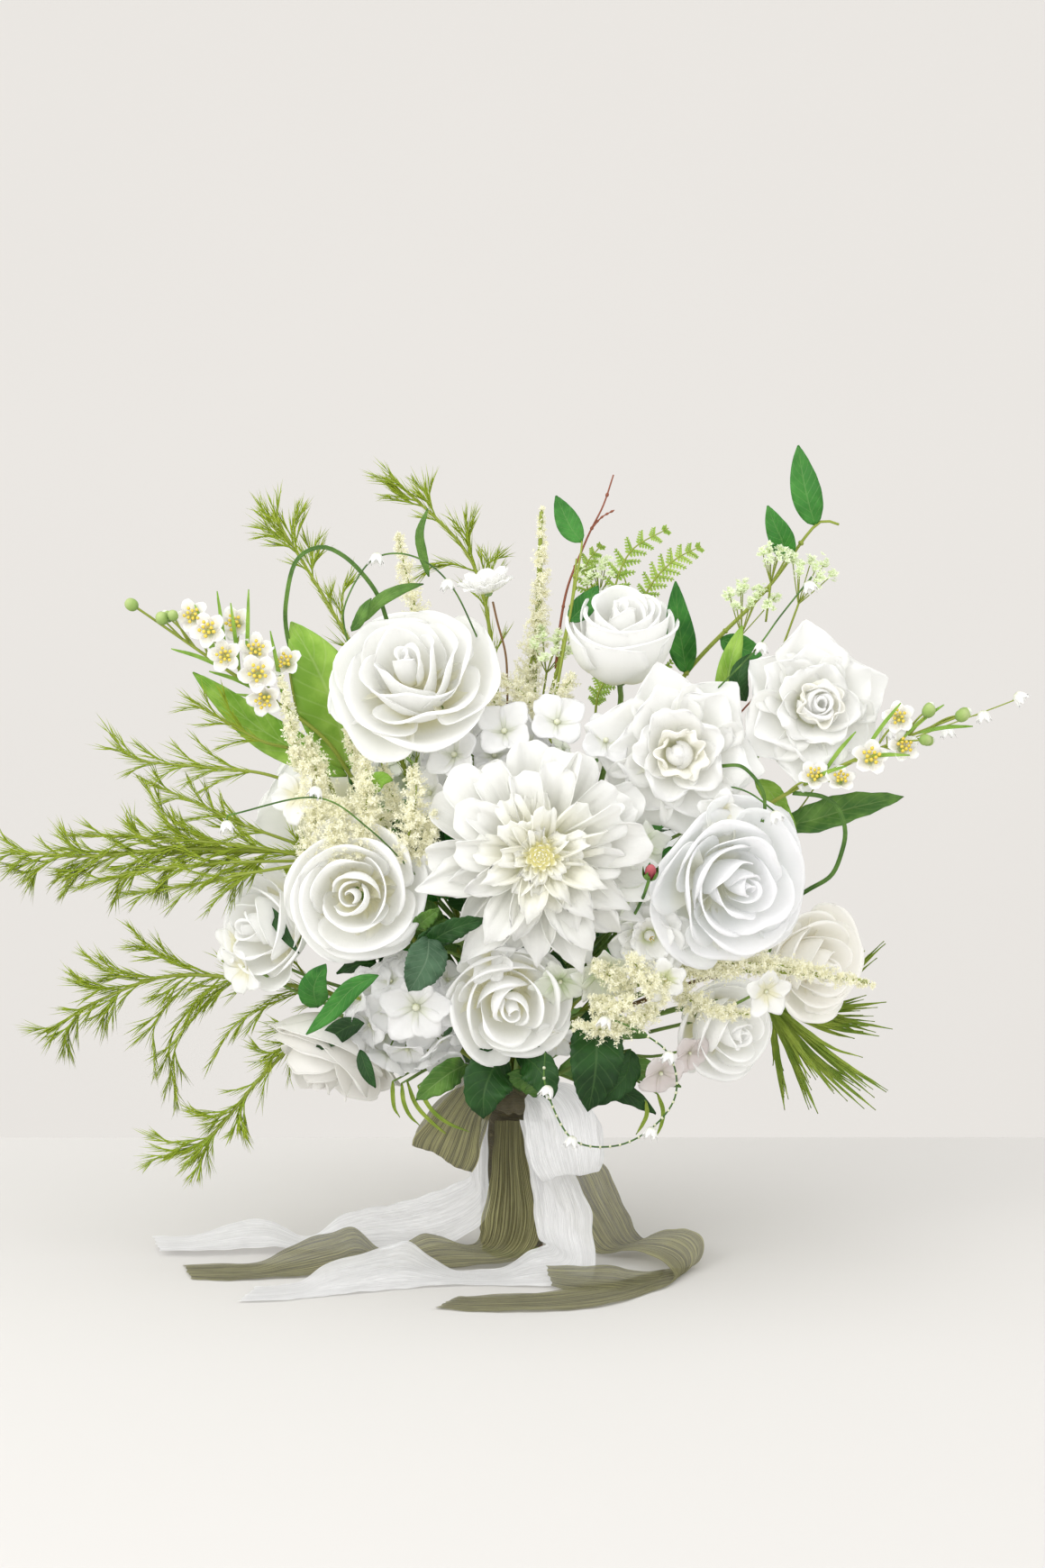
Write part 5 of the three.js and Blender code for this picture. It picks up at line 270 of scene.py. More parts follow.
RIBBONS = {
 "ribbon_tail_olive_left": [
  [[-10.0,-25.2,88.0],[8.0,-25.2,88.0]],
  [[-12.0,-26.6,66.0],[10.0,-26.6,66.0]],
  [[-14.0,-28.2,48.0],[14.0,-28.2,48.0]],
  [[-17.8,-30.0,32.8],[17.9,-30.0,32.8]],
  [[-19.4,-30.0,21.0],[16.9,-32.0,20.5]],
  [[-21.6,-28.0,13.2],[13.1,-36.0,12.7]],
  [[-26.0,-25.0,10.6],[6.0,-42.0,7.7]],
  [[-33.6,-22.0,11.4],[-4.8,-42.0,4.3]],
  [[-42.9,-20.0,14.8],[-18.3,-42.0,2.7]],
  [[-52.7,-19.0,16.2],[-32.8,-42.0,1.5]],
  [[-62.0,-19.0,12.3],[-46.9,-42.0,1.1]],
  [[-71.2,-20.0,6.4],[-60.9,-43.0,1.1]],
  [[-82.1,-20.0,8.0],[-74.8,-45.0,1.3]],
  [[-95.1,-20.0,21.0],[-89.7,-49.0,6.4]],
  [[-109.0,-24.0,18.2],[-102.4,-56.0,5.1]],
  [[-123.7,-25.0,14.5],[-118.4,-58.0,2.3]],
  [[-137.7,-27.0,8.9],[-134.4,-60.0,1.1]],
  [[-153.4,-29.0,1.7],[-151.4,-63.0,1.1]],
  [[-172.8,-31.0,1.1],[-171.1,-65.0,1.1]],
  [[-197.6,-33.0,1.1],[-191.1,-62.0,1.1]],
 ],
 "ribbon_tail_white_left": [
  [[-24.0,-16.5,88.0],[-14.0,-24.5,88.0]],
  [[-26.0,-16.0,70.0],[-15.0,-25.0,66.0]],
  [[-27.0,-14.5,58.0],[-15.0,-24.5,45.0]],
  [[-26.1,-12.0,50.2],[-15.2,-20.0,29.4]],
  [[-37.0,-8.0,43.5],[-24.4,-18.0,17.6]],
  [[-53.0,-2.0,35.7],[-40.9,-14.0,8.6]],
  [[-72.3,4.0,28.4],[-61.7,-9.0,4.3]],
  [[-91.7,8.0,23.8],[-83.6,-8.0,2.9]],
  [[-107.3,11.0,16.8],[-101.1,-9.0,2.6]],
  [[-119.5,13.0,7.1],[-115.0,-14.0,4.1]],
  [[-129.4,13.0,5.9],[-126.5,-13.0,3.8]],
  [[-139.3,13.0,10.5],[-136.4,-12.0,4.6]],
  [[-149.2,13.0,15.1],[-146.7,-12.0,5.7]],
  [[-162.9,13.0,15.6],[-162.0,-12.0,5.2]],
  [[-180.6,13.0,11.1],[-179.9,-14.0,4.6]],
  [[-199.9,12.0,6.2],[-198.9,-15.0,4.3]],
  [[-219.6,11.0,5.9],[-213.8,-13.0,4.3]],
 ],
 "ribbon_tail_white_front": [
  [[4.6,-29.9,89.7],[18.4,-28.5,88.3]],
  [[8.0,-31.6,70.0],[30.0,-30.4,70.0]],
  [[11.5,-33.8,50.0],[40.5,-33.2,50.0]],
  [[13.0,-36.0,33.9],[47.6,-36.0,33.9]],
  [[14.1,-39.0,23.6],[48.1,-39.0,21.3]],
  [[16.8,-42.0,18.3],[49.6,-46.0,11.6]],
  [[19.5,-45.0,17.5],[49.5,-57.0,4.8]],
  [[19.5,-48.0,17.2],[43.4,-70.0,1.1]],
  [[16.2,-50.0,17.2],[32.1,-77.0,1.1]],
  [[10.3,-50.0,15.0],[19.9,-79.0,1.1]],
  [[2.8,-49.0,9.7],[7.1,-79.0,1.1]],
  [[-6.9,-46.0,2.7],[-5.2,-77.0,1.1]],
  [[-19.3,-45.0,1.1],[-17.9,-76.0,1.1]],
  [[-33.9,-45.0,1.3],[-32.3,-77.0,1.1]],
  [[-48.9,-46.0,8.8],[-48.3,-79.0,1.1]],
  [[-62.3,-48.0,19.4],[-65.2,-83.0,1.1]],
  [[-74.5,-52.0,18.4],[-79.9,-88.0,1.1]],
  [[-92.6,-57.0,14.8],[-94.6,-93.0,1.1]],
  [[-110.7,-61.0,10.4],[-107.1,-97.0,1.1]],
  [[-124.4,-67.0,1.1],[-120.6,-101.0,1.1]],
  [[-141.6,-76.0,1.1],[-139.2,-108.0,1.1]],
  [[-151.5,-80.0,1.1],[-160.2,-110.0,1.1]],
 ],
 "ribbon_tail_olive_right": [
  [[14.9,-25.5,88.0],[26.1,-15.5,88.0]],
  [[14.8,-23.6,69.4],[36.2,-15.4,70.6]],
  [[19.6,-20.0,50.7],[56.0,-15.0,57.2]],
  [[27.8,-17.0,34.2],[63.8,-11.0,39.3]],
  [[37.1,-15.0,19.0],[71.0,-6.0,23.2]],
  [[44.2,-13.0,7.7],[75.6,0.0,11.9]],
  [[50.8,-13.0,2.6],[79.6,6.0,6.2]],
  [[58.9,-16.0,2.9],[85.1,6.0,8.5]],
  [[66.9,-22.0,5.8],[91.6,2.0,11.9]],
  [[74.8,-32.0,8.1],[98.4,-6.0,15.3]],
  [[82.6,-43.0,9.1],[105.2,-14.0,18.2]],
  [[89.9,-52.0,7.8],[111.4,-21.0,17.9]],
  [[94.4,-60.0,6.3],[115.1,-26.0,13.7]],
  [[96.3,-69.0,3.9],[114.4,-31.0,7.3]],
  [[91.7,-79.0,1.1],[108.3,-36.0,1.5]],
  [[79.1,-92.0,1.1],[94.5,-43.0,1.1]],
  [[68.2,-105.0,1.1],[80.2,-54.0,1.1]],
  [[54.3,-117.0,1.1],[64.9,-66.0,1.1]],
  [[37.4,-124.0,1.1],[46.5,-77.0,1.1]],
  [[17.5,-128.0,1.1],[26.2,-87.0,1.1]],
  [[-6.5,-129.0,1.1],[3.9,-93.0,1.1]],
  [[-26.4,-127.0,1.1],[-15.1,-97.0,1.1]],
  [[-44.2,-122.0,1.1],[-32.0,-98.0,1.1]],
 ],
 "bow_loop_olive": [
  [[-8.5,-34.5,111.2],[-5.8,-34.5,102.9]],
  [[-15.4,-41.0,120.5],[-9.0,-40.5,102.8]],
  [[-26.6,-47.0,123.1],[-14.8,-46.5,99.3]],
  [[-36.7,-51.0,112.0],[-18.0,-50.5,93.2]],
  [[-46.8,-53.5,99.5],[-19.1,-53.0,85.0]],
  [[-54.9,-54.0,89.7],[-19.6,-53.5,75.2]],
  [[-58.7,-52.0,83.7],[-21.8,-51.5,66.4]],
  [[-59.8,-48.5,79.4],[-24.0,-48.0,61.6]],
  [[-58.3,-45.0,82.9],[-21.9,-44.5,65.7]],
  [[-54.6,-43.0,90.7],[-18.7,-42.5,75.1]],
  [[-47.1,-41.0,101.2],[-16.0,-40.5,86.2]],
  [[-36.4,-38.5,110.0],[-12.8,-38.0,94.4]],
  [[-21.9,-36.5,113.9],[-9.6,-36.0,101.1]],
 ],
 "bow_loop_white": [
  [[7.6,-34.5,102.9],[10.3,-34.5,111.7]],
  [[7.6,-41.0,101.2],[21.0,-41.0,116.7]],
  [[7.1,-47.5,96.8],[36.0,-48.0,115.1]],
  [[7.6,-52.0,89.2],[46.6,-52.5,104.1]],
  [[8.7,-54.0,79.8],[49.8,-54.5,90.9]],
  [[10.8,-54.0,70.4],[51.4,-54.5,79.4]],
  [[14.6,-52.0,62.7],[51.5,-52.5,68.9]],
  [[17.8,-48.5,57.9],[51.6,-49.0,62.4]],
  [[20.5,-45.0,60.3],[53.8,-45.5,67.6]],
  [[23.8,-43.0,67.5],[54.9,-43.5,77.0]],
  [[25.9,-41.5,78.7],[52.7,-42.0,89.9]],
  [[25.4,-40.0,90.5],[44.6,-40.5,102.8]],
  [[20.5,-38.0,99.4],[31.8,-38.5,111.6]],
  [[14.1,-36.5,103.4],[18.4,-37.0,112.4]],
 ],
}


def V3(*a):
    return np.array(a, float)


def unit(v):
    v = np.asarray(v, float)
    return v / (np.linalg.norm(v, axis=-1, keepdims=True) + 1e-12)


# ---------- the camera, and the place of a picture point at a depth ----------
PITCH = math.radians(10)
LENS, SENSOR = 100.0, 36.0
F_PX = LENS / SENSOR * 1740
CAM_F = V3(0, math.cos(PITCH), -math.sin(PITCH))
CAM_U = V3(0, math.sin(PITCH), math.cos(PITCH))
CAM_T = V3(6.03, 0, 288.41)
CAM_P = CAM_T - CAM_F * 2600


def at(px, py, y):
    """millimetres: the point that is seen at (px, py) and lies at depth y"""
    d = CAM_F + (px - 580) / F_PX * V3(1, 0, 0) - (py - 870) / F_PX * CAM_U
    return CAM_P + d * ((y - CAM_P[1]) / d[1])


# ---------- mesh building ----------
class Build:
    """Collects grids, tubes and spikes, then makes one mesh object. All in millimetres."""

    def __init__(self):
        self.v, self.q, self.t, self.qm, self.tm, self.a = [], [], [], [], [], []
        self.n = 0

    def add(self, verts, quads=None, tris=None, mat=0, attr=None):
        verts = np.asarray(verts, float).reshape(-1, 3)
        if quads is not None and len(quads):
            self.q.append(np.asarray(quads, np.int64) + self.n)
            self.qm.append(np.full(len(quads), mat, np.int32))
        if tris is not None and len(tris):
            self.t.append(np.asarray(tris, np.int64) + self.n)
            self.tm.append(np.full(len(tris), mat, np.int32))
        self.v.append(verts)
        self.a.append(np.zeros((len(verts), 3)) if attr is None else np.asarray(attr, float).reshape(-1, 3))
        self.n += len(verts)

    def grid(self, P, th=0.0, mat=0, attr=None, under=None):
        """P is (nu, nv, 3). With th it is a thin closed shell, without it one open layer."""
        nu, nv = P.shape[:2]
        if attr is None:
            u, v = np.meshgrid(np.linspace(-1, 1, nu), np.linspace(0, 1, nv), indexing="ij")
            attr = np.stack([u, v, np.zeros_like(u)], -1)
        i = np.arange((nu - 1) * (nv - 1))
        a = (i // (nv - 1)) * nv + i % (nv - 1)
        top = np.stack([a, a + nv, a + nv + 1, a + 1], 1)
        if not th:
            self.add(P, top, mat=mat, attr=attr)
            return
        du = np.gradient(P, axis=0)
        dv = np.gradient(P, axis=1)
        N = unit(np.cross(du, dv))
        m = nu * nv
        A, B = P + N * th / 2, P - N * th / 2
        ring = np.r_[np.arange(nu) * nv, (nu - 1) * nv + np.arange(1, nv), np.arange(nu - 2, -1, -1) * nv + nv - 1, np.arange(nv - 2, 0, -1)]
        nxt = np.roll(ring, -1)
        rim = np.stack([ring, ring + m, nxt + m, nxt], 1)
        verts = np.concatenate([A.reshape(-1, 3), B.reshape(-1, 3)])
        at2 = np.concatenate([attr.reshape(-1, 3), attr.reshape(-1, 3)])
        self.add(verts, np.concatenate([top, rim]), mat=mat, attr=at2)
        # the under side, in its own material where it has one
        self.q.append(top[:, ::-1] + m + self.n - 2 * m)
        self.qm.append(np.full(len(top), mat if under is None else under, np.int32))

    def tube(self, pts, radii, sides=8, mat=0, attr_rnd=0.0, cap=True):
        pts = np.asarray(pts, float)
        radii = np.broadcast_to(np.asarray(radii, float), (len(pts),))
        t = unit(np.gradient(pts, axis=0))
        u = np.zeros_like(pts)
        ref = V3(1, 0, 0.001) if abs(t[0, 0]) < 0.9 else V3(0, 1, 0)
        for i in range(len(pts)):
            d = ref - t[i] * (ref @ t[i])
            if np.linalg.norm(d) < 1e-3:
                d = np.cross(t[i], V3(0.3, 0.5, 0.8))
            ref = u[i] = d / np.linalg.norm(d)
        w = np.cross(t, u)
        ang = np.arange(sides) * 2 * np.pi / sides
        ring = pts[:, None] + radii[:, None, None] * (np.cos(ang)[None, :, None] * u[:, None] + np.sin(ang)[None, :, None] * w[:, None])
        n = len(pts)
        k = np.arange((n - 1) * sides)
        i, j = k // sides, k % sides
        quads = np.stack([i * sides + j, i * sides + (j + 1) % sides, (i + 1) * sides + (j + 1) % sides, (i + 1) * sides + j], 1)
        run = np.r_[0, np.cumsum(np.linalg.norm(np.diff(pts, axis=0), axis=1))]
        attr = np.stack(np.broadcast_arrays(np.sin(ang)[None, :], run[:, None] / 100, np.full((1, 1), attr_rnd)), -1)
        verts, at2 = ring.reshape(-1, 3), attr.reshape(-1, 3)
        tris = None
        if cap:
            verts = np.concatenate([verts, pts[:1], pts[-1:] + t[-1:] * radii[-1] * 0.5])
            at2 = np.concatenate([at2, at2[:1], at2[-1:]])
            c0, c1 = n * sides, n * sides + 1
            s = np.arange(sides)
            tris = np.concatenate([np.stack([np.full(sides, c0), (s + 1) % sides, s], 1),
                                   np.stack([np.full(sides, c1), (n - 1) * sides + s, (n - 1) * sides + (s + 1) % sides], 1)])
        self.add(verts, quads, tris, mat, at2)

    def spikes(self, base, direction, length, width, mat=0, bend=None, rnd=None, sides=3):
        """Many thin tapering needles at once, each bent a little."""
        base, direction = np.asarray(base, float), unit(direction)
        n = len(base)
        length, width = np.broadcast_to(length, (n,)), np.broadcast_to(width, (n,))
        bend = np.zeros((n, 3)) if bend is None else bend
        ref = np.where(np.abs(direction[:, 2:3]) < 0.8, V3(0, 0, 1), V3(1, 0, 0))
        a = unit(np.cross(direction, ref))
        c = np.cross(direction, a)
        rings = []
        for f, wf in ((0.0, 0.55), (0.45, 1.0)):
            mid = base + direction * (length * f)[:, None] + bend * (f ** 2 * length)[:, None]
            for s in range(sides):
                g = 2 * np.pi * s / sides
                rings.append(mid + (a * math.cos(g) + c * math.sin(g) * 0.55) * (width * wf / 2)[:, None])
        tip = base + direction * length[:, None] + bend * length[:, None]
        verts = np.stack(rings + [tip], 1)
        per = 2 * sides + 1
        off = (np.arange(n) * per)[:, None]
        q = np.concatenate([off + np.array([[s, (s + 1) % sides, sides + (s + 1) % sides, sides + s]]) for s in range(sides)])
        t = np.concatenate([off + np.array([[sides + s, sides + (s + 1) % sides, 2 * sides]]) for s in range(sides)])
        rnd = np.zeros(n) if rnd is None else np.asarray(rnd, float)
        lv = np.array([0.0] * sides + [0.45] * sides + [1.0])
        attr = np.stack(np.broadcast_arrays(np.zeros((1, per)), lv[None, :], rnd[:, None]), -1)
        self.add(verts, q, t, mat, attr)

    def florets(self, centre, normal, size, petals=5, lift=0.35, width=0.5, mat=0, rnd=None, rng=None):
        """Many tiny flowers of diamond petals."""
        centre, normal = np.asarray(centre, float), unit(normal)
        n = len(centre)
        size = np.broadcast_to(size, (n,))
        ref = np.where(np.abs(normal[:, 2:3]) < 0.8, V3(0, 0, 1), V3(1, 0, 0))
        a = unit(np.cross(normal, ref))
        c = np.cross(normal, a)
        turn = rng.uniform(0, 2 * np.pi, n)
        verts, quads = [], []
        for k in range(petals):
            g = turn + 2 * np.pi * k / petals + rng.uniform(-0.25, 0.25, n)
            d = a * np.cos(g)[:, None] + c * np.sin(g)[:, None]
            s = -a * np.sin(g)[:, None] + c * np.cos(g)[:, None]
            L = (size * rng.uniform(0.75, 1.15, n))[:, None]
            up = normal * (rng.uniform(0.4, 1.6, n) * lift)[:, None]
            verts += [centre, centre + (d * 0.55 + up * 0.45) * L + s * L * width / 2, centre + (d + up) * L, centre + (d * 0.55 + up * 0.45) * L - s * L * width / 2]
            quads.append(np.array([[4 * k, 4 * k + 1, 4 * k + 2, 4 * k + 3]]))
        per = 4 * petals
        V = np.stack(verts, 1)
        off = (np.arange(n) * per)[:, None]
        Q = np.concatenate([off + q for q in quads])
        rnd = rng.uniform(0, 1, n) if rnd is None else rnd
        lv = np.tile([0.0, 0.6, 1.0, 0.6], petals)
        attr = np.stack(np.broadcast_arrays(np.zeros((1, per)), lv[None, :], rnd[:, None]), -1)
        self.add(V, Q, None, mat, attr)

    def ball(self, centre, radii, mat=0, axis=(0, 0, 1), seg=10, rings=7, rnd=0.0):
        n = unit(np.array(axis, float))
        a, c = side_axes(n)
        th = np.linspace(0, np.pi, rings + 1)[1:-1]
        ph = np.arange(seg) * 2 * np.pi / seg
        r = np.broadcast_to(np.asarray(radii, float), (3,))
        ring = (np.sin(th)[:, None, None] * (np.cos(ph)[None, :, None] * a * r[0] + np.sin(ph)[None, :, None] * c * r[1]) + np.cos(th)[:, None, None] * n * r[2])
        verts = np.concatenate([ring.reshape(-1, 3), [n * r[2], -n * r[2]]]) + centre
        m = len(th)
        k = np.arange((m - 1) * seg)
        i, j = k // seg, k % seg
        quads = np.stack([i * seg + j, (i + 1) * seg + j, (i + 1) * seg + (j + 1) % seg, i * seg + (j + 1) % seg], 1)
        s = np.arange(seg)
        tris = np.concatenate([np.stack([np.full(seg, m * seg), s, (s + 1) % seg], 1),
                               np.stack([np.full(seg, m * seg + 1), (m - 1) * seg + (s + 1) % seg, (m - 1) * seg + s], 1)])
        attr = np.zeros((len(verts), 3)); attr[:, 1] = (verts - centre) @ n / r[2] * 0.5 + 0.5; attr[:, 2] = rnd
        self.add(verts, quads, tris, mat, attr)

    def make(self, name, mats, replaces=(), slot=None, smooth=True):
        v = np.concatenate(self.v) * MM
        me = bpy.data.meshes.new(name)
        q = np.concatenate(self.q) if self.q else np.zeros((0, 4), np.int64)
        t = np.concatenate(self.t) if self.t else np.zeros((0, 3), np.int64)
        nf, loops = len(q) + len(t), len(q) * 4 + len(t) * 3
        me.vertices.add(len(v)); me.vertices.foreach_set("co", v.astype(np.float32).ravel())
        me.loops.add(loops); me.loops.foreach_set("vertex_index", np.concatenate([q.ravel(), t.ravel()]).astype(np.int32))
        me.polygons.add(nf)
        me.polygons.foreach_set("loop_start", np.concatenate([np.arange(len(q)) * 4, len(q) * 4 + np.arange(len(t)) * 3]).astype(np.int32))
        me.polygons.foreach_set("material_index", np.concatenate((self.qm or [np.zeros(0, np.int32)]) + (self.tm or [np.zeros(0, np.int32)])).astype(np.int32))
        me.polygons.foreach_set("use_smooth", np.full(nf, smooth))
        me.update(calc_edges=True)
        me.validate()
        at_ = me.attributes.new("pv", "FLOAT_VECTOR", "POINT")
        at_.data.foreach_set("vector", np.concatenate(self.a).astype(np.float32).ravel())
        for m in mats:
            me.materials.append(m)
        ob = bpy.data.objects.new(name, me)
        bpy.context.scene.collection.objects.link(ob)
        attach(ob, "root")
        if replaces:
            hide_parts(*replaces)
        COUNT[name] = len(q) * 2 + len(t)
        return ob


COUNT = {}


def side_axes(n):
    n = unit(n)
    a = unit(np.cross(V3(0, 0, 1) if abs(n[2]) < 0.9 else V3(0, 1, 0), n))
    return a, np.cross(n, a)


def spline(pts, n):
    """n points of a smooth line through pts, evenly spaced"""
    p = np.asarray(pts, float)
    if len(p) == 2:
        return p[0] + (p[1] - p[0]) * np.linspace(0, 1, n)[:, None]
    q = np.vstack([2 * p[0] - p[1], p, 2 * p[-1] - p[-2]])
    out = []
    for i in range(1, len(q) - 2):
        t = np.linspace(0, 1, 12, endpoint=False)[:, None]
        a, b, c, d = q[i - 1], q[i], q[i + 1], q[i + 2]
        out.append(0.5 * (2 * b + (c - a) * t + (2 * a - 5 * b + 4 * c - d) * t ** 2 + (3 * b - a - 3 * c + d) * t ** 3))
    out = np.vstack(out + [p[-1:]])
    run = np.r_[0, np.cumsum(np.linalg.norm(np.diff(out, axis=0), axis=1))]
    s = np.linspace(0, run[-1], n)
    return np.stack([np.interp(s, run, out[:, k]) for k in range(3)], 1)


# ---------- materials ----------
def lin(h):
    """a colour given as #rrggbb, as linear numbers"""
    c = [int(h[k:k + 2], 16) / 255 for k in (1, 3, 5)]
    return tuple(x / 12.92 if x <= 0.04045 else ((x + 0.055) / 1.055) ** 2.4 for x in c) + (1.0,)


class Nodes:
    def __init__(self, name):
        self.mat = bpy.data.materials.new(name)
        self.mat.use_nodes = True
        self.t = self.mat.node_tree
        self.t.nodes.clear()
        self.out = self.new("ShaderNodeOutputMaterial")

    def new(self, kind, **props):
        n = self.t.nodes.new(kind)
        for k, v in props.items():
            setattr(n, k, v)
        return n

    def link(self, a, b):
        self.t.links.new(a, b)

    def attr(self, name="pv"):
        n = self.new("ShaderNodeAttribute", attribute_name=name)
        s = self.new("ShaderNodeSeparateXYZ")
        self.link(n.outputs["Vector"], s.inputs[0])
        return n.outputs["Vector"], s.outputs[0], s.outputs[1], s.outputs[2]

    def math(self, op, a, b=None, clamp=False):
        n = self.new("ShaderNodeMath", operation=op, use_clamp=clamp)
        for k, x in enumerate((a, b)):
            if x is None:
                continue
            if isinstance(x, (int, float)):
                n.inputs[k].default_value = x
            else:
                self.link(x, n.inputs[k])
        return n.outputs[0]

    def ramp(self, fac, stops, interp="EASE"):
        n = self.new("ShaderNodeValToRGB")
        n.color_ramp.interpolation = interp
        el = n.color_ramp.elements
        while len(el) < len(stops):
            el.new(0.5)
        for e, (p, c) in zip(el, stops):
            e.position = p
            e.color = c if len(c) == 4 else (*c, 1)
        self.link(fac, n.inputs[0])
        return n.outputs[0]

    def mix(self, fac, a, b, blend="MIX"):
        n = self.new("ShaderNodeMix", data_type="RGBA", blend_type=blend)
        ins = [s for s in n.inputs if s.enabled or True]
        f, A, B = n.inputs[0], n.inputs[6], n.inputs[7]
        for s, x in ((f, fac), (A, a), (B, b)):
            if isinstance(x, (int, float)):
                s.default_value = x
            elif isinstance(x, tuple):
                s.default_value = x
            else:
                self.link(x, s)
        return n.outputs[2]

    def noise(self, vec, scale, detail=3.0, rough=0.55, dist=0.0):
        n = self.new("ShaderNodeTexNoise")
        n.inputs["Scale"].default_value = scale
        n.inputs["Detail"].default_value = detail
        n.inputs["Roughness"].default_value = rough
        n.inputs["Distortion"].default_value = dist
        if vec is not None:
            self.link(vec, n.inputs["Vector"])
        return n.outputs[0]

    def scaled(self, vec, xyz):
        n = self.new("ShaderNodeVectorMath", operation="MULTIPLY")
        self.link(vec, n.inputs[0])
        n.inputs[1].default_value = xyz
        return n.outputs[0]

    def obj(self):
        return self.new("ShaderNodeTexCoord").outputs["Object"]

    def bump(self, height, strength, distance=0.0004):
        n = self.new("ShaderNodeBump")
        n.inputs["Strength"].default_value = strength
        n.inputs["Distance"].default_value = distance
        self.link(height, n.inputs["Height"])
        return n.outputs[0]

    def finish(self, color, rough, normal=None, translucent=0.0, trans_color=None, sheen=0.0, spec=0.5, coat=0.0, sss=0.0, alpha=None, painted_glow=0.0):
        p = self.new("ShaderNodeBsdfPrincipled")
        if isinstance(color, tuple):
            p.inputs["Base Color"].default_value = color
        else:
            self.link(color, p.inputs["Base Color"])
        if isinstance(rough, (int, float)):
            p.inputs["Roughness"].default_value = rough
        else:
            self.link(rough, p.inputs["Roughness"])
        p.inputs["Specular IOR Level"].default_value = spec
        p.inputs["Sheen Weight"].default_value = sheen
        p.inputs["Coat Weight"].default_value = coat
        if painted_glow:                             # painted light: a faint emission that lifts the shade, standing in for light scattered inside a thin petal and bounced between petals
            p.inputs["Emission Strength"].default_value = painted_glow
            if isinstance(color, tuple):
                p.inputs["Emission Color"].default_value = color
            else:
                self.link(color, p.inputs["Emission Color"])
        if sss:
            p.inputs["Subsurface Weight"].default_value = sss
            p.inputs["Subsurface Radius"].default_value = (0.004, 0.0035, 0.003)
            p.inputs["Subsurface Scale"].default_value = 1.0
        if normal is not None:
            self.link(normal, p.inputs["Normal"])
        shader = p.outputs[0]
        if translucent:
            tr = self.new("ShaderNodeBsdfTranslucent")
            tc = trans_color if trans_color is not None else color
            if isinstance(tc, tuple):
                tr.inputs["Color"].default_value = tc
            else:
                self.link(tc, tr.inputs["Color"])
            if normal is not None:
                self.link(normal, tr.inputs["Normal"])
            m = self.new("ShaderNodeMixShader")
            m.inputs[0].default_value = translucent
            self.link(shader, m.inputs[1])
            self.link(tr.outputs[0], m.inputs[2])
            shader = m.outputs[0]
        if alpha is not None:
            tp = self.new("ShaderNodeBsdfTransparent")
            m = self.new("ShaderNodeMixShader")
            if isinstance(alpha, (int, float)):
                m.inputs[0].default_value = alpha
            else:
                self.link(alpha, m.inputs[0])
            self.link(tp.outputs[0], m.inputs[1])
            self.link(shader, m.inputs[2])
            shader = m.outputs[0]
        self.link(shader, self.out.inputs["Surface"])
        return self.mat


def petal_material(name, base, body, rim, base_to=0.2, translucent=0.38, veins=0.25, rough=0.5, painted_glow=0.05):
    """base colour at the claw, body colour, rim colour; faint lengthwise veins and soft mottling; a faint emission over
    the whole petal is painted light that lifts its shade
    """
    n = Nodes(name)
    vec, u, v, r = n.attr()
    c = n.ramp(v, [(0.0, lin(base)), (base_to, lin(base)), (min(0.7, base_to + 0.3), lin(body)), (1.0, lin(rim))])
    mott = n.noise(n.obj(), 60, 3)
    c = n.mix(n.math("MULTIPLY", mott, 0.08), c, lin("#e6e6e2"), "MULTIPLY")
    streak = n.noise(n.scaled(vec, (9, 1.6, 7)), 4, 4, 0.6)
    fine = n.noise(n.scaled(vec, (26, 2.2, 7)), 5, 2, 0.5)
    h = n.math("ADD", streak, n.math("MULTIPLY", fine, 0.4))
    return n.finish(c, rough, n.bump(h, veins, 0.0006), translucent, sheen=0.05, spec=0.3, painted_glow=painted_glow / (1 - translucent))


def leaf_material(name, dark, light, vein, rough=0.42, translucent=0.22, vein_k=9.0, bump=0.5):
    n = Nodes(name)
    vec, u, v, r = n.attr()
    au = n.math("ABSOLUTE", u)
    mid = n.math("SUBTRACT", 1.0, n.math("MULTIPLY", au, 14.0), clamp=True)
    side = n.math("FRACT", n.math("SUBTRACT", n.math("MULTIPLY", v, vein_k), n.math("MULTIPLY", au, 1.9)))
    side = n.math("SUBTRACT", 1.0, n.math("MULTIPLY", n.math("ABSOLUTE", n.math("SUBTRACT", side, 0.5)), 9.0), clamp=True)
    side = n.math("MULTIPLY", side, 0.55)
    vv = n.math("MAXIMUM", mid, side)
    mott = n.noise(n.obj(), 70, 4)
    c = n.mix(n.ramp(mott, [(0.35, (0, 0, 0, 1)), (0.7, (1, 1, 1, 1))]), lin(dark), lin(light))
    c = n.mix(n.math("MULTIPLY", r, 0.45), c, lin(light))
    c = n.mix(n.math("MULTIPLY", vv, 0.45), c, lin(vein))
    fine = n.noise(n.scaled(vec, (10, 30, 3)), 4, 3)
    h = n.math("ADD", n.math("MULTIPLY", vv, -1.0), n.math("MULTIPLY", fine, 0.5))
    return n.finish(c, n.math("ADD", n.math("MULTIPLY", mott, 0.2), rough - 0.1), n.bump(h, bump, 0.0006), translucent, sheen=0.0, spec=0.35)


def needle_material(name, low, high, tip, rough=0.5, translucent=0.2, painted_glow=0.0):
    n = Nodes(name)
    vec, u, v, r = n.attr()
    c = n.ramp(v, [(0.0, lin(low)), (0.5, lin(high)), (1.0, lin(tip))])
    c = n.mix(n.math("MULTIPLY", r, 0.5), c, lin(tip))
    mott = n.noise(n.obj(), 160, 2)
    c = n.mix(n.math("MULTIPLY", mott, 0.25), c, lin(low))
    # painted light: where a faint emission is given, it lifts the shade of the needles and florets
    return n.finish(c, rough, n.bump(mott, 0.3, 0.0003), translucent, spec=0.3, painted_glow=painted_glow / (1 - translucent))


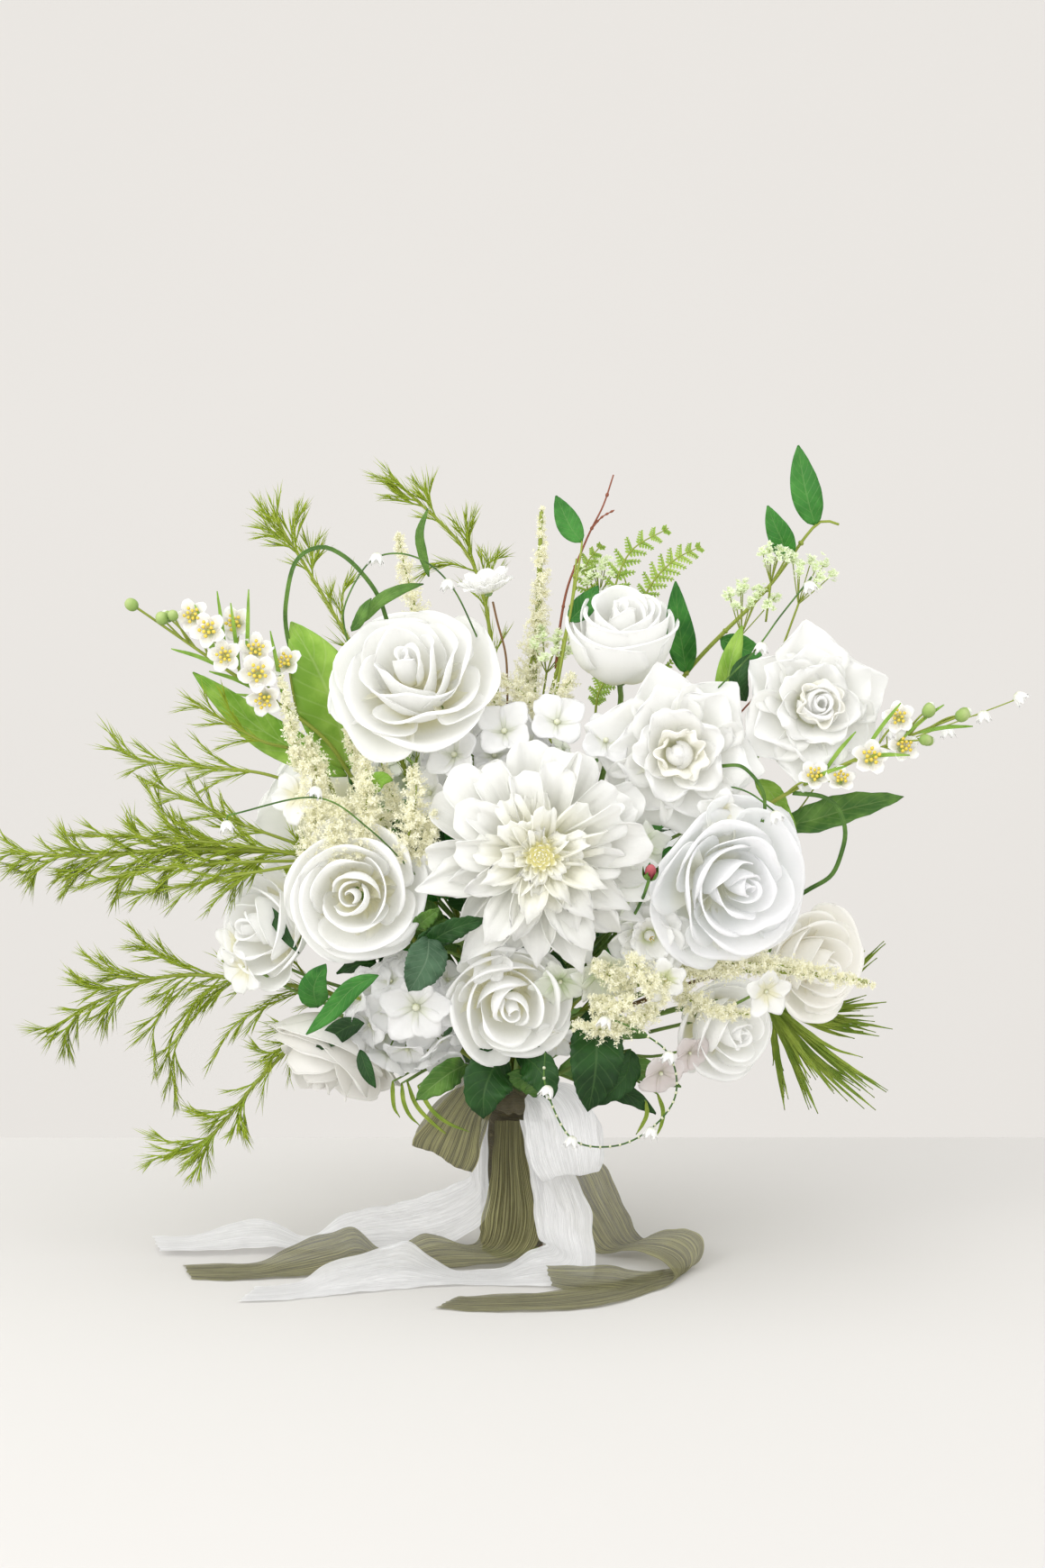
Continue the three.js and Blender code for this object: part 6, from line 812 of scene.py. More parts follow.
def stem_material(name, a, b, rough=0.5):
    n = Nodes(name)
    vec, u, v, r = n.attr()
    st = n.noise(n.scaled(vec, (6, 9, 1)), 4, 4)
    bl = n.noise(n.obj(), 45, 3)
    c = n.mix(st, lin(a), lin(b))
    c = n.mix(n.math("MULTIPLY", bl, 0.35), c, lin(a))
    return n.finish(c, rough, n.bump(st, 0.5, 0.0004), 0.0, spec=0.4)


def ribbon_material(name, a, b, alpha, translucent, edge=0.0):
    """sheer cloth with fine lengthwise ribs: u is across, v along in 100 mm. Its edge argument is no edge but a faint
    emission over the whole cloth, painted light that brightens it
    """
    n = Nodes(name)
    vec, u, v, r = n.attr()
    rib = n.noise(n.scaled(vec, (13, 0.4, 1)), 3, 5, 0.75, 0.15)
    thread = n.noise(n.scaled(vec, (34, 2.0, 1)), 3, 2, 0.6)
    broad = n.noise(n.scaled(vec, (3.2, 2.6, 1)), 2, 3, 0.5)
    lines = n.ramp(rib, [(0.42, (0, 0, 0, 1)), (0.60, (1, 1, 1, 1))])
    c = n.mix(lines, lin(a), lin(b))
    c = n.mix(n.math("MULTIPLY", thread, 0.2), c, lin(a))
    h = n.math("ADD", rib, n.math("MULTIPLY", thread, 0.4))
    al = n.math("ADD", alpha - 0.29, n.math("ADD", n.math("MULTIPLY", rib, 0.40), n.math("MULTIPLY", broad, 0.18)), clamp=True)
    return n.finish(c, 0.6, n.bump(h, 1.0, 0.0016), translucent, sheen=0.2, spec=0.25, alpha=al, painted_glow=edge)




# ---------- petals ----------
def petal(b, C, fr, phi, prof, W, L0=None, s0=0.3, s1=0.8, e=0.28, p=2.4, cup=(8, 30), curl=0.0, flare=0.0, wave=(0, 3, 0), ridge=0.0,
          twist=0.0, tip=0.0, nu=11, nv=11, th=0.7, mat=0, rnd=0.0, under=None, spiral=0.0, tilt=0.0, vmax=1.0, lip=None, nl=6, wrap=None, ridges=8.5):
    """One petal. prof holds four (radius, height) points of its middle line round the flower's axis, W its half width.
    cup: radius across it at the claw and at the rim, or wrap: that radius as a share of the distance from the axis;
    curl: how far the rim bends back; lip: (radius, angle) of a rim that rolls over; e and p: how round or pointed its end is."""
    nu, nv, nl = max(5, int(nu * 0.8) | 1), max(6, round(nv * 0.8)), max(2, round(nl * 0.75))
    a, c, n = fr
    u = np.linspace(-1, 1, nu)[:, None]
    end = 1 - e * np.abs(u) ** p + tip * np.exp(-(u / 0.24) ** 2)
    v = np.linspace(0, vmax, nv)[None, :]
    vv = v * (1 + (end - 1) * v)
    if lip:
        vv = np.concatenate([vv, np.repeat(vv[:, -1:], nl, 1)], 1)
        v = np.concatenate([np.broadcast_to(v, (nu, nv)), np.ones((nu, nl))], 1)
        turn = np.concatenate([np.zeros(nv), np.arange(1, nl + 1) / nl])[None, :] * lip[1] * (1 + 0.28 * np.sin(u * wave[1] * 1.3 + wave[2] * 2.1 + 1)) * (1 - 0.4 * u ** 4)
        lr = lip[0] * (0.35 + 0.65 * (1 - np.abs(u) ** 3)) * (1 + 0.25 * np.sin(u * 4.1 + wave[2]))
    v0 = 0.62
    W_v = np.where(v < v0, s0 + (1 - s0) * np.sin(np.minimum(v / v0, 1) * np.pi / 2), 1 - (1 - s1) * ((np.maximum(v, v0) - v0) / (1 - v0)) ** 2)
    B = np.array(prof, float)
    w0, w1, w2, w3 = (1 - vv) ** 3, 3 * vv * (1 - vv) ** 2, 3 * vv ** 2 * (1 - vv), vv ** 3
    rho = w0 * B[0, 0] + w1 * B[1, 0] + w2 * B[2, 0] + w3 * B[3, 0]
    zz = w0 * B[0, 1] + w1 * B[1, 1] + w2 * B[2, 1] + w3 * B[3, 1]
    d0, d1, d2 = 3 * (1 - vv) ** 2, 6 * vv * (1 - vv), 3 * vv ** 2
    tr = d0 * (B[1, 0] - B[0, 0]) + d1 * (B[2, 0] - B[1, 0]) + d2 * (B[3, 0] - B[2, 0])
    tz = d0 * (B[1, 1] - B[0, 1]) + d1 * (B[2, 1] - B[1, 1]) + d2 * (B[3, 1] - B[2, 1])
    l = np.hypot(tr, tz) + 1e-9
    tr, tz = tr / l, tz / l
    nr, nz = -tz, tr                       # towards the inside of the cup
    x = u * W * W_v
    Rc = cup[0] + (cup[1] - cup[0]) * vv if wrap is None else np.maximum(rho, W * 0.3) * (wrap[0] + (wrap[1] - wrap[0]) * vv)
    ang = np.clip(x / Rc, -2.7, 2.7)
    lat, dep = Rc * np.sin(ang), Rc * (1 - np.cos(ang))
    off = -flare * np.abs(u) ** 3 * vv ** 1.6
    s = np.clip((vv - 0.62) / 0.38, 0, 1)
    off = off - curl * s ** 2
    back = -0.45 * abs(curl) * s ** 3
    off = off + wave[0] * np.sin(u * wave[1] + wave[2]) * vv ** 2.2 + ridge * np.cos(u * ridges) * np.sin(np.pi * np.clip(vv, 0, 1)) + twist * u * vv + spiral * u
    if lip:
        off = off - lr * (1 - np.cos(turn))
        back = back + lr * np.sin(turn)
    I = dep + off * np.cos(ang)
    R = rho + nr * I + tr * back
    Z = zz + nz * I + tz * back + tilt * u * vv
    lat = lat - off * np.sin(ang)
    er = a * math.cos(phi) + c * math.sin(phi)
    et = -a * math.sin(phi) + c * math.cos(phi)
    P = C + R[..., None] * er + lat[..., None] * et + Z[..., None] * n
    uu, v2 = np.broadcast_arrays(u, np.linspace(0, 1, P.shape[1])[None, :] * end if not lip else vv)
    b.grid(P, th, mat, np.stack([uu, v2, np.full_like(uu, rnd)], -1), under)


def frame_of(n, turn=0.0):
    n = unit(n)
    a, c = side_axes(n)
    return a * math.cos(turn) + c * math.sin(turn), -a * math.sin(turn) + c * math.cos(turn), n


def sepals(b, C, fr, hb, r, rng, mat, count=5, length=12):
    for k in range(count):
        phi = 2 * math.pi * (k + 0.3) / count
        petal(b, C, fr, phi, [(2.2, -hb), (r * 0.5, -hb * 0.98), (r * 0.75, -hb * 0.72), (r * 0.9, -hb * 0.55)], length * 0.28, s0=0.8, s1=0.2, e=0.0, p=2,
              cup=(3, 6), nu=5, nv=7, th=0.5, mat=mat, rnd=rng.uniform(0, 1))


# layers of a rose, from the inside out: count, distance of the rim from the axis, its height, half width over
# that distance, radius and angle of the rolled rim, how upright the petal stands (1 is a wall, 0 is a wide bowl)
ROSE = [(3, 0.50, 0.84, 1.25, 1.0, 2.1, 0.75), (4, 0.78, 0.42, 1.10, 1.4, 2.3, 0.5), (5, 1.0, -0.04, 0.98, 1.7, 2.2, 0.45)]
GARDEN = [(3, 0.38, 0.92, 1.25, 0.8, 2.0, 0.7), (4, 0.62, 0.70, 1.12, 1.1, 2.2, 0.5), (4, 0.88, 0.26, 1.08, 1.4, 2.2, 0.4), (5, 1.06, -0.22, 0.92, 1.5, 2.1, 0.35)]
CLOSED = [(3, 0.54, 0.88, 1.22, 1.2, 2.5, 0.95), (4, 0.78, 0.56, 1.10, 1.5, 2.5, 0.9), (5, 0.98, 0.10, 0.92, 1.8, 2.5, 0.8)]
SIDE = [(3, 0.52, 0.97, 1.38, 1.2, 2.5, 0.95), (4, 0.76, 0.80, 1.34, 1.5, 2.5, 0.95), (5, 0.98, 0.50, 1.16, 1.7, 2.4, 0.9)]


def rose(name, h, rng, mats, size=1.06, layers=ROSE, bud=(0.09, 0.30, 4), turn=0.0, th=0.55, tip=0.02, starts=(), ruffle=0.02, point=0.0, wrap=(1.05, 1.42), pin=0.11, top=(0.80, 0.20)):
    b = Build()
    C, R, hf, hb = V3(*h["c"]), h["r"] * size, h["front"], h["back"]
    fr = frame_of(h["n"], turn)
    z0 = -hb * 0.9
    N = bud[2]
    for k in range(N):       # the rolled middle, drawn to a point
        f = k / (N - 1)
        r1 = R * (bud[0] + (bud[1] - bud[0]) * f)
        zt = hf * (1.02 - 0.12 * f + rng.uniform(-0.02, 0.02))
        petal(b, C, fr, k * 2.25 + rng.uniform(-0.2, 0.2), [(r1 * 0.6, z0 * 0.3), (r1 * 1.25, z0 * 0.05), (r1 * 1.15, hf * 0.6), (r1 * (0.74 + 0.16 * f), zt)], r1 * (2.3 - 0.6 * f), s0=0.75, s1=0.84, e=0.16 + 0.12 * f, p=2.0,
              wrap=(1.0, 1.0), spiral=r1 * 0.19, lip=(0.6 + 0.7 * f, 2.3), wave=(r1 * 0.05, 2.2, rng.uniform(0, 6)), nu=19, nv=9, nl=4, th=th * 0.85, rnd=rng.uniform(0.2, 0.7), tip=0.04 + point)
    for i, (cnt, rr, zz, ww, lr, la, up) in enumerate(layers):
        start = starts[i] if i < len(starts) else rng.uniform(0, 6)
        for k in range(cnt):
            phi = start + 2 * math.pi * k / cnt + rng.uniform(-0.22, 0.22)
            r1, z1 = R * rr * rng.uniform(0.92, 1.06), hf * zz + rng.uniform(-1, 1) * R * 0.07
            rise = z1 - z0
            petal(b, C, fr, phi, [(R * 0.10, z0 + i * 0.4), (r1 * (0.55 + 0.5 * up), z0 + rise * 0.10), (r1 * (0.78 + 0.22 * up), z1 - rise * (0.16 + 0.16 * up)), (r1, z1)],
                  r1 * ww * rng.uniform(0.95, 1.08), s0=0.46, s1=top[0], e=top[1], p=2.4, wrap=wrap, spiral=-r1 * pin, lip=(lr * rng.uniform(0.7, 1.25) * R / 40, la * rng.uniform(0.7, 1.1)), flare=R * 0.02 * i,
                  wave=(R * ruffle * (0.6 + 0.4 * i), rng.uniform(2.5, 4.5), rng.uniform(0, 6)), tip=tip, nu=21, nv=11, nl=6, th=th, rnd=rng.uniform(0, 0.5), tilt=rng.uniform(-1, 1) * R * 0.13)
    b.tube([C + fr[2] * (-hb - 0.3), C + fr[2] * (-hb + 2), C + fr[2] * (z0 + 3)], [2.3, 3.6, 4.4], 10, 1)
    sepals(b, C, fr, hb, R * 0.55, rng, 1)
    return b.make(name, mats, [name], h["slot"])


def gardenia(name, h, rng, mats, size=1.15, turn=0.0, ball=True, th=0.55):
    b = Build()
    C, R, hf, hb = V3(*h["c"]), h["r"] * size, h["front"], h["back"]
    fr = frame_of(h["n"], turn)
    z0 = -hb * 0.85
    if ball:                 # a round closed bud, loosely held by a cup of rounded petals
        for k in range(4):
            r1 = R * (0.075 + 0.03 * k)
            petal(b, C, fr, k * 2.0, [(r1 * 0.5, z0 * 0.1), (r1 * 1.5, z0 * 0.0), (r1 * 1.35, hf * 0.75), (r1 * 0.25, hf * (0.98 - 0.05 * k))], r1 * 2.0, s0=0.7, s1=0.7, e=0.12, p=2.2, wrap=(1.0, 1.0), spiral=r1 * 0.10, lip=(0.5, 1.4),
                  nu=15, nv=9, nl=3, th=th, rnd=0.1, mat=0)
        b.ball(C + fr[2] * hf * 0.70, (R * 0.075, R * 0.075, R * 0.12), 0, fr[2], 10, 7, 0.2)
    else:                    # a half-open bud
        for k in range(6):
            f = k / 5
            r1 = R * (0.08 + 0.19 * f)
            petal(b, C, fr, k * 2.35, [(r1 * 0.5, z0 * 0.3), (r1 * 1.3, z0 * 0.05), (r1 * 1.2, hf * 0.6), (r1 * (0.7 + 0.2 * f), hf * (1.1 - 0.06 * f))], r1 * (2.3 - 0.5 * f), s0=0.7, s1=0.85, e=0.15, p=2.2, wrap=(1.0, 1.0), spiral=r1 * 0.15,
                  lip=(0.8 + 0.5 * f, 2.4), nu=17, nv=8, nl=4, th=th, rnd=0.3, mat=0)
    rings = [(5, 0.30, 0.90, 0.85, 0.9, 1.9, 0.12, 0.12, 2.6, 2), (5, 0.56, 0.72, 0.78, 1.1, 1.9, 0.2, 0.22, 2.0, 0), (6, 0.84, 0.30, 0.62, 1.1, 1.8, 0.26, 0.28, 1.7, 0), (6, 1.08, -0.20, 0.56, 1.1, 1.6, 0.3, 0.32, 1.5, 0)]
    for i, (cnt, rr, zz, ww, lr, la, op, ee, pp, m) in enumerate(rings):
        start = i * 0.55 + rng.uniform(0, 1)
        for k in range(cnt):
            phi = start + 2 * math.pi * k / cnt + rng.uniform(-0.13, 0.13)
            r1, z1 = R * rr * rng.uniform(0.93, 1.06), hf * zz + rng.uniform(-1, 1) * R * 0.06
            petal(b, C, fr, phi, [(R * 0.06, z0 * 0.4 + i * 0.4), (r1 * (0.8 if i < 1 else 0.5), z0 * 0.35), (r1 * 0.78, z1 - (z1 - z0 * 0.35) * 0.12), (r1 * (1.0 + op * 0.2), z1)],
                  r1 * ww * rng.uniform(0.94, 1.1), s0=0.4, s1=0.68, e=ee, p=pp, cup=(R * 0.22, R * (0.36 if i == 0 else 0.5 if i == 1 else 0.8)), lip=(lr * rng.uniform(0.7, 1.3), la * rng.uniform(0.6, 1.2)), flare=R * 0.05 * i,
                  wave=(R * 0.075, rng.uniform(3, 6), rng.uniform(0, 6)), ridge=R * 0.008, tip=0.0 if i == 0 else 0.09, nu=19, nv=11, nl=5, th=th, rnd=rng.uniform(0, 0.5), tilt=rng.uniform(-1, 1) * R * 0.11, mat=m)
    b.tube([C + fr[2] * (-hb - 0.3), C + fr[2] * (-hb + 2), C + fr[2] * (z0 + 3)], [2.3, 3.4, 4.2], 10, 1)
    sepals(b, C, fr, hb, R * 0.5, rng, 1)
    return b.make(name, mats, [name], h["slot"])


def dahlia(name, h, rng, mats):
    b = Build()
    C, R, hf, hb = V3(*h["c"]), h["r"], h["front"], h["back"]
    fr = frame_of(h["n"], 0.0)
    a, c, n = fr
    z0 = -hb * 0.8
    # rings from the back to the front: count, reach, height of the tip, half width, cup at the tip, arch, rolled rim
    rings = [(10, 1.12, -16, 0.27, 22, 3, 1.2), (10, 1.17, -6, 0.26, 17, 6, 1.3), (10, 1.03, 4, 0.245, 13, 9, 1.3), (10, 0.86, 12, 0.21, 10, 10, 1.2), (9, 0.66, 18, 0.175, 8, 9, 1.0), (9, 0.46, 21, 0.13, 5.5, 7, 0.7), (8, 0.30, 22, 0.095, 4.2, 5, 0.5)]
    for i, (cnt, rr, zt, ww, cu, arch, lr) in enumerate(rings):
        start = i * 0.37 + 0.1
        for k in range(cnt):
            phi = start + 2 * math.pi * k / cnt + rng.uniform(-0.2, 0.2)
            low = (a * math.cos(phi) + c * math.sin(phi))[2] < -0.25       # petals that hang at the bottom are pointed
            r1 = R * rr * rng.uniform(0.86, 1.06)
            z1 = zt + rng.uniform(-6, 6)
            rb, zb = R * 0.06, z0 + i * 3.4 + 2
            petal(b, C, fr, phi, [(rb, zb), (r1 * 0.36, zb + (z1 - zb) * 0.25 - arch * 0.2), (r1 * 0.72, z1 + arch), (r1, z1 - 2)],
                  R * ww * rng.uniform(0.92, 1.12), s0=0.30, s1=0.52 if low else 0.74, e=0.20 if low else 0.12, p=1.5 if low else 2.4, cup=(5, cu * rng.uniform(0.8, 1.3)), curl=R * rng.uniform(-0.02, 0.05), flare=R * 0.02,
                  wave=(R * 0.035, rng.uniform(3, 6), rng.uniform(0, 6)), ridge=R * 0.019, ridges=11.0, tip=0.09 if low else 0.0, lip=(lr * rng.uniform(0.5, 1.2), rng.uniform(1.2, 2.4)), nl=4, nu=17, nv=12, th=0.55, rnd=rng.uniform(0, 0.35),
                  tilt=rng.uniform(-1, 1) * R * 0.13, twist=rng.uniform(-1, 1) * R * 0.05, mat=0 if i < 4 else 1)
    b.ball(C + n * (hf * 0.25), (R * 0.07, R * 0.07, R * 0.09), 1, n, 12, 8, 0.8)
    for k in range(40):      # small strap petals in the middle
        f = k / 40
        phi = k * 2.4
        r1 = R * (0.025 + 0.165 * f)
        petal(b, C, fr, phi, [(R * 0.02, 2), (r1 * 0.8, 7), (r1 * 1.2, hf * 0.9), (r1 * (0.8 + 0.6 * f), hf + 6 + 2 * f + rng.uniform(-2, 2))], R * 0.030 * (1 + f), s0=0.6, s1=0.5, e=0.2, p=1.7,
              cup=(2.2, 3.6), nu=7, nv=8, th=0.45, rnd=rng.uniform(0, 1), mat=2)
    b.tube([C + n * (-hb - 0.3), C + n * (-hb + 3), C + n * (z0 + 6)], [2.6, 6, 9], 12, 4)
    sepals(b, C, fr, hb, R * 0.35, rng, 4, 8, 16)
    return b.make(name, mats, [name], h["slot"])


def four_petals(b, c, n, r, rng, count=4, mat=0, eye=None, pointed=False, cupz=0.25, th=0.45, nu=7, nv=7, eye_r=0.09):
    fr = frame_of(n, rng.uniform(0, 1.57))
    for k in range(count):
        phi = 2 * math.pi * k / count + rng.uniform(-0.1, 0.1)
        rr = r * rng.uniform(0.88, 1.08)
        petal(b, c, fr, phi, [(r * 0.04, 0), (rr * 0.35, r * 0.02), (rr * 0.7, r * cupz), (rr, r * cupz * rng.uniform(0.3, 1.3))], r * (0.52 if count == 4 else 0.42), s0=0.22, s1=0.7 if not pointed else 0.5, e=0.3 if not pointed else 0.35,
              p=2.2 if not pointed else 1.4, cup=(r * 0.4, r * 1.1), curl=r * rng.uniform(-0.04, 0.12), wave=(r * 0.04, rng.uniform(3, 6), rng.uniform(0, 6)), ridge=r * 0.012,
              nu=nu, nv=nv, th=th, rnd=rng.uniform(0, 1), mat=mat, tilt=rng.uniform(-1, 1) * r * 0.06)
    if eye is not None:
        b.ball(c + fr[2] * r * 0.06, r * eye_r, eye, fr[2], 7, 4)


def hydrangea(name, h, rng, mats, florets, fr_r, line, stem_mat=2, front=()):
    b = Build()
    for q, d, r, cnt in front:
        four_petals(b, V3(*q), unit(V3(*d)), r, rng, cnt, mat=0, eye=1, nu=13, nv=11, eye_r=0.10)
    C, R, hf, hb, n = V3(*h["c"]), h["r"], h["front"], h["back"], unit(h["n"])
    a, c = side_axes(n)
    hh, mid, t = (hf + hb) / 2, (hf - hb) / 2, 0
    t = min(hh, R); core = R - t
    for k in range(florets):
        z = 1 - (k + 0.5) / florets * 1.62
        ph = k * 2.399963
        s = math.sqrt(max(0, 1 - z * z))
        lat = a * math.cos(ph) + c * math.sin(ph)
        p = C + n * mid + lat * (core + t - 5) * s + n * (hh - 5) * math.copysign(abs(z) ** 0.75, z)
        d = unit(lat * s + n * z * 0.9 + rng.normal(0, 0.13, 3))
        four_petals(b, p + d * rng.uniform(0.5, 4), d, fr_r * rng.uniform(0.85, 1.12), rng, mat=0, eye=1, nu=7 if florets > 60 else 9, nv=7 if florets > 60 else 8)
        foot = C - n * (hb * 0.5)
        b.tube(spline([foot + (p - foot) * 0.25, foot * 0.4 + p * 0.6 - n * 2, p + d * 2], 4), [0.9, 0.6, 0.5, 0.4], 4, stem_mat, cap=False)
    b.tube(spline(line, 26), np.interp(np.linspace(0, 1, 26), [0, 0.25, 1], [2.1, 1.9, 1.7]), 8, stem_mat)
    b.ball(C - n * hb * 0.55, (R * 0.3, R * 0.3, hb * 0.4), stem_mat, n, 10, 6)
    return b.make(name, mats, [name], "hydrangea_petal")


# ---------- leaves, blades and needles ----------
def leaf(b, pts, widths, facing, fold=0.22, ripple=0.0, serr=(0, 0), nu=9, nv=18, th=0.4, mat=0, rnd=0.0, roll=0.0, wave_n=5, shape=None):
    """A leaf along pts; widths at its points; folded up along the midrib; serr = (number of teeth, depth as a share)"""
    if nu > 5:
        nu = max(5, int(nu * 0.8) | 1)
    if nv > 9 and not serr[0]:
        nv = round(nv * 0.72)
    c = spline(pts, nv)
    t = unit(np.gradient(c, axis=0))
    f = unit(np.array(facing, float))
    lat = unit(np.cross(t, f))
    nrm = np.cross(lat, t)
    s = np.linspace(0, 1, nv)
    if shape is not None:
        w = shape(s)
    else:
        w = np.interp(s, np.linspace(0, 1, len(widths)), widths) / 2
        k = np.ones(3) / 3
        w2 = np.convolve(np.r_[w[0], w, w[-1]], k, "valid")
        w = np.where((s > 0.08) & (s < 0.94), w2, w)
    if serr[0]:
        tooth = (s * serr[0]) % 1
        w = w * (1 - serr[1] * tooth)
    u = np.linspace(-1, 1, nu)[:, None]
    dep = fold * np.abs(u) * w[None] + ripple * np.sin(s[None] * wave_n * 6.28 + np.sign(u) * 0.8) * u ** 2 + roll * u * s[None] * w[None]
    P = c[None] + lat[None] * (u * w[None] * math.cos(min(fold, 1) * 0.6))[..., None] + nrm[None] * dep[..., None]
    uu, v = np.broadcast_arrays(u, s[None])
    b.grid(P, th, mat, np.stack([uu, v, np.full_like(uu, rnd)], -1))


def oval(length_share=0.5, w=8.0, tip=0.9, base=0.6):
    def f(s):
        x = s ** (math.log(0.5) / math.log(length_share))
        return np.maximum(w * np.sin(np.pi * np.clip(x, 0, 1)) ** (0.75) * (1 - (1 - tip) * s), 0.25)
    return f


def needle_spray(b, line, rng, per=1.0, length=(8, 14), width=0.95, angle=0.42, mat=0, skip=0.0, droop=0.0, stalk=0.7):
    """thin curved needles along a twig, most of them to its two sides, leaning towards its tip"""
    run = np.linalg.norm(np.diff(np.asarray(line, float), axis=0), axis=1).sum()
    c = spline(line, max(6, int(run * per)))
    t = unit(np.gradient(c, axis=0))
    n = len(c)
    keep = np.linspace(0, 1, n) >= skip
    base, t = c[keep], t[keep]
    m = len(base)
    a = unit(np.cross(t, V3(0.1, -1, 0.25)))
    d = np.cross(t, a)
    f = np.linspace(skip, 1, m)
    for side in (-1, 1):
        ph = rng.normal(0, 0.5, m)
        an = angle * rng.uniform(0.55, 1.25, m)
        dirn = t * np.cos(an)[:, None] + (a * np.cos(ph)[:, None] * side + d * np.sin(ph)[:, None]) * np.sin(an)[:, None]
        L = rng.uniform(*length, m) * (1 - 0.4 * f)
        bend = t * 0.14 + V3(0, 0, droop)[None] + rng.normal(0, 0.10, (m, 3))
        b.spikes(base, dirn, L, width * rng.uniform(0.8, 1.2, m), mat, bend, rng.uniform(0, 1, m))
    b.tube(c, np.linspace(0.85, 0.4, n) * stalk / 0.7, 5, mat, attr_rnd=0.6, cap=False)


def branch(b, line, tips, rng, mat=0, bow=5.0, needle=(8, 13), width=0.72, angle=0.3, per=0.6, main=True, droop=0.0, skip=0.06, twigs=10, twig_len=30, start=0.15):
    """a twig set with needles, with side twigs that end at the given tips and more, shorter ones all along"""
    c = spline(line, 60)
    run = np.linalg.norm(np.diff(c, axis=0), axis=1).sum()
    if main:
        needle_spray(b, line, rng, per, needle, width, angle, mat, skip=start, droop=droop)
    sub = []
    for tp in tips:
        d = np.linalg.norm(c - tp, axis=1)
        far = d.min()
        k = int(d.argmin())
        back = max(2, k - int((rng.uniform(0.5, 1.1) * far + 8) / run * 60))
        s = c[back]
        m = (s + tp) / 2 + unit(c[min(59, back + 1)] - c[back - 1]) * far * 0.22 + V3(0, rng.uniform(-2, 2), rng.uniform(-0.3, 0.3) * bow)
        sub.append([s, m, tp])
        q = spline([s, m, tp], 24)
        for g in rng.uniform(0.2, 0.8, 2):       # short twiglets off each side twig
            i = int(g * 23)
            t = unit(q[i + 1] - q[i - 1])
            o = unit(np.cross(t, V3(0.1, -1, 0.2))) * rng.choice([-1, 1])
            L = rng.uniform(8, 15) * (1.1 - g * 0.4)
            sub.append([q[i], q[i] + t * L * 0.55 + o * L * 0.25, q[i] + t * L + o * L * 0.5 + V3(0, rng.uniform(-3, 3), 0)])
    side = 1
    for k in range(twigs):
        g = start + (0.95 - start) * (k + 0.5) / twigs
        i = int(g * 58)
        t = unit(c[i + 1] - c[i - 1] if i else c[1] - c[0])
        side = -side
        o = unit(np.cross(t, V3(0.1, -1, 0.2)) * side + V3(0, rng.uniform(-0.7, 0.3), 0))
        L = twig_len * (1.05 - 0.75 * g) * rng.uniform(0.7, 1.15)
        sub.append([c[i], c[i] + t * L * 0.55 + o * L * 0.24, c[i] + t * L * 0.95 + o * L * 0.55])
    for q in sub:
        needle_spray(b, q, rng, per, (needle[0] * 0.75, needle[1] * 0.9), width * 0.95, angle, mat, skip=skip, droop=droop, stalk=0.5)


def plume(b, line, radii, rng, dens=6.0, size=2.1, mat=0, twig=1):
    """a fluffy plume of tiny flowers: they gather in tufts round a thin axis, so its outline is ragged"""
    n = 60
    c = spline(line, n)
    t = unit(np.gradient(c, axis=0))
    r = np.interp(np.linspace(0, 1, n), np.linspace(0, 1, len(radii)), radii)
    run = np.linalg.norm(np.diff(c, axis=0), axis=1).sum()
    b.tube(c, np.linspace(1.0, 0.4, n), 5, twig, cap=False)
    cnt = int(run * dens * 0.56 * np.mean(r) / 5)
    tufts = max(12, int(run * (np.mean(r) + 2) / 3.4))
    tk = rng.choice(n, tufts, p=(r + 1.2) / (r + 1.2).sum())
    tph = rng.uniform(0, 2 * np.pi, tufts)
    a = unit(np.cross(t[tk], V3(0.2, -1, 0.3)))
    d = np.cross(t[tk], a)
    out = a * np.cos(tph)[:, None] + d * np.sin(tph)[:, None]
    reach = r[tk] * rng.uniform(0.5, 1.3, tufts)
    dirn = unit(out + t[tk] * rng.uniform(0.3, 1.0, (tufts, 1)))
    which = rng.integers(0, tufts, cnt)
    f = rng.uniform(0.1, 1, cnt) ** 0.75
    pos = c[tk][which] + dirn[which] * (reach[which] * f)[:, None] + rng.normal(0, 0.8, (cnt, 3)) * (1.2 - 0.6 * f)[:, None]
    b.florets(pos, dirn[which] + rng.normal(0, 0.6, (cnt, 3)), size * 1.2 * rng.uniform(0.5, 1.1, cnt) * (1.1 - 0.35 * f), petals=3, lift=0.5, width=0.62, mat=mat, rng=rng)
    b.spikes(c[tk], dirn, reach * 0.95, 0.45, mat, rnd=rng.uniform(0, 1, tufts))


def bell(b, c, d, r, rng, mat=0, stalk=None, stalk_mat=1):
    """a small nodding bell with six turned-up teeth"""
    fr = frame_of(d)
    for k in range(6):
        petal(b, c, fr, k * math.pi / 3, [(0.12 * r, -0.95 * r), (0.95 * r, -0.9 * r), (0.85 * r, 0.35 * r), (1.15 * r, 0.8 * r)], r * 0.5, s0=0.5, s1=0.45, e=0.2, p=1.5, cup=(r * 0.5, r * 0.9), nu=5, nv=8, th=0.35, mat=mat, rnd=rng.uniform(0, 1))
    b.ball(c - fr[2] * 0.2 * r, (r * 0.35, r * 0.35, r * 0.5), mat, fr[2], 6, 4)
    if stalk is not None:
        b.tube(spline([stalk, (stalk + c) / 2 + V3(0, 0, r * 0.3), c - fr[2] * r * 0.9], 6), [0.45] * 6, 5, stalk_mat)


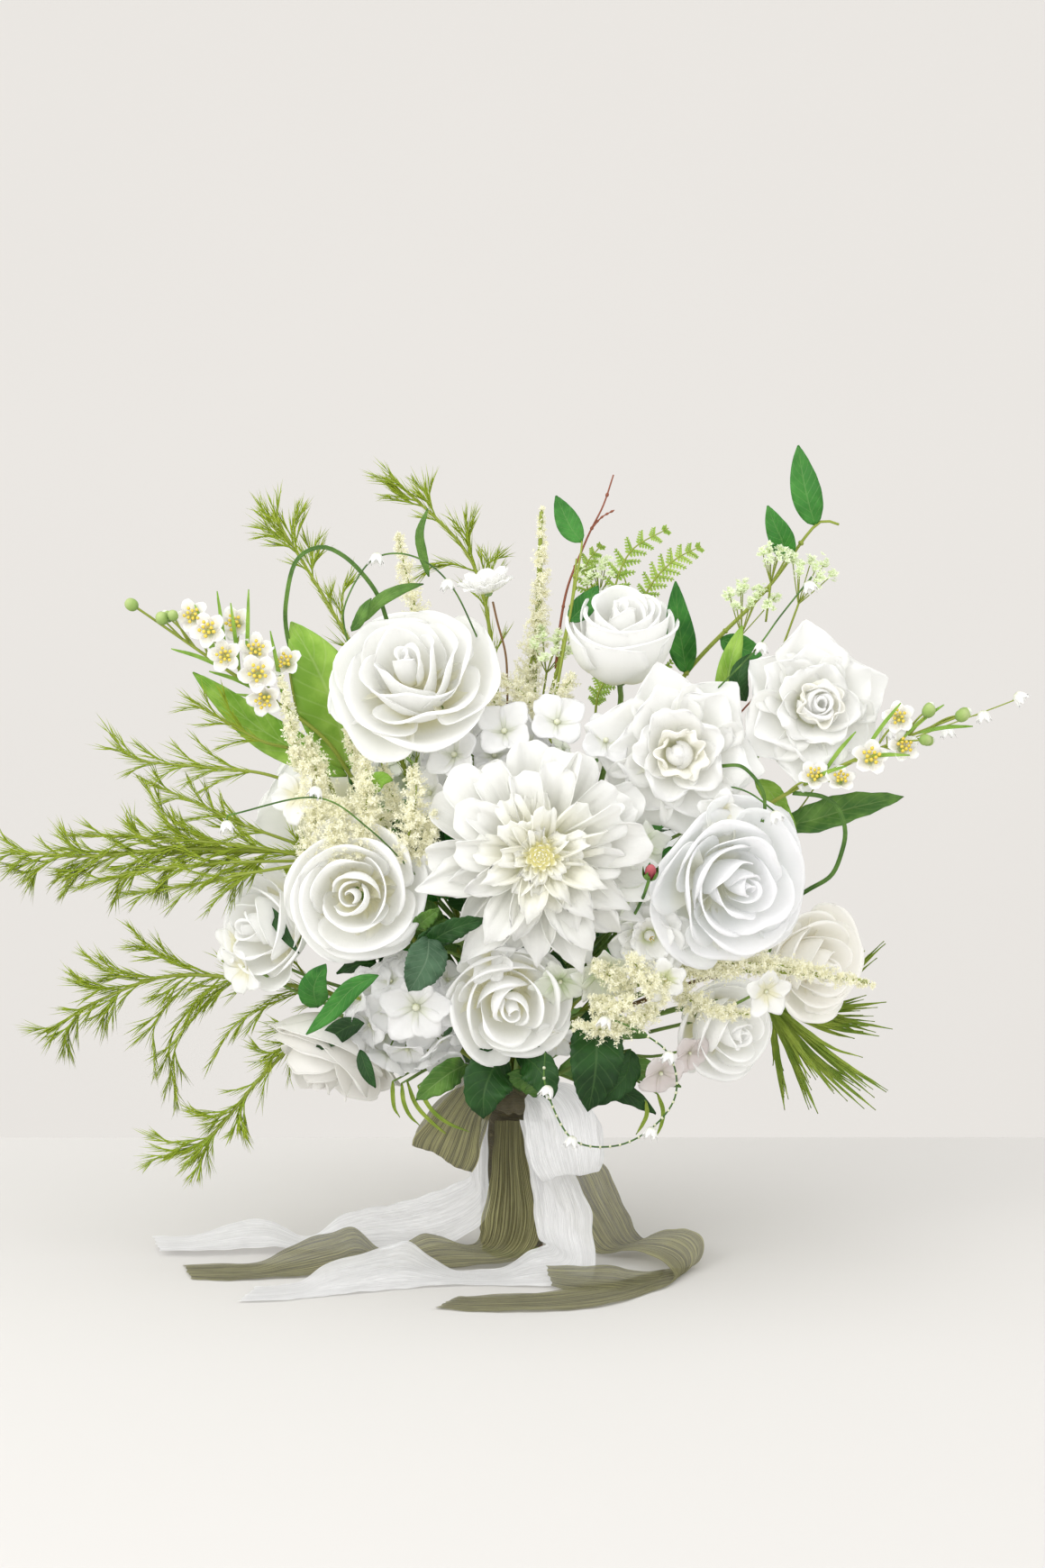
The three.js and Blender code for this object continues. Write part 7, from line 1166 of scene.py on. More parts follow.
def wax_flower(b, c, n, r, rng, mats=(0, 1, 2)):
    fr = frame_of(n, rng.uniform(0, 1))
    for k in range(5):
        phi = 2 * math.pi * k / 5 + rng.uniform(-0.08, 0.08)
        petal(b, c, fr, phi, [(0.1 * r, -0.25 * r), (0.42 * r, -0.2 * r), (0.75 * r, 0.12 * r), (1.02 * r, 0.32 * r)], r * 0.5, s0=0.4, s1=0.72, e=0.2, p=2.6, cup=(r * 0.3, r * 0.6), curl=r * 0.05, nu=7, nv=7, th=0.4, mat=mats[0],
              rnd=rng.uniform(0, 1), wave=(r * 0.04, 4, rng.uniform(0, 6)))
    m = 10
    ph = np.arange(m) * 2 * np.pi / m
    rad = np.where(np.arange(m) % 2 == 0, 0.42, 0.24) * r
    tips = c + fr[2] * 0.42 * r + np.outer(np.cos(ph) * rad, fr[0]) + np.outer(np.sin(ph) * rad, fr[1])
    base = np.repeat(c[None] + fr[2] * 0.02 * r, m, 0)
    b.spikes(base, tips - base, np.linalg.norm(tips - base, axis=1), 0.6, mats[1], rnd=rng.uniform(0, 1, m))
    for q in tips:
        b.ball(q, 0.12 * r, mats[1], fr[2], 5, 3, rnd=0.7)
    b.ball(c, (0.16 * r, 0.16 * r, 0.16 * r), mats[2], fr[2], 6, 4)
    b.ball(c - fr[2] * 0.42 * r, (0.2 * r, 0.2 * r, 0.3 * r), mats[2], fr[2], 7, 5)



# ---------- materials of the bunch ----------
M = {}
# painted light: the emission strengths given to these petal and floret materials make them shine faintly by themselves,
# lifting their shade
M["white"] = petal_material("white_rose_petal", "#f1efda", "#f7f7f4", "#fbfbfa", base_to=0.16, translucent=0.42, painted_glow=0.07)
M["white_b"] = petal_material("white_rose_petal_cool", "#efefe4", "#f5f6f5", "#fafafb", base_to=0.16, translucent=0.42, painted_glow=0.07)
M["cream"] = petal_material("cream_rose_petal", "#f6f2e2", "#fbfaf5", "#fdfcf9", base_to=0.12, translucent=0.42, painted_glow=0.065)
# painted shade: a greyer copy of the white petal, with less emission, for the rose that faces down and shows its shaded
# underside
M["beige"] = petal_material("rose_petal_painted_underside_shade", "#e4e2d6", "#f4f3ee", "#f9f8f5", painted_glow=0.04)
M["gard"] = petal_material("gardenia_petal", "#eeefda", "#f7f7f4", "#fbfbfa", base_to=0.1, veins=0.3, rough=0.4, translucent=0.42, painted_glow=0.055)
M["gard_mid"] = petal_material("gardenia_middle_petal", "#f0efd8", "#f9f8ee", "#fcfbf6", base_to=0.15, veins=0.3, rough=0.4, translucent=0.42, painted_glow=0.065)
M["dah_out"] = petal_material("dahlia_outer_petal", "#efefd4", "#f8f8f3", "#fbfbf9", base_to=0.18, veins=0.5, painted_glow=0.045)
M["dah_in"] = petal_material("dahlia_inner_petal", "#f3f3cc", "#faf9ee", "#fcfcf8", base_to=0.22, veins=0.5, painted_glow=0.065)
M["dah_strap"] = petal_material("dahlia_strap_petal", "#f7f4c2", "#fbf8d8", "#fefdf2", base_to=0.2, painted_glow=0.12)
M["hydr"] = petal_material("hydrangea_petal", "#eceee0", "#fafaf9", "#fcfcfc", base_to=0.03, translucent=0.42, veins=0.6, rough=0.6, painted_glow=0.06)
M["hydr_g"] = petal_material("hydrangea_petal_greenish", "#dce6c4", "#f3f6ea", "#f9faf5", base_to=0.08, translucent=0.42, veins=0.6, rough=0.6)
M["pink_grey"] = petal_material("pinkish_petal", "#e8e2da", "#f3ecea", "#f6f1f0", base_to=0.05, translucent=0.42, veins=0.6, rough=0.6)
M["freesia"] = petal_material("freesia_petal", "#e9edc8", "#fbfbf8", "#fdfdfc", base_to=0.15)
M["wax"] = petal_material("wax_petal", "#eaecd0", "#fcfbf8", "#fefefd", base_to=0.1, veins=0.15, rough=0.3)
M["bell"] = petal_material("bell_petal", "#eceedc", "#fafaf8", "#fefefd", base_to=0.1, veins=0.15, rough=0.4)
M["eye"] = needle_material("flower_eye", "#c3cb90", "#e2e6c0", "#f4f4e4")
M["stamen"] = needle_material("stamen", "#dcbc2e", "#efd440", "#f8e66c")
M["anther"] = needle_material("anther", "#4a3520", "#7a5a2c", "#a8823a")
M["bud_green"] = needle_material("bud_green", "#5f8a30", "#93b556", "#c9da94")
M["sepal"] = leaf_material("sepal", "#6b8f3c", "#94b45c", "#b6ca86", vein_k=4)
M["sepal_orange"] = needle_material("sepal_tip", "#b08a3e", "#d3a24c", "#e0b468")
M["stem"] = stem_material("flower_stem", "#63863a", "#93ad5c")
M["stem_cut"] = stem_material("cut_stem_end", "#b9c48e", "#dfe3bd")
M["twig"] = stem_material("brown_twig", "#6b4d2c", "#967349")
M["twig_red"] = stem_material("red_twig", "#7a3f2c", "#a8664a")
M["twig_green"] = stem_material("green_twig", "#7d8f2c", "#a9b450")
M["spray"] = needle_material("spray_needle", "#76921a", "#a2b92c", "#becb4c", translucent=0.18, painted_glow=0.0)
M["spray_b"] = needle_material("spray_needle_fresh", "#80a01e", "#adc434", "#c6d354", translucent=0.18, painted_glow=0.0)
M["astilbe"] = needle_material("astilbe_floret", "#efedcb", "#f8f6e0", "#fdfcf0", translucent=0.35, painted_glow=0.045)
M["lace"] = needle_material("lace_floret", "#b4cf70", "#e9f2cc", "#fafcf0", translucent=0.3, painted_glow=0.03)
M["leaf"] = leaf_material("leaf_mid", "#3f6e2a", "#74a045", "#a3bf74")
M["leaf_clear"] = leaf_material("leaf_clear_green", "#2c7328", "#4f9a3e", "#8cbf6c", rough=0.36)
M["leaf_light"] = leaf_material("leaf_light", "#7db034", "#abd25c", "#cbe294")
M["leaf_dark"] = leaf_material("leaf_dark", "#173b14", "#2d5c24", "#5f8449", rough=0.34)
M["leaf_grey"] = leaf_material("leaf_grey_green", "#35563a", "#56795a", "#86a183")
M["blade"] = leaf_material("grass_blade", "#76982a", "#aabf4a", "#c6d378", vein_k=0.0, rough=0.4)
M["tendril"] = leaf_material("tendril", "#3f6a28", "#6f9a40", "#b6cc8c", vein_k=0.0)
M["fern"] = leaf_material("fern_leaflet", "#88ae3c", "#b0cc5e", "#c8dc88")
M["tape"] = stem_material("floral_tape", "#5c7a3c", "#7d9660", rough=0.6)
M["olive"] = ribbon_material("olive_ribbon", "#625e36", "#cdc98e", 0.80, 0.25)
# painted light: the white ribbon's emission of 0.29 brightens its see-through cloth where it lies in shade
M["white_ribbon"] = ribbon_material("white_ribbon", "#ededed", "#ffffff", 0.80, 0.10, 0.29)
M["olive_wrap"] = ribbon_material("olive_ribbon_wound", "#645b3c", "#8f8560", 1.3, 0.1)


def head(name, slot="white_petal"):
    return dict(HEADS[name], slot=slot)


def line_points(name, n=60):
    return spline(STEMS[name], n)


def stem(name, rng, mat="stem", r=(2.05, 1.85, 1.75, 1.7), leaves=()):
    """a cut stem from its pale cut end up to the flower"""
    b = Build()
    pts = line_points(name, 70)
    n = len(pts)
    foot = np.r_[[pts[0]], pts]
    rad = np.interp(np.linspace(0, 1, n), np.linspace(0, 1, len(r)), r)
    rad = rad * (1 + 0.03 * np.sin(np.linspace(0, 40, n) + rng.uniform(0, 6)))
    b.tube(pts, rad, 10, 0)
    b.ball(pts[0] + V3(0, 0, 0.25), (r[0] * 0.8, r[0] * 0.8, 0.25), 1, (0, 0, 1), 10, 4)
    for (f, L, w, turn) in leaves:
        k = int(f * n)
        d = unit(pts[min(k + 1, n - 1)] - pts[k - 1])
        a, c = side_axes(d)
        o = a * math.cos(turn) + c * math.sin(turn)
        leaf(b, [pts[k], pts[k] + o * L * 0.5 + d * L * 0.35, pts[k] + o * L + d * L * 0.35], [1, w, w * 0.7, 0.5], d, mat=2)
    return b.make(name + "_stem", [M[mat], M["stem_cut"], M["leaf"]], [name + "_stem"], "flower_stem")


# ---------- the flower heads ----------
def build_heads():
    white = [M["white"], M["sepal"]]
    cool = [M["white_b"], M["sepal"]]
    cream = [M["cream"], M["sepal"]]
    beige = [M["beige"], M["sepal"]]
    G = [M["gard"], M["sepal"], M["gard_mid"]]
    R = np.random.default_rng
    rose("garden_rose_left", head("garden_rose_left"), R(11), white, 1.06, GARDEN, (0.07, 0.18, 4), 0.3, tip=0.10, ruffle=0.045)
    rose("garden_rose_right", head("garden_rose_right"), R(12), cool, 1.08, GARDEN, (0.07, 0.20, 4), 1.2, tip=0.06, ruffle=0.05)
    rose("rose_top", head("rose_top"), R(13), white, 1.06, SIDE, (0.10, 0.34, 4), 0.5, wrap=(1.0, 1.08), pin=0.06, top=(0.95, 0.10), tip=0.0, ruffle=0.015)
    rose("rose_left", head("rose_left"), R(14), white, 1.05, ROSE, (0.10, 0.33, 4), 0.9)
    rose("rose_bottom", head("rose_bottom"), R(15), white, 1.08, CLOSED, (0.10, 0.34, 4), 2.0, wrap=(1.0, 1.25), pin=0.09)
    rose("rose_lower_right", head("rose_lower_right"), R(16), white, 1.04, ROSE, (0.10, 0.30, 5), 1.1)
    rose("rose_far_right", head("rose_far_right", "cream_petal"), R(17), cream, 1.06, ROSE, (0.10, 0.30, 5), 1.7)
    rose("rose_far_left", head("rose_far_left"), R(18), white, 1.06, ROSE, (0.10, 0.30, 4), 0.2)
    # this rose wears the greyer petal copy: painted shade of its underside
    rose("rose_lower_left", head("rose_lower_left", "cream_petal"), R(19), beige, 1.38, ROSE, (0.10, 0.30, 4), 0.8, point=0.02, tip=0.09)
    rose("rose_back_left", head("rose_back_left"), R(20), white, 1.05, ROSE, (0.10, 0.30, 5), 0.8)
    rose("rose_back_right", head("rose_back_right"), R(21), cool, 1.05, ROSE, (0.10, 0.30, 5), 2.8)
    gardenia("gardenia_centre", head("gardenia_centre"), R(22), G, 1.10, 0.3)
    gardenia("gardenia_right", head("gardenia_right"), R(23), G, 1.10, 1.4, ball=False)
    dahlia("dahlia", head("dahlia", "dahlia_petal"), R(24), [M["dah_out"], M["dah_in"], M["dah_strap"], M["stamen"], M["sepal"]])
    hy = [M["hydr"], M["eye"], M["stem"]]
    hydrangea("hydrangea_lower_left", head("hydrangea_lower_left"), R(25), hy, 24, 16.5, STEMS["hydrangea_lower_left"],
              front=[(at(462, 1117, -78), (-0.1, -1, -0.08), 24, 5), (at(420, 1098, -60), (-0.6, -0.8, 0.1), 17, 4), (at(498, 1180, -56), (0.1, -0.75, -0.65), 16, 4)])
    hydrangea("hydrangea_upper", head("hydrangea_upper"), R(26), hy, 30, 17.5, STEMS["hydrangea_upper"],
              front=[(at(505, 838, -62), (-0.4, -0.8, 0.5), 19, 4), (at(560, 812, -60), (-0.1, -0.8, 0.6), 19, 4), (at(618, 802, -58), (0.1, -0.8, 0.6), 19, 4), (at(672, 822, -58), (0.3, -0.8, 0.5), 18, 4), (at(478, 880, -60), (-0.6, -0.75, 0.2), 16, 4)])
    hydrangea("hydrangea_back", head("hydrangea_back"), R(27), [M["hydr_g"], M["eye"], M["stem"]], 88, 19.5, STEMS["hydrangea_back"])
    for k, name in enumerate(n for n in HEADS if HEADS[n]["kind"] != "ball"):
        stem(name, np.random.default_rng(60 + k))


def fill_flowers():
    """small blooms seen in the gaps between the large ones, each on a stalk from the middle of the bunch"""
    rng = np.random.default_rng(59)
    b = Build()

    def stalk(q, n, r=0.8):
        foot = V3(q[0] * 0.55, q[1] * 0.35, q[2] - 34 if q[2] > 170 else max(118, q[2] - 8))
        b.tube(spline([foot, (foot + q) / 2 + V3(0, 0, -3), q - n * 3], 10), np.linspace(1.2, r, 10), 6, 1)

    def five(px, py, y, n, r, cnt=5, mat=0, pointed=False, cupz=0.25):
        q, n = at(px, py, y), unit(V3(*n))
        stalk(q, n)
        four_petals(b, q, n, r, rng, cnt, mat=mat, eye=2, pointed=pointed, cupz=cupz, nu=13, nv=11, eye_r=0.08)

    five(272, 1074, -34, (-0.75, -0.6, -0.2), 18, 5, 0, cupz=0.4)
    five(262, 1046, -22, (-0.8, -0.5, 0.2), 14, 5, 0, cupz=0.5)
    five(546, 1062, -78, (-0.1, -0.95, -0.1), 15, 6, 0, cupz=0.75)
    five(712, 940, -78, (0.7, -0.7, 0.1), 19, 5, 3, True, 0.3)
    five(704, 1000, -80, (0.6, -0.75, -0.3), 20, 5, 3, True, 0.25)
    five(668, 1078, -82, (0.3, -0.85, -0.5), 22, 5, 3, True, 0.2)
    five(622, 1088, -84, (0.0, -0.85, -0.5), 19, 5, 3, True, 0.2)
    five(733, 1190, -66, (0.35, -0.8, -0.45), 17, 4, 4, cupz=0.15)
    five(765, 1168, -58, (0.5, -0.75, -0.3), 15, 4, 4, cupz=0.15)
    five(330, 884, -54, (-0.4, -0.85, 0.2), 17, 5, 0, cupz=0.4)
    five(610, 1150, -66, (0.1, -0.8, -0.6), 17, 5, 0, cupz=0.35)
    five(850, 1100, -62, (0.3, -0.9, -0.1), 16, 5, 0, cupz=0.35)
    five(800, 900, -66, (0.0, -0.95, -0.2), 15, 5, 0, cupz=0.4)
    # two more on the side that the photo hides
    for q, n in [(V3(10, 118, 190), V3(0, 1, -0.1)), (V3(-64, 108, 200), V3(-0.4, 1, -0.1)), (V3(60, 112, 282), V3(0.3, 1, 0.3)), (V3(-90, 84, 320), V3(-0.5, 0.8, 0.5))]:
        n = unit(n)
        stalk(q, n)
        four_petals(b, q, n, 17, rng, 5, mat=0, eye=2, cupz=0.4, nu=11, nv=9)
    return b.make("fill_flowers", [M["white"], M["stem"], M["eye"], M["hydr_g"], M["pink_grey"]], [], "small_flower")


# ---------- greenery: each piece grows on its own stem ----------
def tips_of(node):
    return [V3(*b["p"][-1]) for b in BLADES[node]]


def spray_piece(name, rng, mat="spray", per=0.6, needle=(10, 17), angle=0.3, extra=(), width=1.08, start=0.45, thick=(2.0, 1.8, 1.3, 0.7), twigs=10, twig_len=30, begin=0.15, more=()):
    b = Build()
    c = line_points(name, 90)
    b.tube(c, np.interp(np.linspace(0, 1, 90), np.linspace(0, 1, len(thick)), thick), 8, 1)
    c2 = c[int(start * 90):]
    branch(b, c2[:: 6], [V3(*t) for t in extra] + tips_of(name), rng, 0, needle=needle, per=per, angle=angle, width=width, twigs=twigs, twig_len=twig_len, start=begin)
    for line, tw in more:
        q = [V3(*x) for x in line]
        b.tube(spline(q, 30), np.linspace(1.1, 0.5, 30), 6, 1)
        branch(b, q, [], rng, 0, needle=needle, per=per, angle=angle, width=width, twigs=tw, twig_len=twig_len, start=0.2)
    return b.make(name, [M[mat], M["twig_green"]], [name], "spray_green")


def build_greens():
    R = np.random.default_rng
    spray_piece("spray_left_upper", R(31), "spray", 0.42, (13, 22), 0.22, extra=[at(60, 978, -20), at(70, 991, -28), at(8, 945, -22), at(17, 958, -22), at(128, 996, -34), at(33, 973, -20), at(71, 930, -24), at(143, 918, -30), at(181, 908, -34), at(229, 877, -30), at(159, 868, -26), at(259, 996, -40), at(176, 988, -36), at(330, 930, -44)],
                twigs=16, twig_len=32, more=[([at(330, 870, -30), at(285, 857, -34), at(215, 850, -32), at(150, 842, -26), at(124, 815, -22)], 9), ([at(320, 830, -24), at(290, 822, -28), at(250, 800, -28), at(212, 777, -24)], 5),
                                         ([at(340, 950, -34), at(250, 936, -38), at(160, 930, -32), at(84, 926, -24)], 6), ([at(340, 955, -38), at(240, 958, -42), at(150, 968, -36), at(86, 985, -28)], 6),
                                         ([at(340, 940, -30), at(270, 915, -34), at(215, 890, -32), at(163, 867, -28)], 6), ([at(330, 960, -44), at(260, 972, -46), at(200, 984, -40), at(138, 992, -34)], 5),
                                         ([at(340, 945, -28), at(240, 946, -30), at(150, 946, -28), at(82, 944, -24)], 5)])
    spray_piece("spray_left_middle", R(32), "spray", 0.36, (13, 22), 0.22, extra=[at(48, 1145, -22), at(70, 1163, -24), at(96, 1061, -30), at(85, 1092, -28), at(114, 1132, -28), at(146, 1031, -30), at(172, 1188, -36), at(196, 1223, -34), at(234, 1178, -40), at(206, 1135, -34)], twigs=14, twig_len=28)
    spray_piece("spray_left_lower", R(33), "spray_b", 0.34, (12, 20), 0.23, extra=[at(167, 1283, -22), at(222, 1301, -24), at(207, 1291, -26), at(219, 1238, -24), at(265, 1248, -20), at(294, 1173, -30)], twigs=12, twig_len=26)
    spray_piece("spray_top_left", R(34), "spray", 0.30, (13, 21), 0.20, extra=[at(291, 572, 4), at(302, 560, 2), at(300, 591, 4), at(329, 568, 0), at(352, 602, -2)], twigs=7, twig_len=24)
    spray_piece("spray_top", R(35), "spray", 0.30, (13, 21), 0.20, extra=[at(430, 522, 8), at(430, 551, 6), at(473, 543, 10), at(517, 576, 6), at(551, 616, 2)], twigs=7, twig_len=26)
    spray_piece("spray_back", R(36), "spray_b", 0.6, (10, 17), 0.3, twigs=14, twig_len=34)


def oval_leaf(b, p0, p1, width, facing, rng, mat, side_bow=0.0, fold=0.25, ripple=0.6, best=0.45, nv=22, nu=9, serr=(0, 0), depth=0.0):
    p0, p1 = V3(*p0), V3(*p1)
    mid = (p0 + p1) / 2 + np.cross(unit(p1 - p0), unit(V3(*facing))) * side_bow + unit(V3(*facing)) * depth
    leaf(b, [p0, (p0 + mid) / 2 + (mid - (p0 + p1) / 2) * 0.4, mid, (mid + p1) / 2 + (mid - (p0 + p1) / 2) * 0.4, p1], [1, 1], facing, fold, ripple, serr, nu, nv, 0.45, mat, rng.uniform(0, 1), shape=oval(best, width / 2, 0.92))


def ruscus_right():
    rng = np.random.default_rng(41)
    b = Build()
    c = line_points("ruscus_right", 90)
    b.tube(c, np.interp(np.linspace(0, 1, 90), [0, 0.4, 0.8, 1], [2.0, 1.6, 1.3, 0.8]), 7, 1)
    for k in range(48, 88, 6):       # knots where old leaves grew
        b.ball(c[k], (1.9, 1.9, 1.5), 1, c[k + 1] - c[k - 1], 7, 5)
    for bl, w in zip(BLADES["ruscus_right"], [19, 16, 18, 16]):
        p = [V3(*q) for q in bl["p"]]
        leaf(b, p, [1, 1], bl["f"], 0.25, 0.7, (0, 0), 9, 24, 0.45, 0, rng.uniform(0, 1), shape=oval(0.42, w / 2))
    return b.make("ruscus_right", [M["leaf_clear"], M["twig_green"]], ["ruscus_right"], "dark_leaf")


def ruscus_top():
    rng = np.random.default_rng(42)
    b = Build()
    c = line_points("ruscus_top", 90)
    b.tube(c, np.interp(np.linspace(0, 1, 90), [0, 0.4, 0.8, 1], [2.0, 1.5, 1.0, 0.6]), 7, 1)
    for bl, w in zip(BLADES["ruscus_top"], [15, 14]):
        p = [V3(*q) for q in bl["p"]]
        leaf(b, p, [1, 1], bl["f"], 0.25, 0.7, (0, 0), 9, 22, 0.45, 0, rng.uniform(0, 1), shape=oval(0.42, w / 2))
    return b.make("ruscus_top", [M["leaf_clear"], M["twig_green"]], ["ruscus_top"], "dark_leaf")


def broad_leaf(name, seed, widths, mat=0):
    rng = np.random.default_rng(seed)
    b = Build()
    c = line_points(name, 90)
    b.tube(c, np.interp(np.linspace(0, 1, 90), [0, 0.5, 1], [2.0, 1.7, 1.2]), 8, 1)
    for bl, w in zip(BLADES[name], widths):
        p = [V3(*q) for q in bl["p"]]
        leaf(b, p, [1, 1], bl["f"], 0.32, 1.2, (0, 0), 11, 26, 0.55, mat, rng.uniform(0, 1), shape=oval(0.45, w / 2))
    return b, rng


def palm_grass():
    rng = np.random.default_rng(45)
    b = Build()
    c = line_points("palm_grass_right", 80)
    b.tube(c, np.interp(np.linspace(0, 1, 80), [0, 0.6, 1], [2.0, 1.7, 1.0]), 7, 1)
    for bl in BLADES["palm_grass_right"]:
        p = [V3(*q) for q in bl["p"]]
        w = max(bl["w"]) * 1.0
        for k in range(7):
            off = V3(rng.uniform(-3, 3), rng.uniform(-4, 4), rng.uniform(-6, 6)) * (0 if k == 0 else 1)
            q = [p[0], p[1] + off * 0.6, p[-1] + off * 1.5 - unit(p[-1] - p[0]) * (0 if k == 0 else rng.uniform(3, 24))]
            leaf(b, q, [1, 1], V3(*bl["f"]) + rng.normal(0, 0.25, 3), 0.45, 0.3, (0, 0), 5, 22, 0.35, 0, rng.uniform(0, 1), shape=lambda s, w=w * (1 if k == 0 else rng.uniform(0.45, 0.8)): np.maximum(w / 2 * np.minimum(1, (0.35 + s * 2.2)) * (1 - s ** 3.2), 0.18))
    return b.make("palm_grass_right", [M["blade"], M["twig"]], ["palm_grass_right"], "dark_leaf")


def frond(b, c, rng, L0, first=0, step=2, mat=0):
    """a feathery frond along the points c: leaflets with little lobes, shorter towards the tip"""
    d = np.gradient(c, axis=0)
    n = len(c)
    for k in range(first, n - 1, step):
        f = (k - first) / (n - first)
        L = L0 * math.sin(math.pi * (0.2 + 0.78 * f)) ** 0.8
        t = unit(d[k])
        a = unit(np.cross(t, V3(0, -0.95, 0.3)))
        for s in (-1, 1):
            o = unit(a * s + t * 0.75 + V3(0, -0.15, 0) * rng.uniform(-1, 1))
            mid, tip = c[k] + o * L * 0.55, c[k] + o * L - V3(0, 0, 0.8)
            m = 6
            q = spline([c[k], mid, tip], m)
            for j in range(m - 1):
                for z in (-1, 1):
                    oo = unit(t * z * 0.8 + o * 0.7)
                    ln = L * 0.20 * (1 - j / (m - 0.4)) + 1.3
                    leaf(b, [q[j], q[j] + oo * ln * 0.5, q[j] + oo * ln], [1, 1], V3(0, -0.95, 0.3), 0.2, 0.0, (0, 0), 3, 4, 0.0, mat, rng.uniform(0, 1), shape=lambda s2, w=ln * 0.30: np.maximum(w * np.sin(np.pi * np.clip(s2 * 0.86 + 0.1, 0, 1)), 0.15))
            b.tube(q, [0.4] * m, 3, mat, cap=False)


def fern():
    rng = np.random.default_rng(46)
    b = Build()
    c = line_points("fern_top_right", 110)
    b.tube(c, np.interp(np.linspace(0, 1, 110), [0, 0.5, 1], [1.9, 1.2, 0.4]), 7, 1)
    frond(b, c, rng, 15, 60, 4)
    for line, L in [([at(668, 720, -6), at(680, 660, -10), at(700, 612, -12), at(742, 586, -12)], 11), ([at(700, 700, -4), at(722, 650, -6), at(748, 622, -6), at(778, 606, -4)], 11), ([at(660, 800, -24), at(664, 770, -28), at(676, 744, -28), at(668, 716, -26)], 10),
                    ([at(660, 720, -4), at(655, 670, -6), at(650, 630, -6), at(668, 604, -6)], 9)]:
        q = spline(line, 34)
        b.tube(q, np.linspace(0.9, 0.35, 34), 5, 1)
        frond(b, q, rng, L, 8, 3)
    return b.make("fern_top_right", [M["fern"], M["twig_green"]], ["fern_top_right"], "mid_leaf")


def filler_leaves():
    """plain green leaves deep between the stems, which close the gaps between the flowers"""
    rng = np.random.default_rng(58)
    b = Build()
    C0 = V3(2, -2, 222)
    for k in range(120):
        z = 1 - (k + 0.5) / 120 * 1.55
        ph = k * 2.399963
        s = math.sqrt(max(0.0, 1 - z * z))
        d = V3(math.cos(ph) * s, math.sin(ph) * s, z)
        tip = C0 + d * V3(128, 66, 96) * rng.uniform(0.75, 1.0)
        foot = C0 + (tip - C0) * 0.62 + V3(0, 0, -14)
        mid = (tip + foot) / 2 + V3(rng.uniform(-6, 6), rng.uniform(-4, 4), rng.uniform(2, 9))
        w = rng.uniform(13, 21)
        leaf(b, [foot, mid, tip], [1, 1], unit(d + V3(0, 0, 0.6)), 0.2, 0.8, (0, 0), 7, 14, 0.0, int(rng.integers(0, 3)), rng.uniform(0, 1), shape=oval(0.45, w / 2))
        root = V3(foot[0] * 0.35, foot[1] * 0.35, max(124, foot[2] - 44))
        b.tube(spline([root, (root + foot) / 2, foot + (mid - foot) * 0.1], 7), np.linspace(1.1, 0.7, 7), 5, 3)
    return b.make("filler_leaves", [M["leaf"], M["leaf_dark"], M["leaf_clear"], M["stem"]], [], "mid_leaf")



# ---------- small flowers and plumes ----------
def wax_piece(name, seed, buds, leaves, twig="twig"):
    rng = np.random.default_rng(seed)
    b = Build()
    c = line_points(name, 110)
    b.tube(c, np.interp(np.linspace(0, 1, 110), [0, 0.5, 0.85, 1], [2.0, 1.5, 1.1, 0.7]), 7, 3)
    for bl in BLOOMS[name]:
        q = V3(*bl["c"])
        k = int(np.linalg.norm(c - q, axis=1).argmin())
        s = c[max(0, k - 5)]
        f = unit(V3(*bl["f"]) + rng.normal(0, 0.22, 3))
        b.tube(spline([s, (s + q) / 2 + V3(0, 0, 1.5), q - f * bl["r"] * 0.45], 8), np.linspace(0.75, 0.6, 8), 5, 3)
        if bl["r"] > 6:
            wax_flower(b, q, f, bl["r"] * rng.uniform(1.15, 1.35), rng)
        else:
            b.ball(q, (bl["r"] * 0.95, bl["r"] * 0.95, bl["r"] * 1.1), 2, unit(q - s), 9, 7, 0.4)
            b.ball(q + unit(q - s) * bl["r"] * 0.55, (bl["r"] * 0.72,) * 3, 0, unit(q - s), 9, 6, 0.4)
    for q, r in buds:
        q = V3(*q)
        k = int(np.linalg.norm(c - q, axis=1).argmin())
        s = c[max(0, k - 4)]
        d = unit(q - s)
        b.tube(spline([s, (s + q) / 2, q], 6), np.linspace(0.7, 0.55, 6), 5, 3)
        b.ball(q, (r, r, r * 1.1), 2, d, 10, 8, 0.6)
    for q in leaves:       # narrow needle-like leaves by the flowers
        q = V3(*q)
        k = int(np.linalg.norm(c - q, axis=1).argmin())
        s = c[max(0, k - 7)]
        leaf(b, [s, (s + q) / 2 + V3(0, 0, 1.5), q], [1, 1], (0, -1, 0.3), 0.3, 0.2, (0, 0), 5, 14, 0.4, 4, rng.uniform(0, 1), shape=lambda x: np.maximum(1.2 * np.sin(np.pi * np.clip(x * 0.92 + 0.06, 0, 1)) ** 0.6, 0.2))
    return b.make(name, [M["wax"], M["stamen"], M["bud_green"], M[twig], M["leaf_light"]], [name], "small_flower")


def lily_piece():
    name = "lily_of_the_valley_right"
    rng = np.random.default_rng(53)
    b = Build()
    c = line_points(name, 120)
    b.tube(c, np.interp(np.linspace(0, 1, 120), [0, 0.3, 0.6, 1], [1.9, 1.2, 0.55, 0.4]), 6, 1)
    for bl in BLOOMS[name]:
        q, d = V3(*bl["c"]), unit(V3(*bl["f"]))
        k = int(np.linalg.norm(c - q, axis=1).argmin())
        bell(b, q, d, bl["r"] * 1.1, rng, 0, c[max(0, k - 1)], 1)
    return b.make(name, [M["bell"], M["twig_green"]], [name], "small_flower")


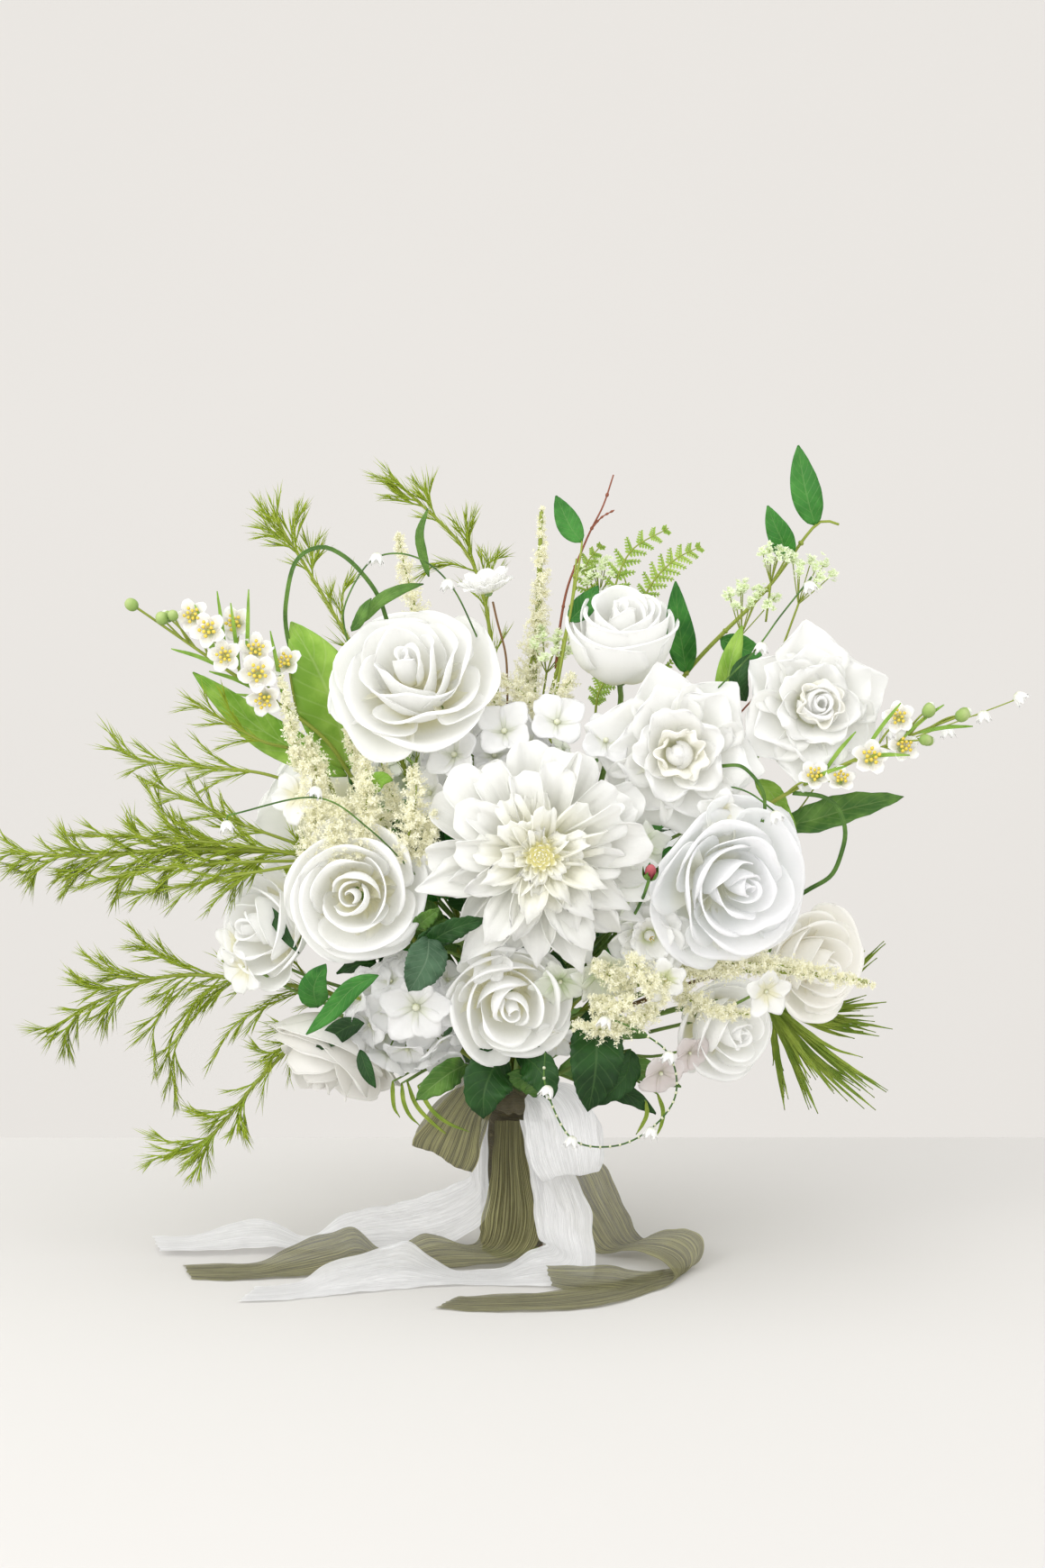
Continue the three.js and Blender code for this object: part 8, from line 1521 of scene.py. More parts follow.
def freesia_piece():
    name = "freesia_right"
    rng = np.random.default_rng(54)
    b = Build()
    c = line_points(name, 80)
    b.tube(c[:-3], np.interp(np.linspace(0, 1, 77), [0, 0.6, 1], [2.0, 1.6, 1.2]), 8, 1)
    big, small = BLOOMS[name]
    C, n = V3(*big["c"]), unit(V3(*big["f"]))
    fr = frame_of(n, 0.3)
    R = big["r"] * 1.3
    for i, (cnt, rr, zz, ww) in enumerate([(6, 0.5, 7.5, 0.34), (6, 0.8, 5.0, 0.42), (6, 1.02, 0.5, 0.48)]):
        for k in range(cnt):
            phi = 2 * math.pi * (k + 0.5 * i) / cnt + rng.uniform(-0.15, 0.15)
            petal(b, C, fr, phi, [(R * 0.05, -9), (R * rr * 0.35, -7), (R * rr * 0.8, zz), (R * rr, zz - 0.5)], R * ww * rng.uniform(0.9, 1.1), s0=0.3, s1=0.75, e=0.22, p=2.2, cup=(R * 0.22, R * 0.6), curl=R * 0.06 * i,
                  wave=(R * 0.07, rng.uniform(4, 7), rng.uniform(0, 6)), ridge=R * 0.012, nu=13, nv=11, th=0.5, rnd=rng.uniform(0, 1), tilt=rng.uniform(-1, 1) * R * 0.1)
    for k in range(7):
        a = rng.uniform(0, 6.28)
        d = unit(n + 0.25 * (fr[0] * math.cos(a) + fr[1] * math.sin(a)))
        b.spikes([C + n * 0.5], [d], 8.5, 0.8, 3, rnd=[0.2])
    q, m = V3(*small["c"]), unit(V3(*small["f"]))
    four_petals(b, q, m, small["r"] * 1.2, rng, 5, 0, 2, cupz=0.3, nu=9, nv=9)
    for k in range(6):
        a = 6.28 * k / 6
        f2 = frame_of(m)
        b.spikes([q], [unit(m + 0.4 * (f2[0] * math.cos(a) + f2[1] * math.sin(a)))], 4.0, 0.5, 3, rnd=[0.5])
    s = c[-10]
    b.tube(spline([s, (s + q) / 2 + V3(0, 4, 0), q - m * 1.0], 10), np.linspace(1.1, 0.8, 10), 6, 1)
    b.ball(C - n * 12, (3.6, 3.6, 4), 1, n, 9, 6)
    b.ball(C - n * 5, (3.4, 3.4, 4.5), 0, n, 9, 6)
    return b.make(name, [M["freesia"], M["stem"], M["eye"], M["stamen"]], [name], "small_flower")


def astilbe_piece(name, seed, dens, size=2.0, extra=(), wide=1.2):
    rng = np.random.default_rng(seed)
    b = Build()
    c = line_points(name, 90)
    b.tube(c, np.interp(np.linspace(0, 1, 90), [0, 0.5, 1], [2.0, 1.7, 1.2]), 8, 1)
    for p in PLUMES[name]:
        plume(b, [V3(*q) for q in p["p"]], [r * wide for r in p["r"]], rng, dens, size)
    for line, rad in extra:
        plume(b, [V3(*q) for q in line], rad, rng, dens, size)
    return b.make(name, [M["astilbe"], M["twig_green"]], [name], "astilbe_cream")


# ---------- ribbons ----------
def ribbon_frame(rows, per=12):
    """both edges of a ribbon as smooth lines through the given rows"""
    P = np.array([[r[0], r[1]] for r in rows], float)
    n = (len(P) - 1) * per + 1
    q = np.concatenate([[2 * P[0] - P[1]], P, [2 * P[-1] - P[-2]]])
    t = np.linspace(0, len(P) - 1, n)
    i = np.minimum(t.astype(int), len(P) - 2)
    f = (t - i)[:, None, None]
    a, b_, c, d = q[i], q[i + 1], q[i + 2], q[i + 3]
    E = 0.5 * (2 * b_ + (c - a) * f + (2 * a - 5 * b_ + 4 * c - d) * f ** 2 + (3 * b_ - a - 3 * c + d) * f ** 3)
    L, R = E[:, 0], E[:, 1]
    C = (L + R) / 2
    T = unit(np.gradient(C, axis=0))
    A = unit(R - L)
    return L, R, C, T, A, unit(np.cross(T, A))


def waves(rng, count, fu, fs):
    """a smooth crinkle: a sum of a few tilted waves"""
    k = [(rng.uniform(*fu) * rng.choice([-1, 1]), rng.uniform(*fs), rng.uniform(0, 6.28), rng.uniform(0.5, 1)) for _ in range(count)]
    tot = sum(x[3] for x in k)
    return lambda u, s: sum(g * np.sin(a * u + b * s + p) for a, b, p, g in k) / tot


def ribbon_grid(b, rows, rng, pleat, pleats, crinkle, ruffle, nu, floor, per=10, ragged=True, start=0.0):
    L, R, C, T, A, N = ribbon_frame(rows, per)
    s = start + np.r_[0, np.cumsum(np.linalg.norm(np.diff(C, axis=0), axis=1))]
    u = np.linspace(-1, 1, nu)[None, :]
    S = s[:, None]
    slow, fine = waves(rng, 4, (1, 4), (0.02, 0.07)), waves(rng, 6, (9, 22), (0.02, 0.10))
    ph = waves(rng, 3, (0, 0.4), (0.015, 0.04))
    low = np.clip((C[:, 2:3] - 1.0) / 14, 0.2, 1)           # flatter where it lies on the table
    dep = pleat * low * np.sin(u * pleats * np.pi + 1.6 * ph(u, S)) + 0.9 * low * slow(u, S) + crinkle * fine(u, S)
    edge = np.abs(u) ** 5
    dep = dep + ruffle * edge * np.sin(S / 9.0 + np.sign(u) * 1.3 + 2.0 * slow(u, S))
    k = (u * 0.5 + 0.5)[..., None]
    P = L[:, None] * (1 - k) + R[:, None] * k + N[:, None] * dep[..., None] + A[:, None] * (0.35 * edge * np.sin(S / 3.1 + u * 2))[..., None]
    if ragged:
        last = np.clip((s - s[-1] + 6) / 6, 0, 1)[:, None]
        P = P + T[:, None] * (last * 0.8 * np.sin(u * 9 + 1.0) * np.cos(u * 4))[..., None]
    lift = floor + 0.2 * (1 + np.sin(S * 0.5 + u * 7))
    P[..., 2] = np.where(P[..., 2] < lift, lift + (lift - P[..., 2]) * 0.2, P[..., 2])
    P = P.transpose(1, 0, 2)
    uu, ss = np.broadcast_arrays(u.T, (s / 100)[None, :])
    b.grid(P, 0.0, 0, np.stack([uu, ss, np.full_like(uu, rng.uniform(0, 9))], -1))
    return float(np.median(np.linalg.norm(np.diff(P, axis=0), axis=-1).sum(0))), float(np.median(np.linalg.norm(np.diff(P, axis=1), axis=-1).sum(1)))


def ribbon(name, mat, seed, pleat=0.8, pleats=2.0, crinkle=0.28, ruffle=0.5, slot="olive_ribbon", nu=33, floor=0.35, more=()):
    rng = np.random.default_rng(seed)
    b = Build()
    w, l = ribbon_grid(b, RIBBONS[name], rng, pleat, pleats, crinkle, ruffle, nu, floor)
    for rows in more:                        # a further fold of the same ribbon
        l += ribbon_grid(b, rows, rng, pleat * 0.5, pleats, crinkle, ruffle, nu, floor)[1]
    ob = b.make(name, [M[mat]], [name], slot)
    flat = (w * MM, l * MM)
    SHEETS[name] = flat
    return ob


SHEETS = {}


def wound_handle():
    """the ribbon wound round the stems: overlapping turns with soft folds"""
    b = Build()
    nu, nv = 200, 46
    a = np.linspace(0, 2 * np.pi, nu)[:, None]
    z = np.linspace(6.2, 94.2, nv)[None, :]
    k = z / 112
    R = 3 * (5.5 + (4.55 - 5.5) * k) + 2.1 + (1.95 - 2.1) * k
    rng = np.random.default_rng(70)
    turn = (z - 6.2) / 15.0 + a / (2 * np.pi)          # 15 mm up each turn
    f = turn % 1
    slow, fine = waves(rng, 4, (1, 3), (0.05, 0.12)), waves(rng, 7, (2, 9), (0.3, 0.9))
    au = np.round(2 * 1) * a
    bulge = 0.35 + 0.9 * (1 - f) ** 1.5 + 0.45 * np.sin(a * 5 + 6 * f) * f + 0.28 * fine(np.sin(a) * 3 + np.cos(2 * a), z)
    r = R + 0.55 + np.clip(bulge, 0.05, 2.4)
    P = np.stack([r * np.cos(a), r * np.sin(a), z + 0 * a], -1)
    vv = turn * 1.1
    attr = np.stack([np.sin(f * np.pi * 2 - np.pi), (a * 20 + turn * 130) / 100 + 0 * z, 0 * vv], -1)
    b.grid(P, 0.0, 0, attr)
    # turned in at both ends
    for zz, s in ((6.2, -1), (94.2, 1)):
        j = 0 if s < 0 else -1
        rim = P[:, j]
        inner = np.stack([(R[0, j] + 0.45) * np.cos(a[:, 0]), (R[0, j] + 0.45) * np.sin(a[:, 0]), np.full(nu, zz)], -1)
        b.grid(np.stack([rim, inner], 1), 0.0, 0)
    return b.make("handle_ribbon_wrap", [M["olive_wrap"]], ["handle_ribbon_wrap"], "olive_ribbon")


def knot():
    """a short band drawn tight round the ribbons"""
    b = Build()
    rng = np.random.default_rng(71)
    c, r = V3(1, -25.6, 99.5), V3(12.5, 6.4, 7.6)
    nu, nv = 72, 40
    a = np.linspace(0, 2 * np.pi, nu)[:, None]
    t = np.linspace(-1, 1, nv)[None, :]
    slow, fine = waves(rng, 4, (1, 3), (1.5, 4)), waves(rng, 6, (3, 8), (6, 14))
    rr = np.sqrt(np.clip(1 - np.abs(t) ** 2.4, 0, 1)) * 0.94
    folds = 1 + 0.09 * np.sin(t * 11 + 1.6 * np.sin(a)) + 0.05 * fine(np.cos(a) * 2, t)
    x = c[0] + t * r[0] * (1 + 0 * a)
    y = c[1] + r[1] * rr * folds * np.cos(a)
    z = c[2] + r[2] * rr * folds * np.sin(a)
    P = np.stack([x, y, z], -1)
    attr = np.stack([np.sin(a) + 0 * t, t * 0.3 + a * 0.1, 0 * t + 0 * a], -1)
    b.grid(P, 0.0, 0, attr)
    return b.make("bow_knot", [M["olive_wrap"]], ["bow_knot"], "olive_ribbon")


def tape():
    b = Build()
    nu, nv = 160, 24
    a = np.linspace(0, 2 * np.pi, nu)[:, None]
    z = np.linspace(95.3, 108.9, nv)[None, :]
    k = z / 112
    R = 3 * (5.5 + (4.55 - 5.5) * k) + 2.1 + (1.95 - 2.1) * k
    f = ((z - 95) / 5.0 + a / (2 * np.pi)) % 1
    r = R + 0.5 + 0.35 * (1 - f) + 0.12 * np.sin(a * 23 + z * 3)
    P = np.stack([r * np.cos(a), r * np.sin(a), z + 0 * a], -1)
    b.grid(P, 0.0, 0, np.stack([f + 0 * a, a * 0.2 + 0 * z, 0 * z + 0 * a], -1))
    for zz, j in ((95.3, 0), (108.9, -1)):
        inner = np.stack([(R[0, j] + 0.3) * np.cos(a[:, 0]), (R[0, j] + 0.3) * np.sin(a[:, 0]), np.full(nu, zz)], -1)
        b.grid(np.stack([P[:, j], inner], 1), 0.0, 0)
    return b.make("floral_tape_binding", [M["tape"]], ["floral_tape_binding"], "floral_tape")


# ---------- what the photo shows between the flowers ----------
def hang(b, node, p, w, mat, facing=(0, -1, 0.2), rng=None, shape=None, fold=0.25, ripple=0.6, nu=7, nv=18, th=0.4, serr=(0, 0)):
    leaf(b, [V3(*q) for q in p], [1, 1], facing, fold, ripple, serr, nu, nv, th, mat, rng.uniform(0, 1), shape=shape or oval(0.45, w / 2))


def strap(w):
    return lambda s: np.maximum(w / 2 * np.minimum(1, 0.4 + s * 3) * (1 - s ** 4), 0.2)


def leaves_left():
    b, rng = broad_leaf("broad_leaves_left", 43, [44, 23])
    A = at
    for p, w, m, sh in [
        ([A(352, 1118, -40), A(348, 1100, -50), A(352, 1085, -56), A(362, 1070, -60)], 19, 5, None),
        ([A(420, 1082, -96), A(392, 1096, -90), A(366, 1124, -84), A(340, 1148, -80)], 13, 5, None),
        ([A(289, 1003, -30), A(306, 1020, -44), A(318, 1040, -50), A(332, 1058, -56)], 8, 2, None),
        ([A(404, 1135, -70), A(385, 1140, -62), A(366, 1152, -56), A(350, 1166, -52)], 14, 2, None),
        ([A(400, 1165, -76), A(404, 1180, -80), A(410, 1195, -82), A(417, 1207, -82)], 9, 2, None),
        ([A(404, 880, -70), A(412, 872, -74), A(424, 864, -76), A(436, 866, -76)], 12, 0, None),
        ([A(390, 700, -46), A(398, 690, -50), A(404, 676, -50), A(412, 664, -46)], 7, 1, None),
        ([A(404, 690, -40), A(420, 668, -44), A(446, 654, -44), A(470, 648, -40)], 8, 1, None),
        ([A(476, 640, -20), A(468, 610, -22), A(466, 590, -22), A(475, 564, -20)], 6, 1, None),
    ]:
        hang(b, "", p, w, m, rng=rng, shape=sh)
    # grass-like loop behind the left rose
    loop = [A(340, 800, -20), A(330, 750, -26), A(318, 700, -30), A(318, 664, -34), A(329, 622, -34), A(356, 607, -36), A(383, 618, -38), A(406, 641, -40), A(421, 664, -40), A(430, 690, -36)]
    leaf(b, loop, [1, 1], (0, -1, 0.3), 0.35, 0.1, (0, 0), 5, 60, 0.4, 3, 0.3, shape=lambda s: np.full_like(s, 1.25))
    return b.make("broad_leaves_left", [M["leaf_light"], M["leaf"], M["leaf_dark"], M["tendril"], M["stem"], M["leaf_clear"]], ["broad_leaves_left"], "mid_leaf")


def leaf_right():
    b, rng = broad_leaf("broad_leaf_right", 44, [21], 1)
    A = at
    for p, w, m in [
        ([A(838, 866, -30), A(856, 880, -34), A(866, 900, -36), A(884, 920, -36)], 14, 0),
        ([A(805, 798, -26), A(806, 765, -30), A(812, 730, -30), A(824, 694, -26)], 15, 0),
        ([A(828, 778, -34), A(820, 760, -38), A(822, 742, -38), A(832, 726, -34)], 12, 2),
    ]:
        hang(b, "", p, w, m, rng=rng)
    for loop, w in [([A(880, 880, -50), A(913, 884, -56), A(930, 897, -60), A(938, 920, -62), A(935, 943, -60), A(923, 971, -54), A(898, 987, -46), A(876, 1000, -40)], 1.3),
                    ([A(800, 850, -64), A(824, 851, -70), A(845, 874, -72), A(849, 897, -70), A(846, 912, -66)], 1.0)]:
        leaf(b, loop, [1, 1], (0, -1, 0.3), 0.35, 0.1, (0, 0), 5, 44, 0.4, 3, 0.3, shape=lambda s, w=w: np.full_like(s, w))
    return b.make("broad_leaf_right", [M["leaf_light"], M["leaf"], M["leaf_dark"], M["tendril"], M["stem"]], ["broad_leaf_right"], "mid_leaf")


def under_leaves():
    """the dark leaves that close the underside of the bunch, on short stalks from its stems"""
    rng = np.random.default_rng(47)
    b = Build()
    A = at
    rows = [
        ([A(560, 1170, -56), A(545, 1190, -72), A(537, 1214, -80), A(537, 1241, -78)], 34, 1, (12, 0.10)),
        ([A(575, 1168, -60), A(592, 1180, -74), A(604, 1196, -80), A(612, 1222, -78)], 24, 1, (10, 0.10)),
        ([A(520, 1180, -60), A(500, 1190, -70), A(480, 1205, -74), A(462, 1221, -72)], 18, 0, (0, 0)),
        ([A(660, 1120, -60), A(662, 1160, -74), A(660, 1195, -78), A(653, 1233, -72)], 34, 1, (14, 0.08)),
        ([A(700, 1165, -60), A(696, 1190, -66), A(682, 1208, -70), A(660, 1227, -70)], 17, 1, (10, 0.08)),
        ([A(476, 1040, -100), A(474, 1062, -108), A(466, 1080, -110), A(454, 1100, -108)], 26, 2, (14, 0.10)),
        ([A(500, 1042, -92), A(486, 1040, -96), A(474, 1042, -98), A(460, 1050, -98)], 14, 1, (8, 0.1)),
        ([A(470, 1052, -96), A(492, 1036, -104), A(516, 1026, -106), A(542, 1020, -104)], 15, 1, (12, 0.12)),
        ([A(462, 1030, -86), A(470, 1022, -92), A(478, 1016, -94), A(488, 1008, -94)], 11, 0, (0, 0)),
        ([A(600, 1215, -40), A(590, 1200, -54), A(572, 1196, -60), A(552, 1200, -60)], 16, 0, (0, 0)),
        ([A(640, 1200, -30), A(668, 1204, -40), A(700, 1216, -44), A(728, 1236, -42)], 14, 1, (0, 0)),
        ([A(620, 1190, 10), A(660, 1180, 30), A(710, 1186, 44), A(756, 1206, 50)], 20, 0, (0, 0)),
        ([A(530, 1180, 10), A(490, 1170, 30), A(440, 1176, 44), A(392, 1200, 50)], 20, 1, (0, 0)),
        ([A(560, 1160, 40), A(540, 1150, 70), A(510, 1150, 96), A(480, 1160, 112)], 26, 1, (12, 0.1)),
        ([A(600, 1150, 40), A(640, 1140, 66), A(680, 1140, 84), A(720, 1150, 98)], 26, 0, (12, 0.1)),
    ]
    for p, w, m, se in rows:
        leaf(b, p, [1, 1], (0.1, -1, -0.1) if p[1][1] < 0 else (0, 1, -0.2), 0.18, 1.2, se, 11, 30, 0.5, m, rng.uniform(0, 1), shape=oval(0.42, w / 2, 0.95))
        foot = V3(p[0][0] * 0.35, p[0][1] * 0.35, max(112, p[0][2] - 26))
        b.tube(spline([foot, (foot + p[0]) / 2 + V3(0, 0, 3), p[0]], 10), np.linspace(1.2, 0.8, 10), 6, 3)
    # narrow curved blades under the hydrangea
    for p in [[A(446, 1202, -50), A(448, 1222, -56), A(455, 1238, -56), A(466, 1249, -54)], [A(464, 1205, -56), A(478, 1230, -62), A(497, 1246, -62), A(521, 1256, -60)],
              [A(452, 1200, -46), A(462, 1226, -52), A(480, 1246, -54), A(500, 1262, -52)], [A(717, 1222, -44), A(718, 1236, -46), A(713, 1248, -46), A(706, 1259, -44)],
              [A(730, 1214, -44), A(736, 1232, -46), A(734, 1248, -46), A(728, 1262, -44)], [A(436, 1200, -46), A(436, 1216, -50), A(438, 1230, -50), A(444, 1240, -50)]]:
        leaf(b, p, [1, 1], (0, -1, 0), 0.4, 0.1, (0, 0), 5, 20, 0.35, 4, rng.uniform(0, 1), shape=strap(2.6))
        foot = V3(p[0][0] * 0.5, p[0][1] * 0.5, 122)
        b.tube(spline([foot, (foot + p[0]) / 2 + V3(0, 0, 4), p[0]], 8), np.linspace(0.9, 0.6, 8), 5, 3)
    return b.make("under_leaves", [M["leaf"], M["leaf_dark"], M["leaf_grey"], M["stem"], M["blade"]], [], "mid_leaf")


def fine_wires():
    """thin stalks with small nodding bells"""
    rng = np.random.default_rng(48)
    b = Build()
    A = at
    wires = [
        ([A(400, 760, -30), A(383, 700, -40), A(384, 668, -44), A(409, 625, -46), A(440, 614, -46), A(475, 625, -44), A(505, 656, -40), A(532, 712, -34)], [(418, 617, -46), (497, 646, -42)]),
        ([A(470, 980, -70), A(410, 920, -90), A(350, 885, -92), A(252, 905, -70)], [(350, 876, -92), (252, 914, -70)]),
        ([A(770, 790, -40), A(835, 725, -52), A(866, 684, -50), A(901, 640, -44)], [(845, 716, -52), (899, 648, -44)]),
        ([A(605, 1168, -96), A(606, 1207, -100), A(634, 1263, -96), A(680, 1272, -90), A(722, 1253, -88), A(750, 1215, -90), A(742, 1169, -94), A(700, 1140, -98), A(668, 1128, -98)],
         [(671, 1131, -100), (742, 1170, -96), (607, 1208, -102), (634, 1264, -98), (722, 1254, -90)]),
        ([A(800, 870, -60), A(832, 880, -74), A(862, 902, -78)], [(862, 903, -78)]),
    ]
    for line, bells in wires:
        c = spline(line, 70)
        b.tube(c, np.full(70, 0.55), 5, 1)
        if len(bells) > 4:               # this one is set with tiny beads
            for q in c[3:-3:2]:
                b.ball(q, (0.95, 0.95, 1.1), 6, (0, 0, 1), 6, 4, 0.5)
        for (x, y, d) in bells:
            q = A(x, y, d)
            k = int(np.linalg.norm(c - q, axis=1).argmin())
            bell(b, q + V3(0, -1, -2.0), V3(rng.uniform(-0.4, 0.4), -0.35, -0.9), 4.3, rng, 0, c[k], 1)
    # a small single flower seen from the side on a thin stalk
    p = spline([A(563, 800, -30), A(563, 759, -34), A(561, 725, -36), A(552, 690, -38), A(547, 668, -38)], 26)
    b.tube(p, np.full(26, 0.7), 5, 2)
    fr_n = unit(V3(-0.2, -0.10, 0.97))
    C = A(541, 652, -38)
    fr = frame_of(fr_n, 0.2)
    for k in range(14):
        g = rng.uniform(-1, 1)
        petal(b, C, fr, 2 * math.pi * k / 7 + (0.45 if k > 6 else 0), [(1, -3), (7, -2.5), (12, 2.5 + g + (2.5 if k > 6 else 0)), ((13 if k > 6 else 17) + g, 5.0 + 1.5 * g + (4.5 if k > 6 else 0))], 6.0, s0=0.3, s1=0.8, e=0.15, p=2.5, cup=(6, 14), curl=1.0, wave=(0.8, 6, k), ridge=0.4, nu=9, nv=9, th=0.45, rnd=rng.uniform(0, 1), mat=3)
    b.ball(C + fr_n * 0.5, (2.0, 2.0, 1.8), 4, fr_n, 9, 5)
    b.ball(C - fr_n * 3.2, (2.6, 2.6, 2.4), 1, fr_n, 8, 5)
    # a closed red-pink bud with its green calyx, beside the large flower
    q = A(722, 968, -106)
    d = unit(V3(0.1, -0.5, 0.85))
    b.ball(q, (3.3, 3.3, 5.6), 5, d, 12, 9, 0.5)
    for k in range(5):
        f2 = frame_of(d, 0.3)
        petal(b, q - d * 5.0, f2, 2 * math.pi * k / 5, [(1.0, 0), (4.6, 0.6), (5.0, 4.0), (4.6, 8.5)], 2.2, s0=0.8, s1=0.2, e=0.1, p=2, cup=(3, 5), nu=5, nv=7, th=0.4, rnd=0.4, mat=1)
    b.tube(spline([q - d * 5, A(712, 1000, -92), A(690, 1040, -70)], 10), np.full(10, 1.0), 6, 1)
    return b.make("fine_stalks", [M["bell"], M["tendril"], M["twig"], M["freesia"], M["stamen"], M["bud_red"], M["eye"]], [], "small_flower")


def lace_flowers():
    """flat heads of very small greenish-white flowers on thin forked stalks"""
    rng = np.random.default_rng(49)
    b = Build()
    A = at
    for (x, y, d, r, n), root in [((832, 660, -20, 17, 170), (812, 760, -14)), ((901, 630, -14, 17, 160), (868, 720, -10)), ((663, 628, -6, 13, 110), (668, 700, 0)), ((612, 712, -20, 15, 130), (600, 790, -6)), ((860, 612, -14, 10, 80), (850, 690, -10))]:
        top, foot = A(x, y, d), A(*root)
        up = unit(top - foot + V3(0, -18, 6))
        a, c = side_axes(up)
        fork = foot + (top - foot) * 0.55
        b.tube(spline([foot, (foot + fork) / 2, fork], 8), np.full(8, 0.7), 5, 1)
        cl = []
        for k in range(9):
            g = 2.4 * k
            q = top + (a * math.cos(g) + c * math.sin(g)) * r * math.sqrt((k + 0.5) / 9) - up * 2.2 * (k / 9)
            b.tube(spline([fork, fork * 0.45 + q * 0.55 - up * 0.5, q], 6), np.full(6, 0.35), 4, 1, cap=False)
            cl.append(q)
        cl = np.array(cl)
        pos = cl[rng.integers(0, 9, n)] + rng.normal(0, 1.6, (n, 3))
        b.florets(pos, up + rng.normal(0, 0.3, (n, 3)), rng.uniform(1.6, 2.6, n), 5, 0.3, 0.7, 0, rng=rng)
    return b.make("lace_flowers", [M["lace"], M["twig_green"]], [], "small_flower")


def twigs():
    rng = np.random.default_rng(50)
    b = Build()
    A = at
    for line, m, r in [
        ([A(617, 742, -14), A(621, 700, -10), A(630, 652, -8), A(648, 606, -6), A(657, 586, -6), A(670, 560, -4), A(681, 527, -2)], 0, 0.9),
        ([A(657, 586, -6), A(668, 574, -8), A(682, 566, -10)], 0, 0.6),
        ([A(604, 800, -14), A(610, 775, -18), A(621, 733, -22), A(634, 672, -20), A(640, 620, -18)], 1, 1.2),
        ([A(760, 800, -20), A(793, 765, -26), A(836, 742, -28), A(880, 717, -26)], 0, 0.8),
        ([A(790, 830, -26), A(834, 778, -30), A(860, 764, -30)], 0, 0.8),
        ([A(500, 1200, -40), A(470, 1160, -60), A(420, 1120, -64), A(380, 1100, -60)], 1, 1.0),
    ]:
        c = spline(line, 40)
        b.tube(c, np.linspace(r, r * 0.5, 40), 6, m)
        for k in (12, 20, 28, 35):
            b.ball(c[k], (r * 1.25, r * 1.25, 1.4), m, c[k + 1] - c[k - 1], 7, 5)
    return b.make("red_twigs", [M["twig_red"], M["twig_green"]], [], "mid_leaf")



# ---------- build everything ----------
M["bud_red"] = needle_material("bud_red", "#8e4038", "#b0485a", "#cc6c74")
build_heads()
build_greens()
ruscus_right()
ruscus_top()
leaves_left()
filler_leaves()
leaf_right()
palm_grass()
fern()
wax_piece("wax_flowers_left", 51, [(at(146, 671, -40), 3.9), (at(180, 686, -44), 3.9), (at(192, 683, -46), 3.2)],
          [at(216, 671, -40), at(241, 656, -44), at(256, 669, -46), at(276, 654, -44), at(212, 692, -40), at(190, 720, -46), at(232, 745, -50), at(262, 770, -52), at(300, 700, -44)], twig="twig_green")
wax_piece("wax_flowers_right", 52, [(at(1031, 789, -60), 4.0), (at(1068, 794, -60), 4.0), (at(1027, 821, -64), 3.4)],
          [at(1048, 782, -60), at(1000, 780, -66), at(1010, 838, -70), at(950, 812, -70), at(940, 850, -74), at(1080, 806, -56)], twig="twig_green")
lily_piece()
freesia_piece()
astilbe_piece("astilbe_top", 55, 24, 1.9, extra=[([at(600, 800, -22), at(585, 775, -32), at(566, 758, -36), at(550, 748, -34)], [8, 11, 9, 3]), ([at(610, 800, -22), at(618, 778, -30), at(630, 760, -34), at(638, 748, -34)], [7, 9, 7, 2]), ([at(560, 800, -30), at(552, 786, -38), at(546, 772, -40)], [7, 9, 4])], wide=0.95)
astilbe_piece("astilbe_left", 56, 26, 2.0, extra=[
    ([at(340, 960, -60), at(350, 915, -66), at(352, 870, -60), at(345, 820, -50)], [9, 13, 11, 3]), ([at(400, 950, -70), at(405, 910, -78), at(408, 870, -76), at(404, 842, -70)], [9, 13, 10, 3]),
    ([at(445, 960, -72), at(455, 920, -82), at(462, 880, -80), at(458, 850, -76)], [9, 12, 9, 2]), ([at(470, 960, -72), at(478, 930, -82), at(482, 902, -82)], [8, 9, 2]),
    ([at(372, 960, -66), at(376, 925, -76), at(380, 890, -74)], [10, 13, 6])], wide=1.25)
astilbe_piece("astilbe_right", 57, 24, 2.0, extra=[
    ([at(700, 1100, -76), at(680, 1085, -92), at(658, 1068, -98)], [9, 10, 3]), ([at(730, 1120, -78), at(700, 1134, -92), at(668, 1142, -94), at(640, 1138, -90)], [9, 11, 9, 4]),
    ([at(740, 1110, -80), at(720, 1090, -94), at(700, 1062, -100)], [9, 11, 5]), ([at(660, 1110, -84), at(676, 1120, -96), at(700, 1112, -100)], [8, 10, 6])], wide=1.25)
astilbe_piece("astilbe_back", 58, 18, 2.1)
fill_flowers()
under_leaves()
fine_wires()
lace_flowers()
twigs()

wound_handle()
tape()
knot()
ribbon("ribbon_tail_olive_left", "olive", 81)
ribbon("ribbon_tail_olive_right", "olive", 82, more=[[
    (at(727, 1434, -84), at(738, 1409, -46)), (at(712, 1436, -86), at(716, 1410, -56)), (at(697, 1436, -86), at(698, 1409, -62)), (at(678, 1435, -86), at(682, 1405, -66)),
    (at(655, 1434, -85), at(655, 1404, -68)), (at(630, 1431, -84), at(630, 1404, -70)), (at(613, 1427, -83), at(606, 1404, -70))]])
ribbon("ribbon_tail_white_left", "white_ribbon", 83, slot="white_ribbon")
ribbon("ribbon_tail_white_front", "white_ribbon", 84, slot="white_ribbon")
ribbon("bow_loop_olive", "olive", 85, pleat=0.8, pleats=1.5, ruffle=0.4)
ribbon("bow_loop_white", "white_ribbon", 86, pleat=0.8, pleats=1.5, ruffle=0.4, slot="white_ribbon")

# ---------- floor, wall, light and camera ----------
scene = bpy.context.scene


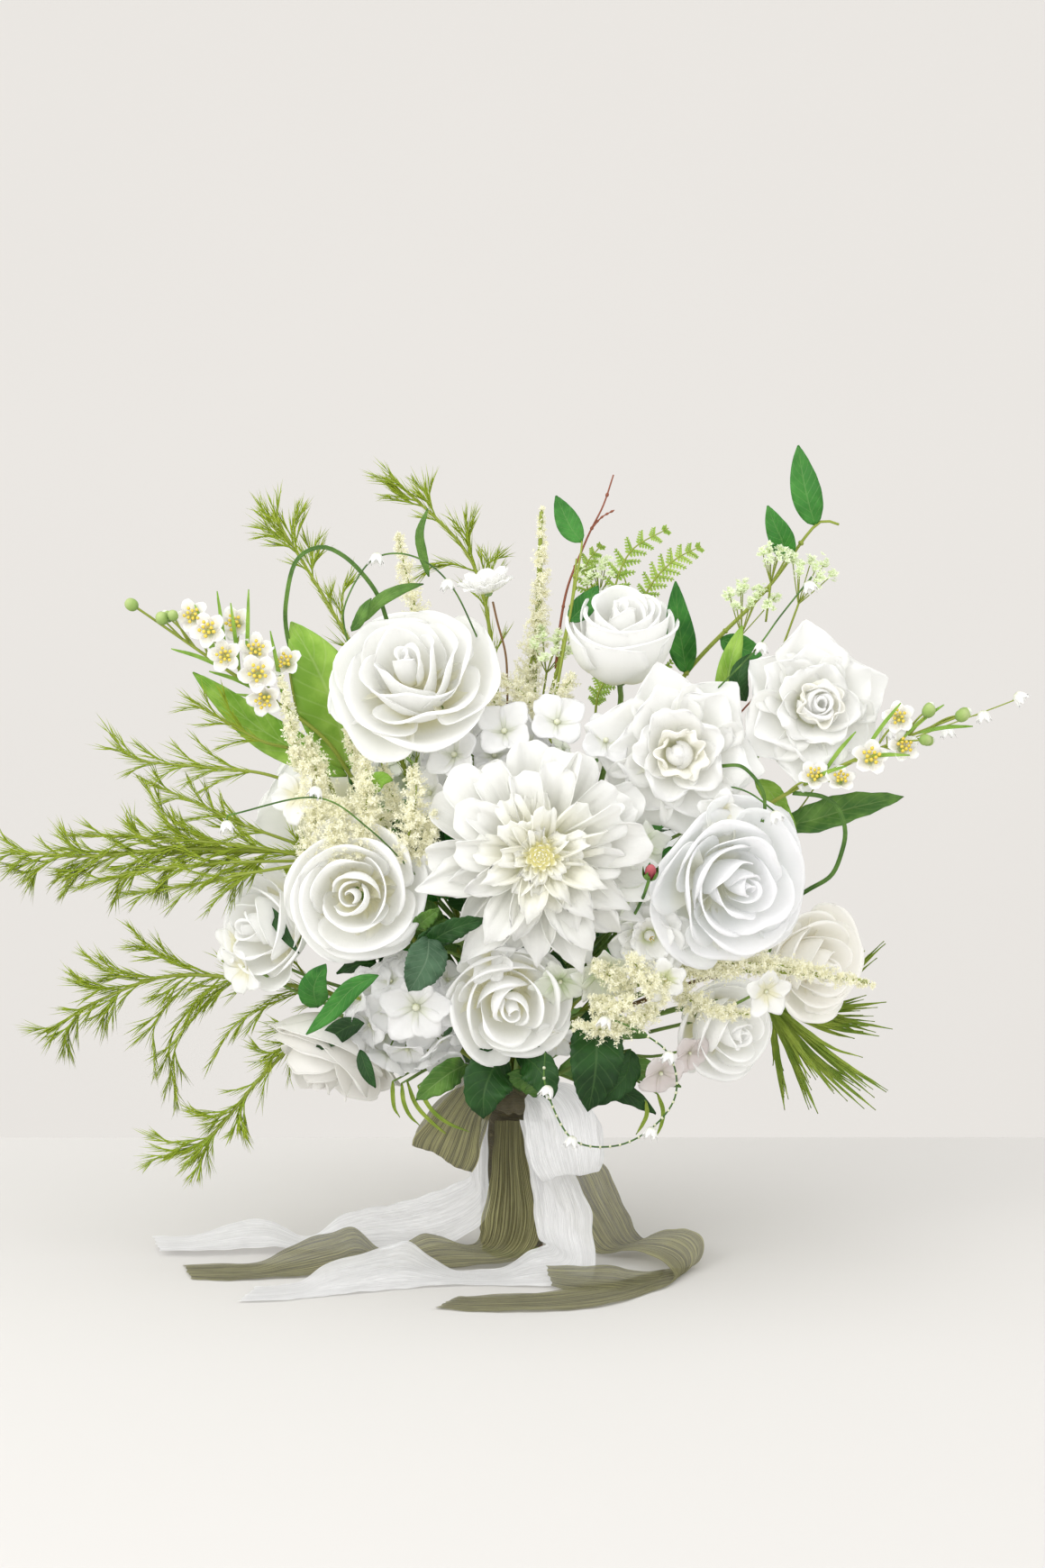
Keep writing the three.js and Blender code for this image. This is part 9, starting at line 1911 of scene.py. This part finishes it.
def plain(name, color, rough=0.85):
    n = Nodes(name)
    v = n.noise(n.obj(), 3.0, 3)
    c = n.mix(v, lin(color), tuple(x * 0.985 for x in lin(color)[:3]) + (1.0,))
    return n.finish(c, rough, None, 0.0, spec=0.15)


def sheet_mesh(name, pts, faces, mat):
    me = bpy.data.meshes.new(name)
    me.from_pydata([tuple(np.array(p) * MM) for p in pts], [], faces)
    me.materials.append(mat)
    ob = bpy.data.objects.new(name, me)
    scene.collection.objects.link(ob)
    return ob


# the table ends a hand's breadth behind the bunch; the wall stands well behind it
floor = sheet_mesh("floor", [(-6000, -4000, 0), (6000, -4000, 0), (6000, 272, 0), (-6000, 272, 0)], [(0, 1, 2, 3)], plain("floor_paint", "#d7d5d2"))
wall = sheet_mesh("wall", [(-12000, 4800, -6500), (12000, 4800, -6500), (12000, 4800, 10500), (-12000, 4800, 10500)], [(0, 1, 2, 3)], plain("wall_paint", "#e2dfdb"))

world = bpy.data.worlds.new("studio")
world.use_nodes = True
world.node_tree.nodes["Background"].inputs[0].default_value = (1.0, 0.996, 0.99, 1)
world.node_tree.nodes["Background"].inputs[1].default_value = 1.0
scene.world = world


def area(name, loc, target, size, power, color=(1, 1, 1)):
    d = bpy.data.lights.new(name, "AREA")
    d.shape = "RECTANGLE"
    d.size, d.size_y = size
    d.energy = power
    d.color = color
    ob = bpy.data.objects.new(name, d)
    ob.location = loc
    from mathutils import Vector
    ob.rotation_euler = (Vector(target) - Vector(loc)).to_track_quat("-Z", "Y").to_euler()
    scene.collection.objects.link(ob)
    return ob


area("window_left", (-2.0, -1.7, 1.6), (0, 0, 0.25), (1.8, 1.8), 34, (1.0, 0.995, 0.99))
area("soft_front", (-0.4, -3.4, 2.0), (0, 0, 0.25), (2.4, 1.8), 13, (1, 1, 1))
area("fill_right", (2.4, -0.9, 1.5), (0.2, 0, 0.1), (1.8, 1.8), 11, (1, 1, 1))
area("top", (-0.3, -0.2, 2.2), (0, 0, 0.2), (1.6, 1.6), 8, (1, 1, 1))

cam = bpy.data.cameras.new("camera")
cam.sensor_fit = "VERTICAL"
cam.sensor_height = SENSOR
cam.sensor_width = SENSOR
cam.lens = LENS
cam.clip_end = 50
co = bpy.data.objects.new("camera", cam)
co.location = tuple(CAM_P * MM)
co.rotation_euler = (math.pi / 2 - PITCH, 0, 0)
scene.collection.objects.link(co)
scene.camera = co
scene.view_settings.view_transform = "Standard"
scene.view_settings.look = "None"
scene.view_settings.exposure = 0.0

print("triangles", sum(COUNT.values()), {k: v for k, v in sorted(COUNT.items(), key=lambda x: -x[1])[:14]})
print("sheets", {k: (round(v[0], 4), round(v[1], 4)) for k, v in SHEETS.items()})
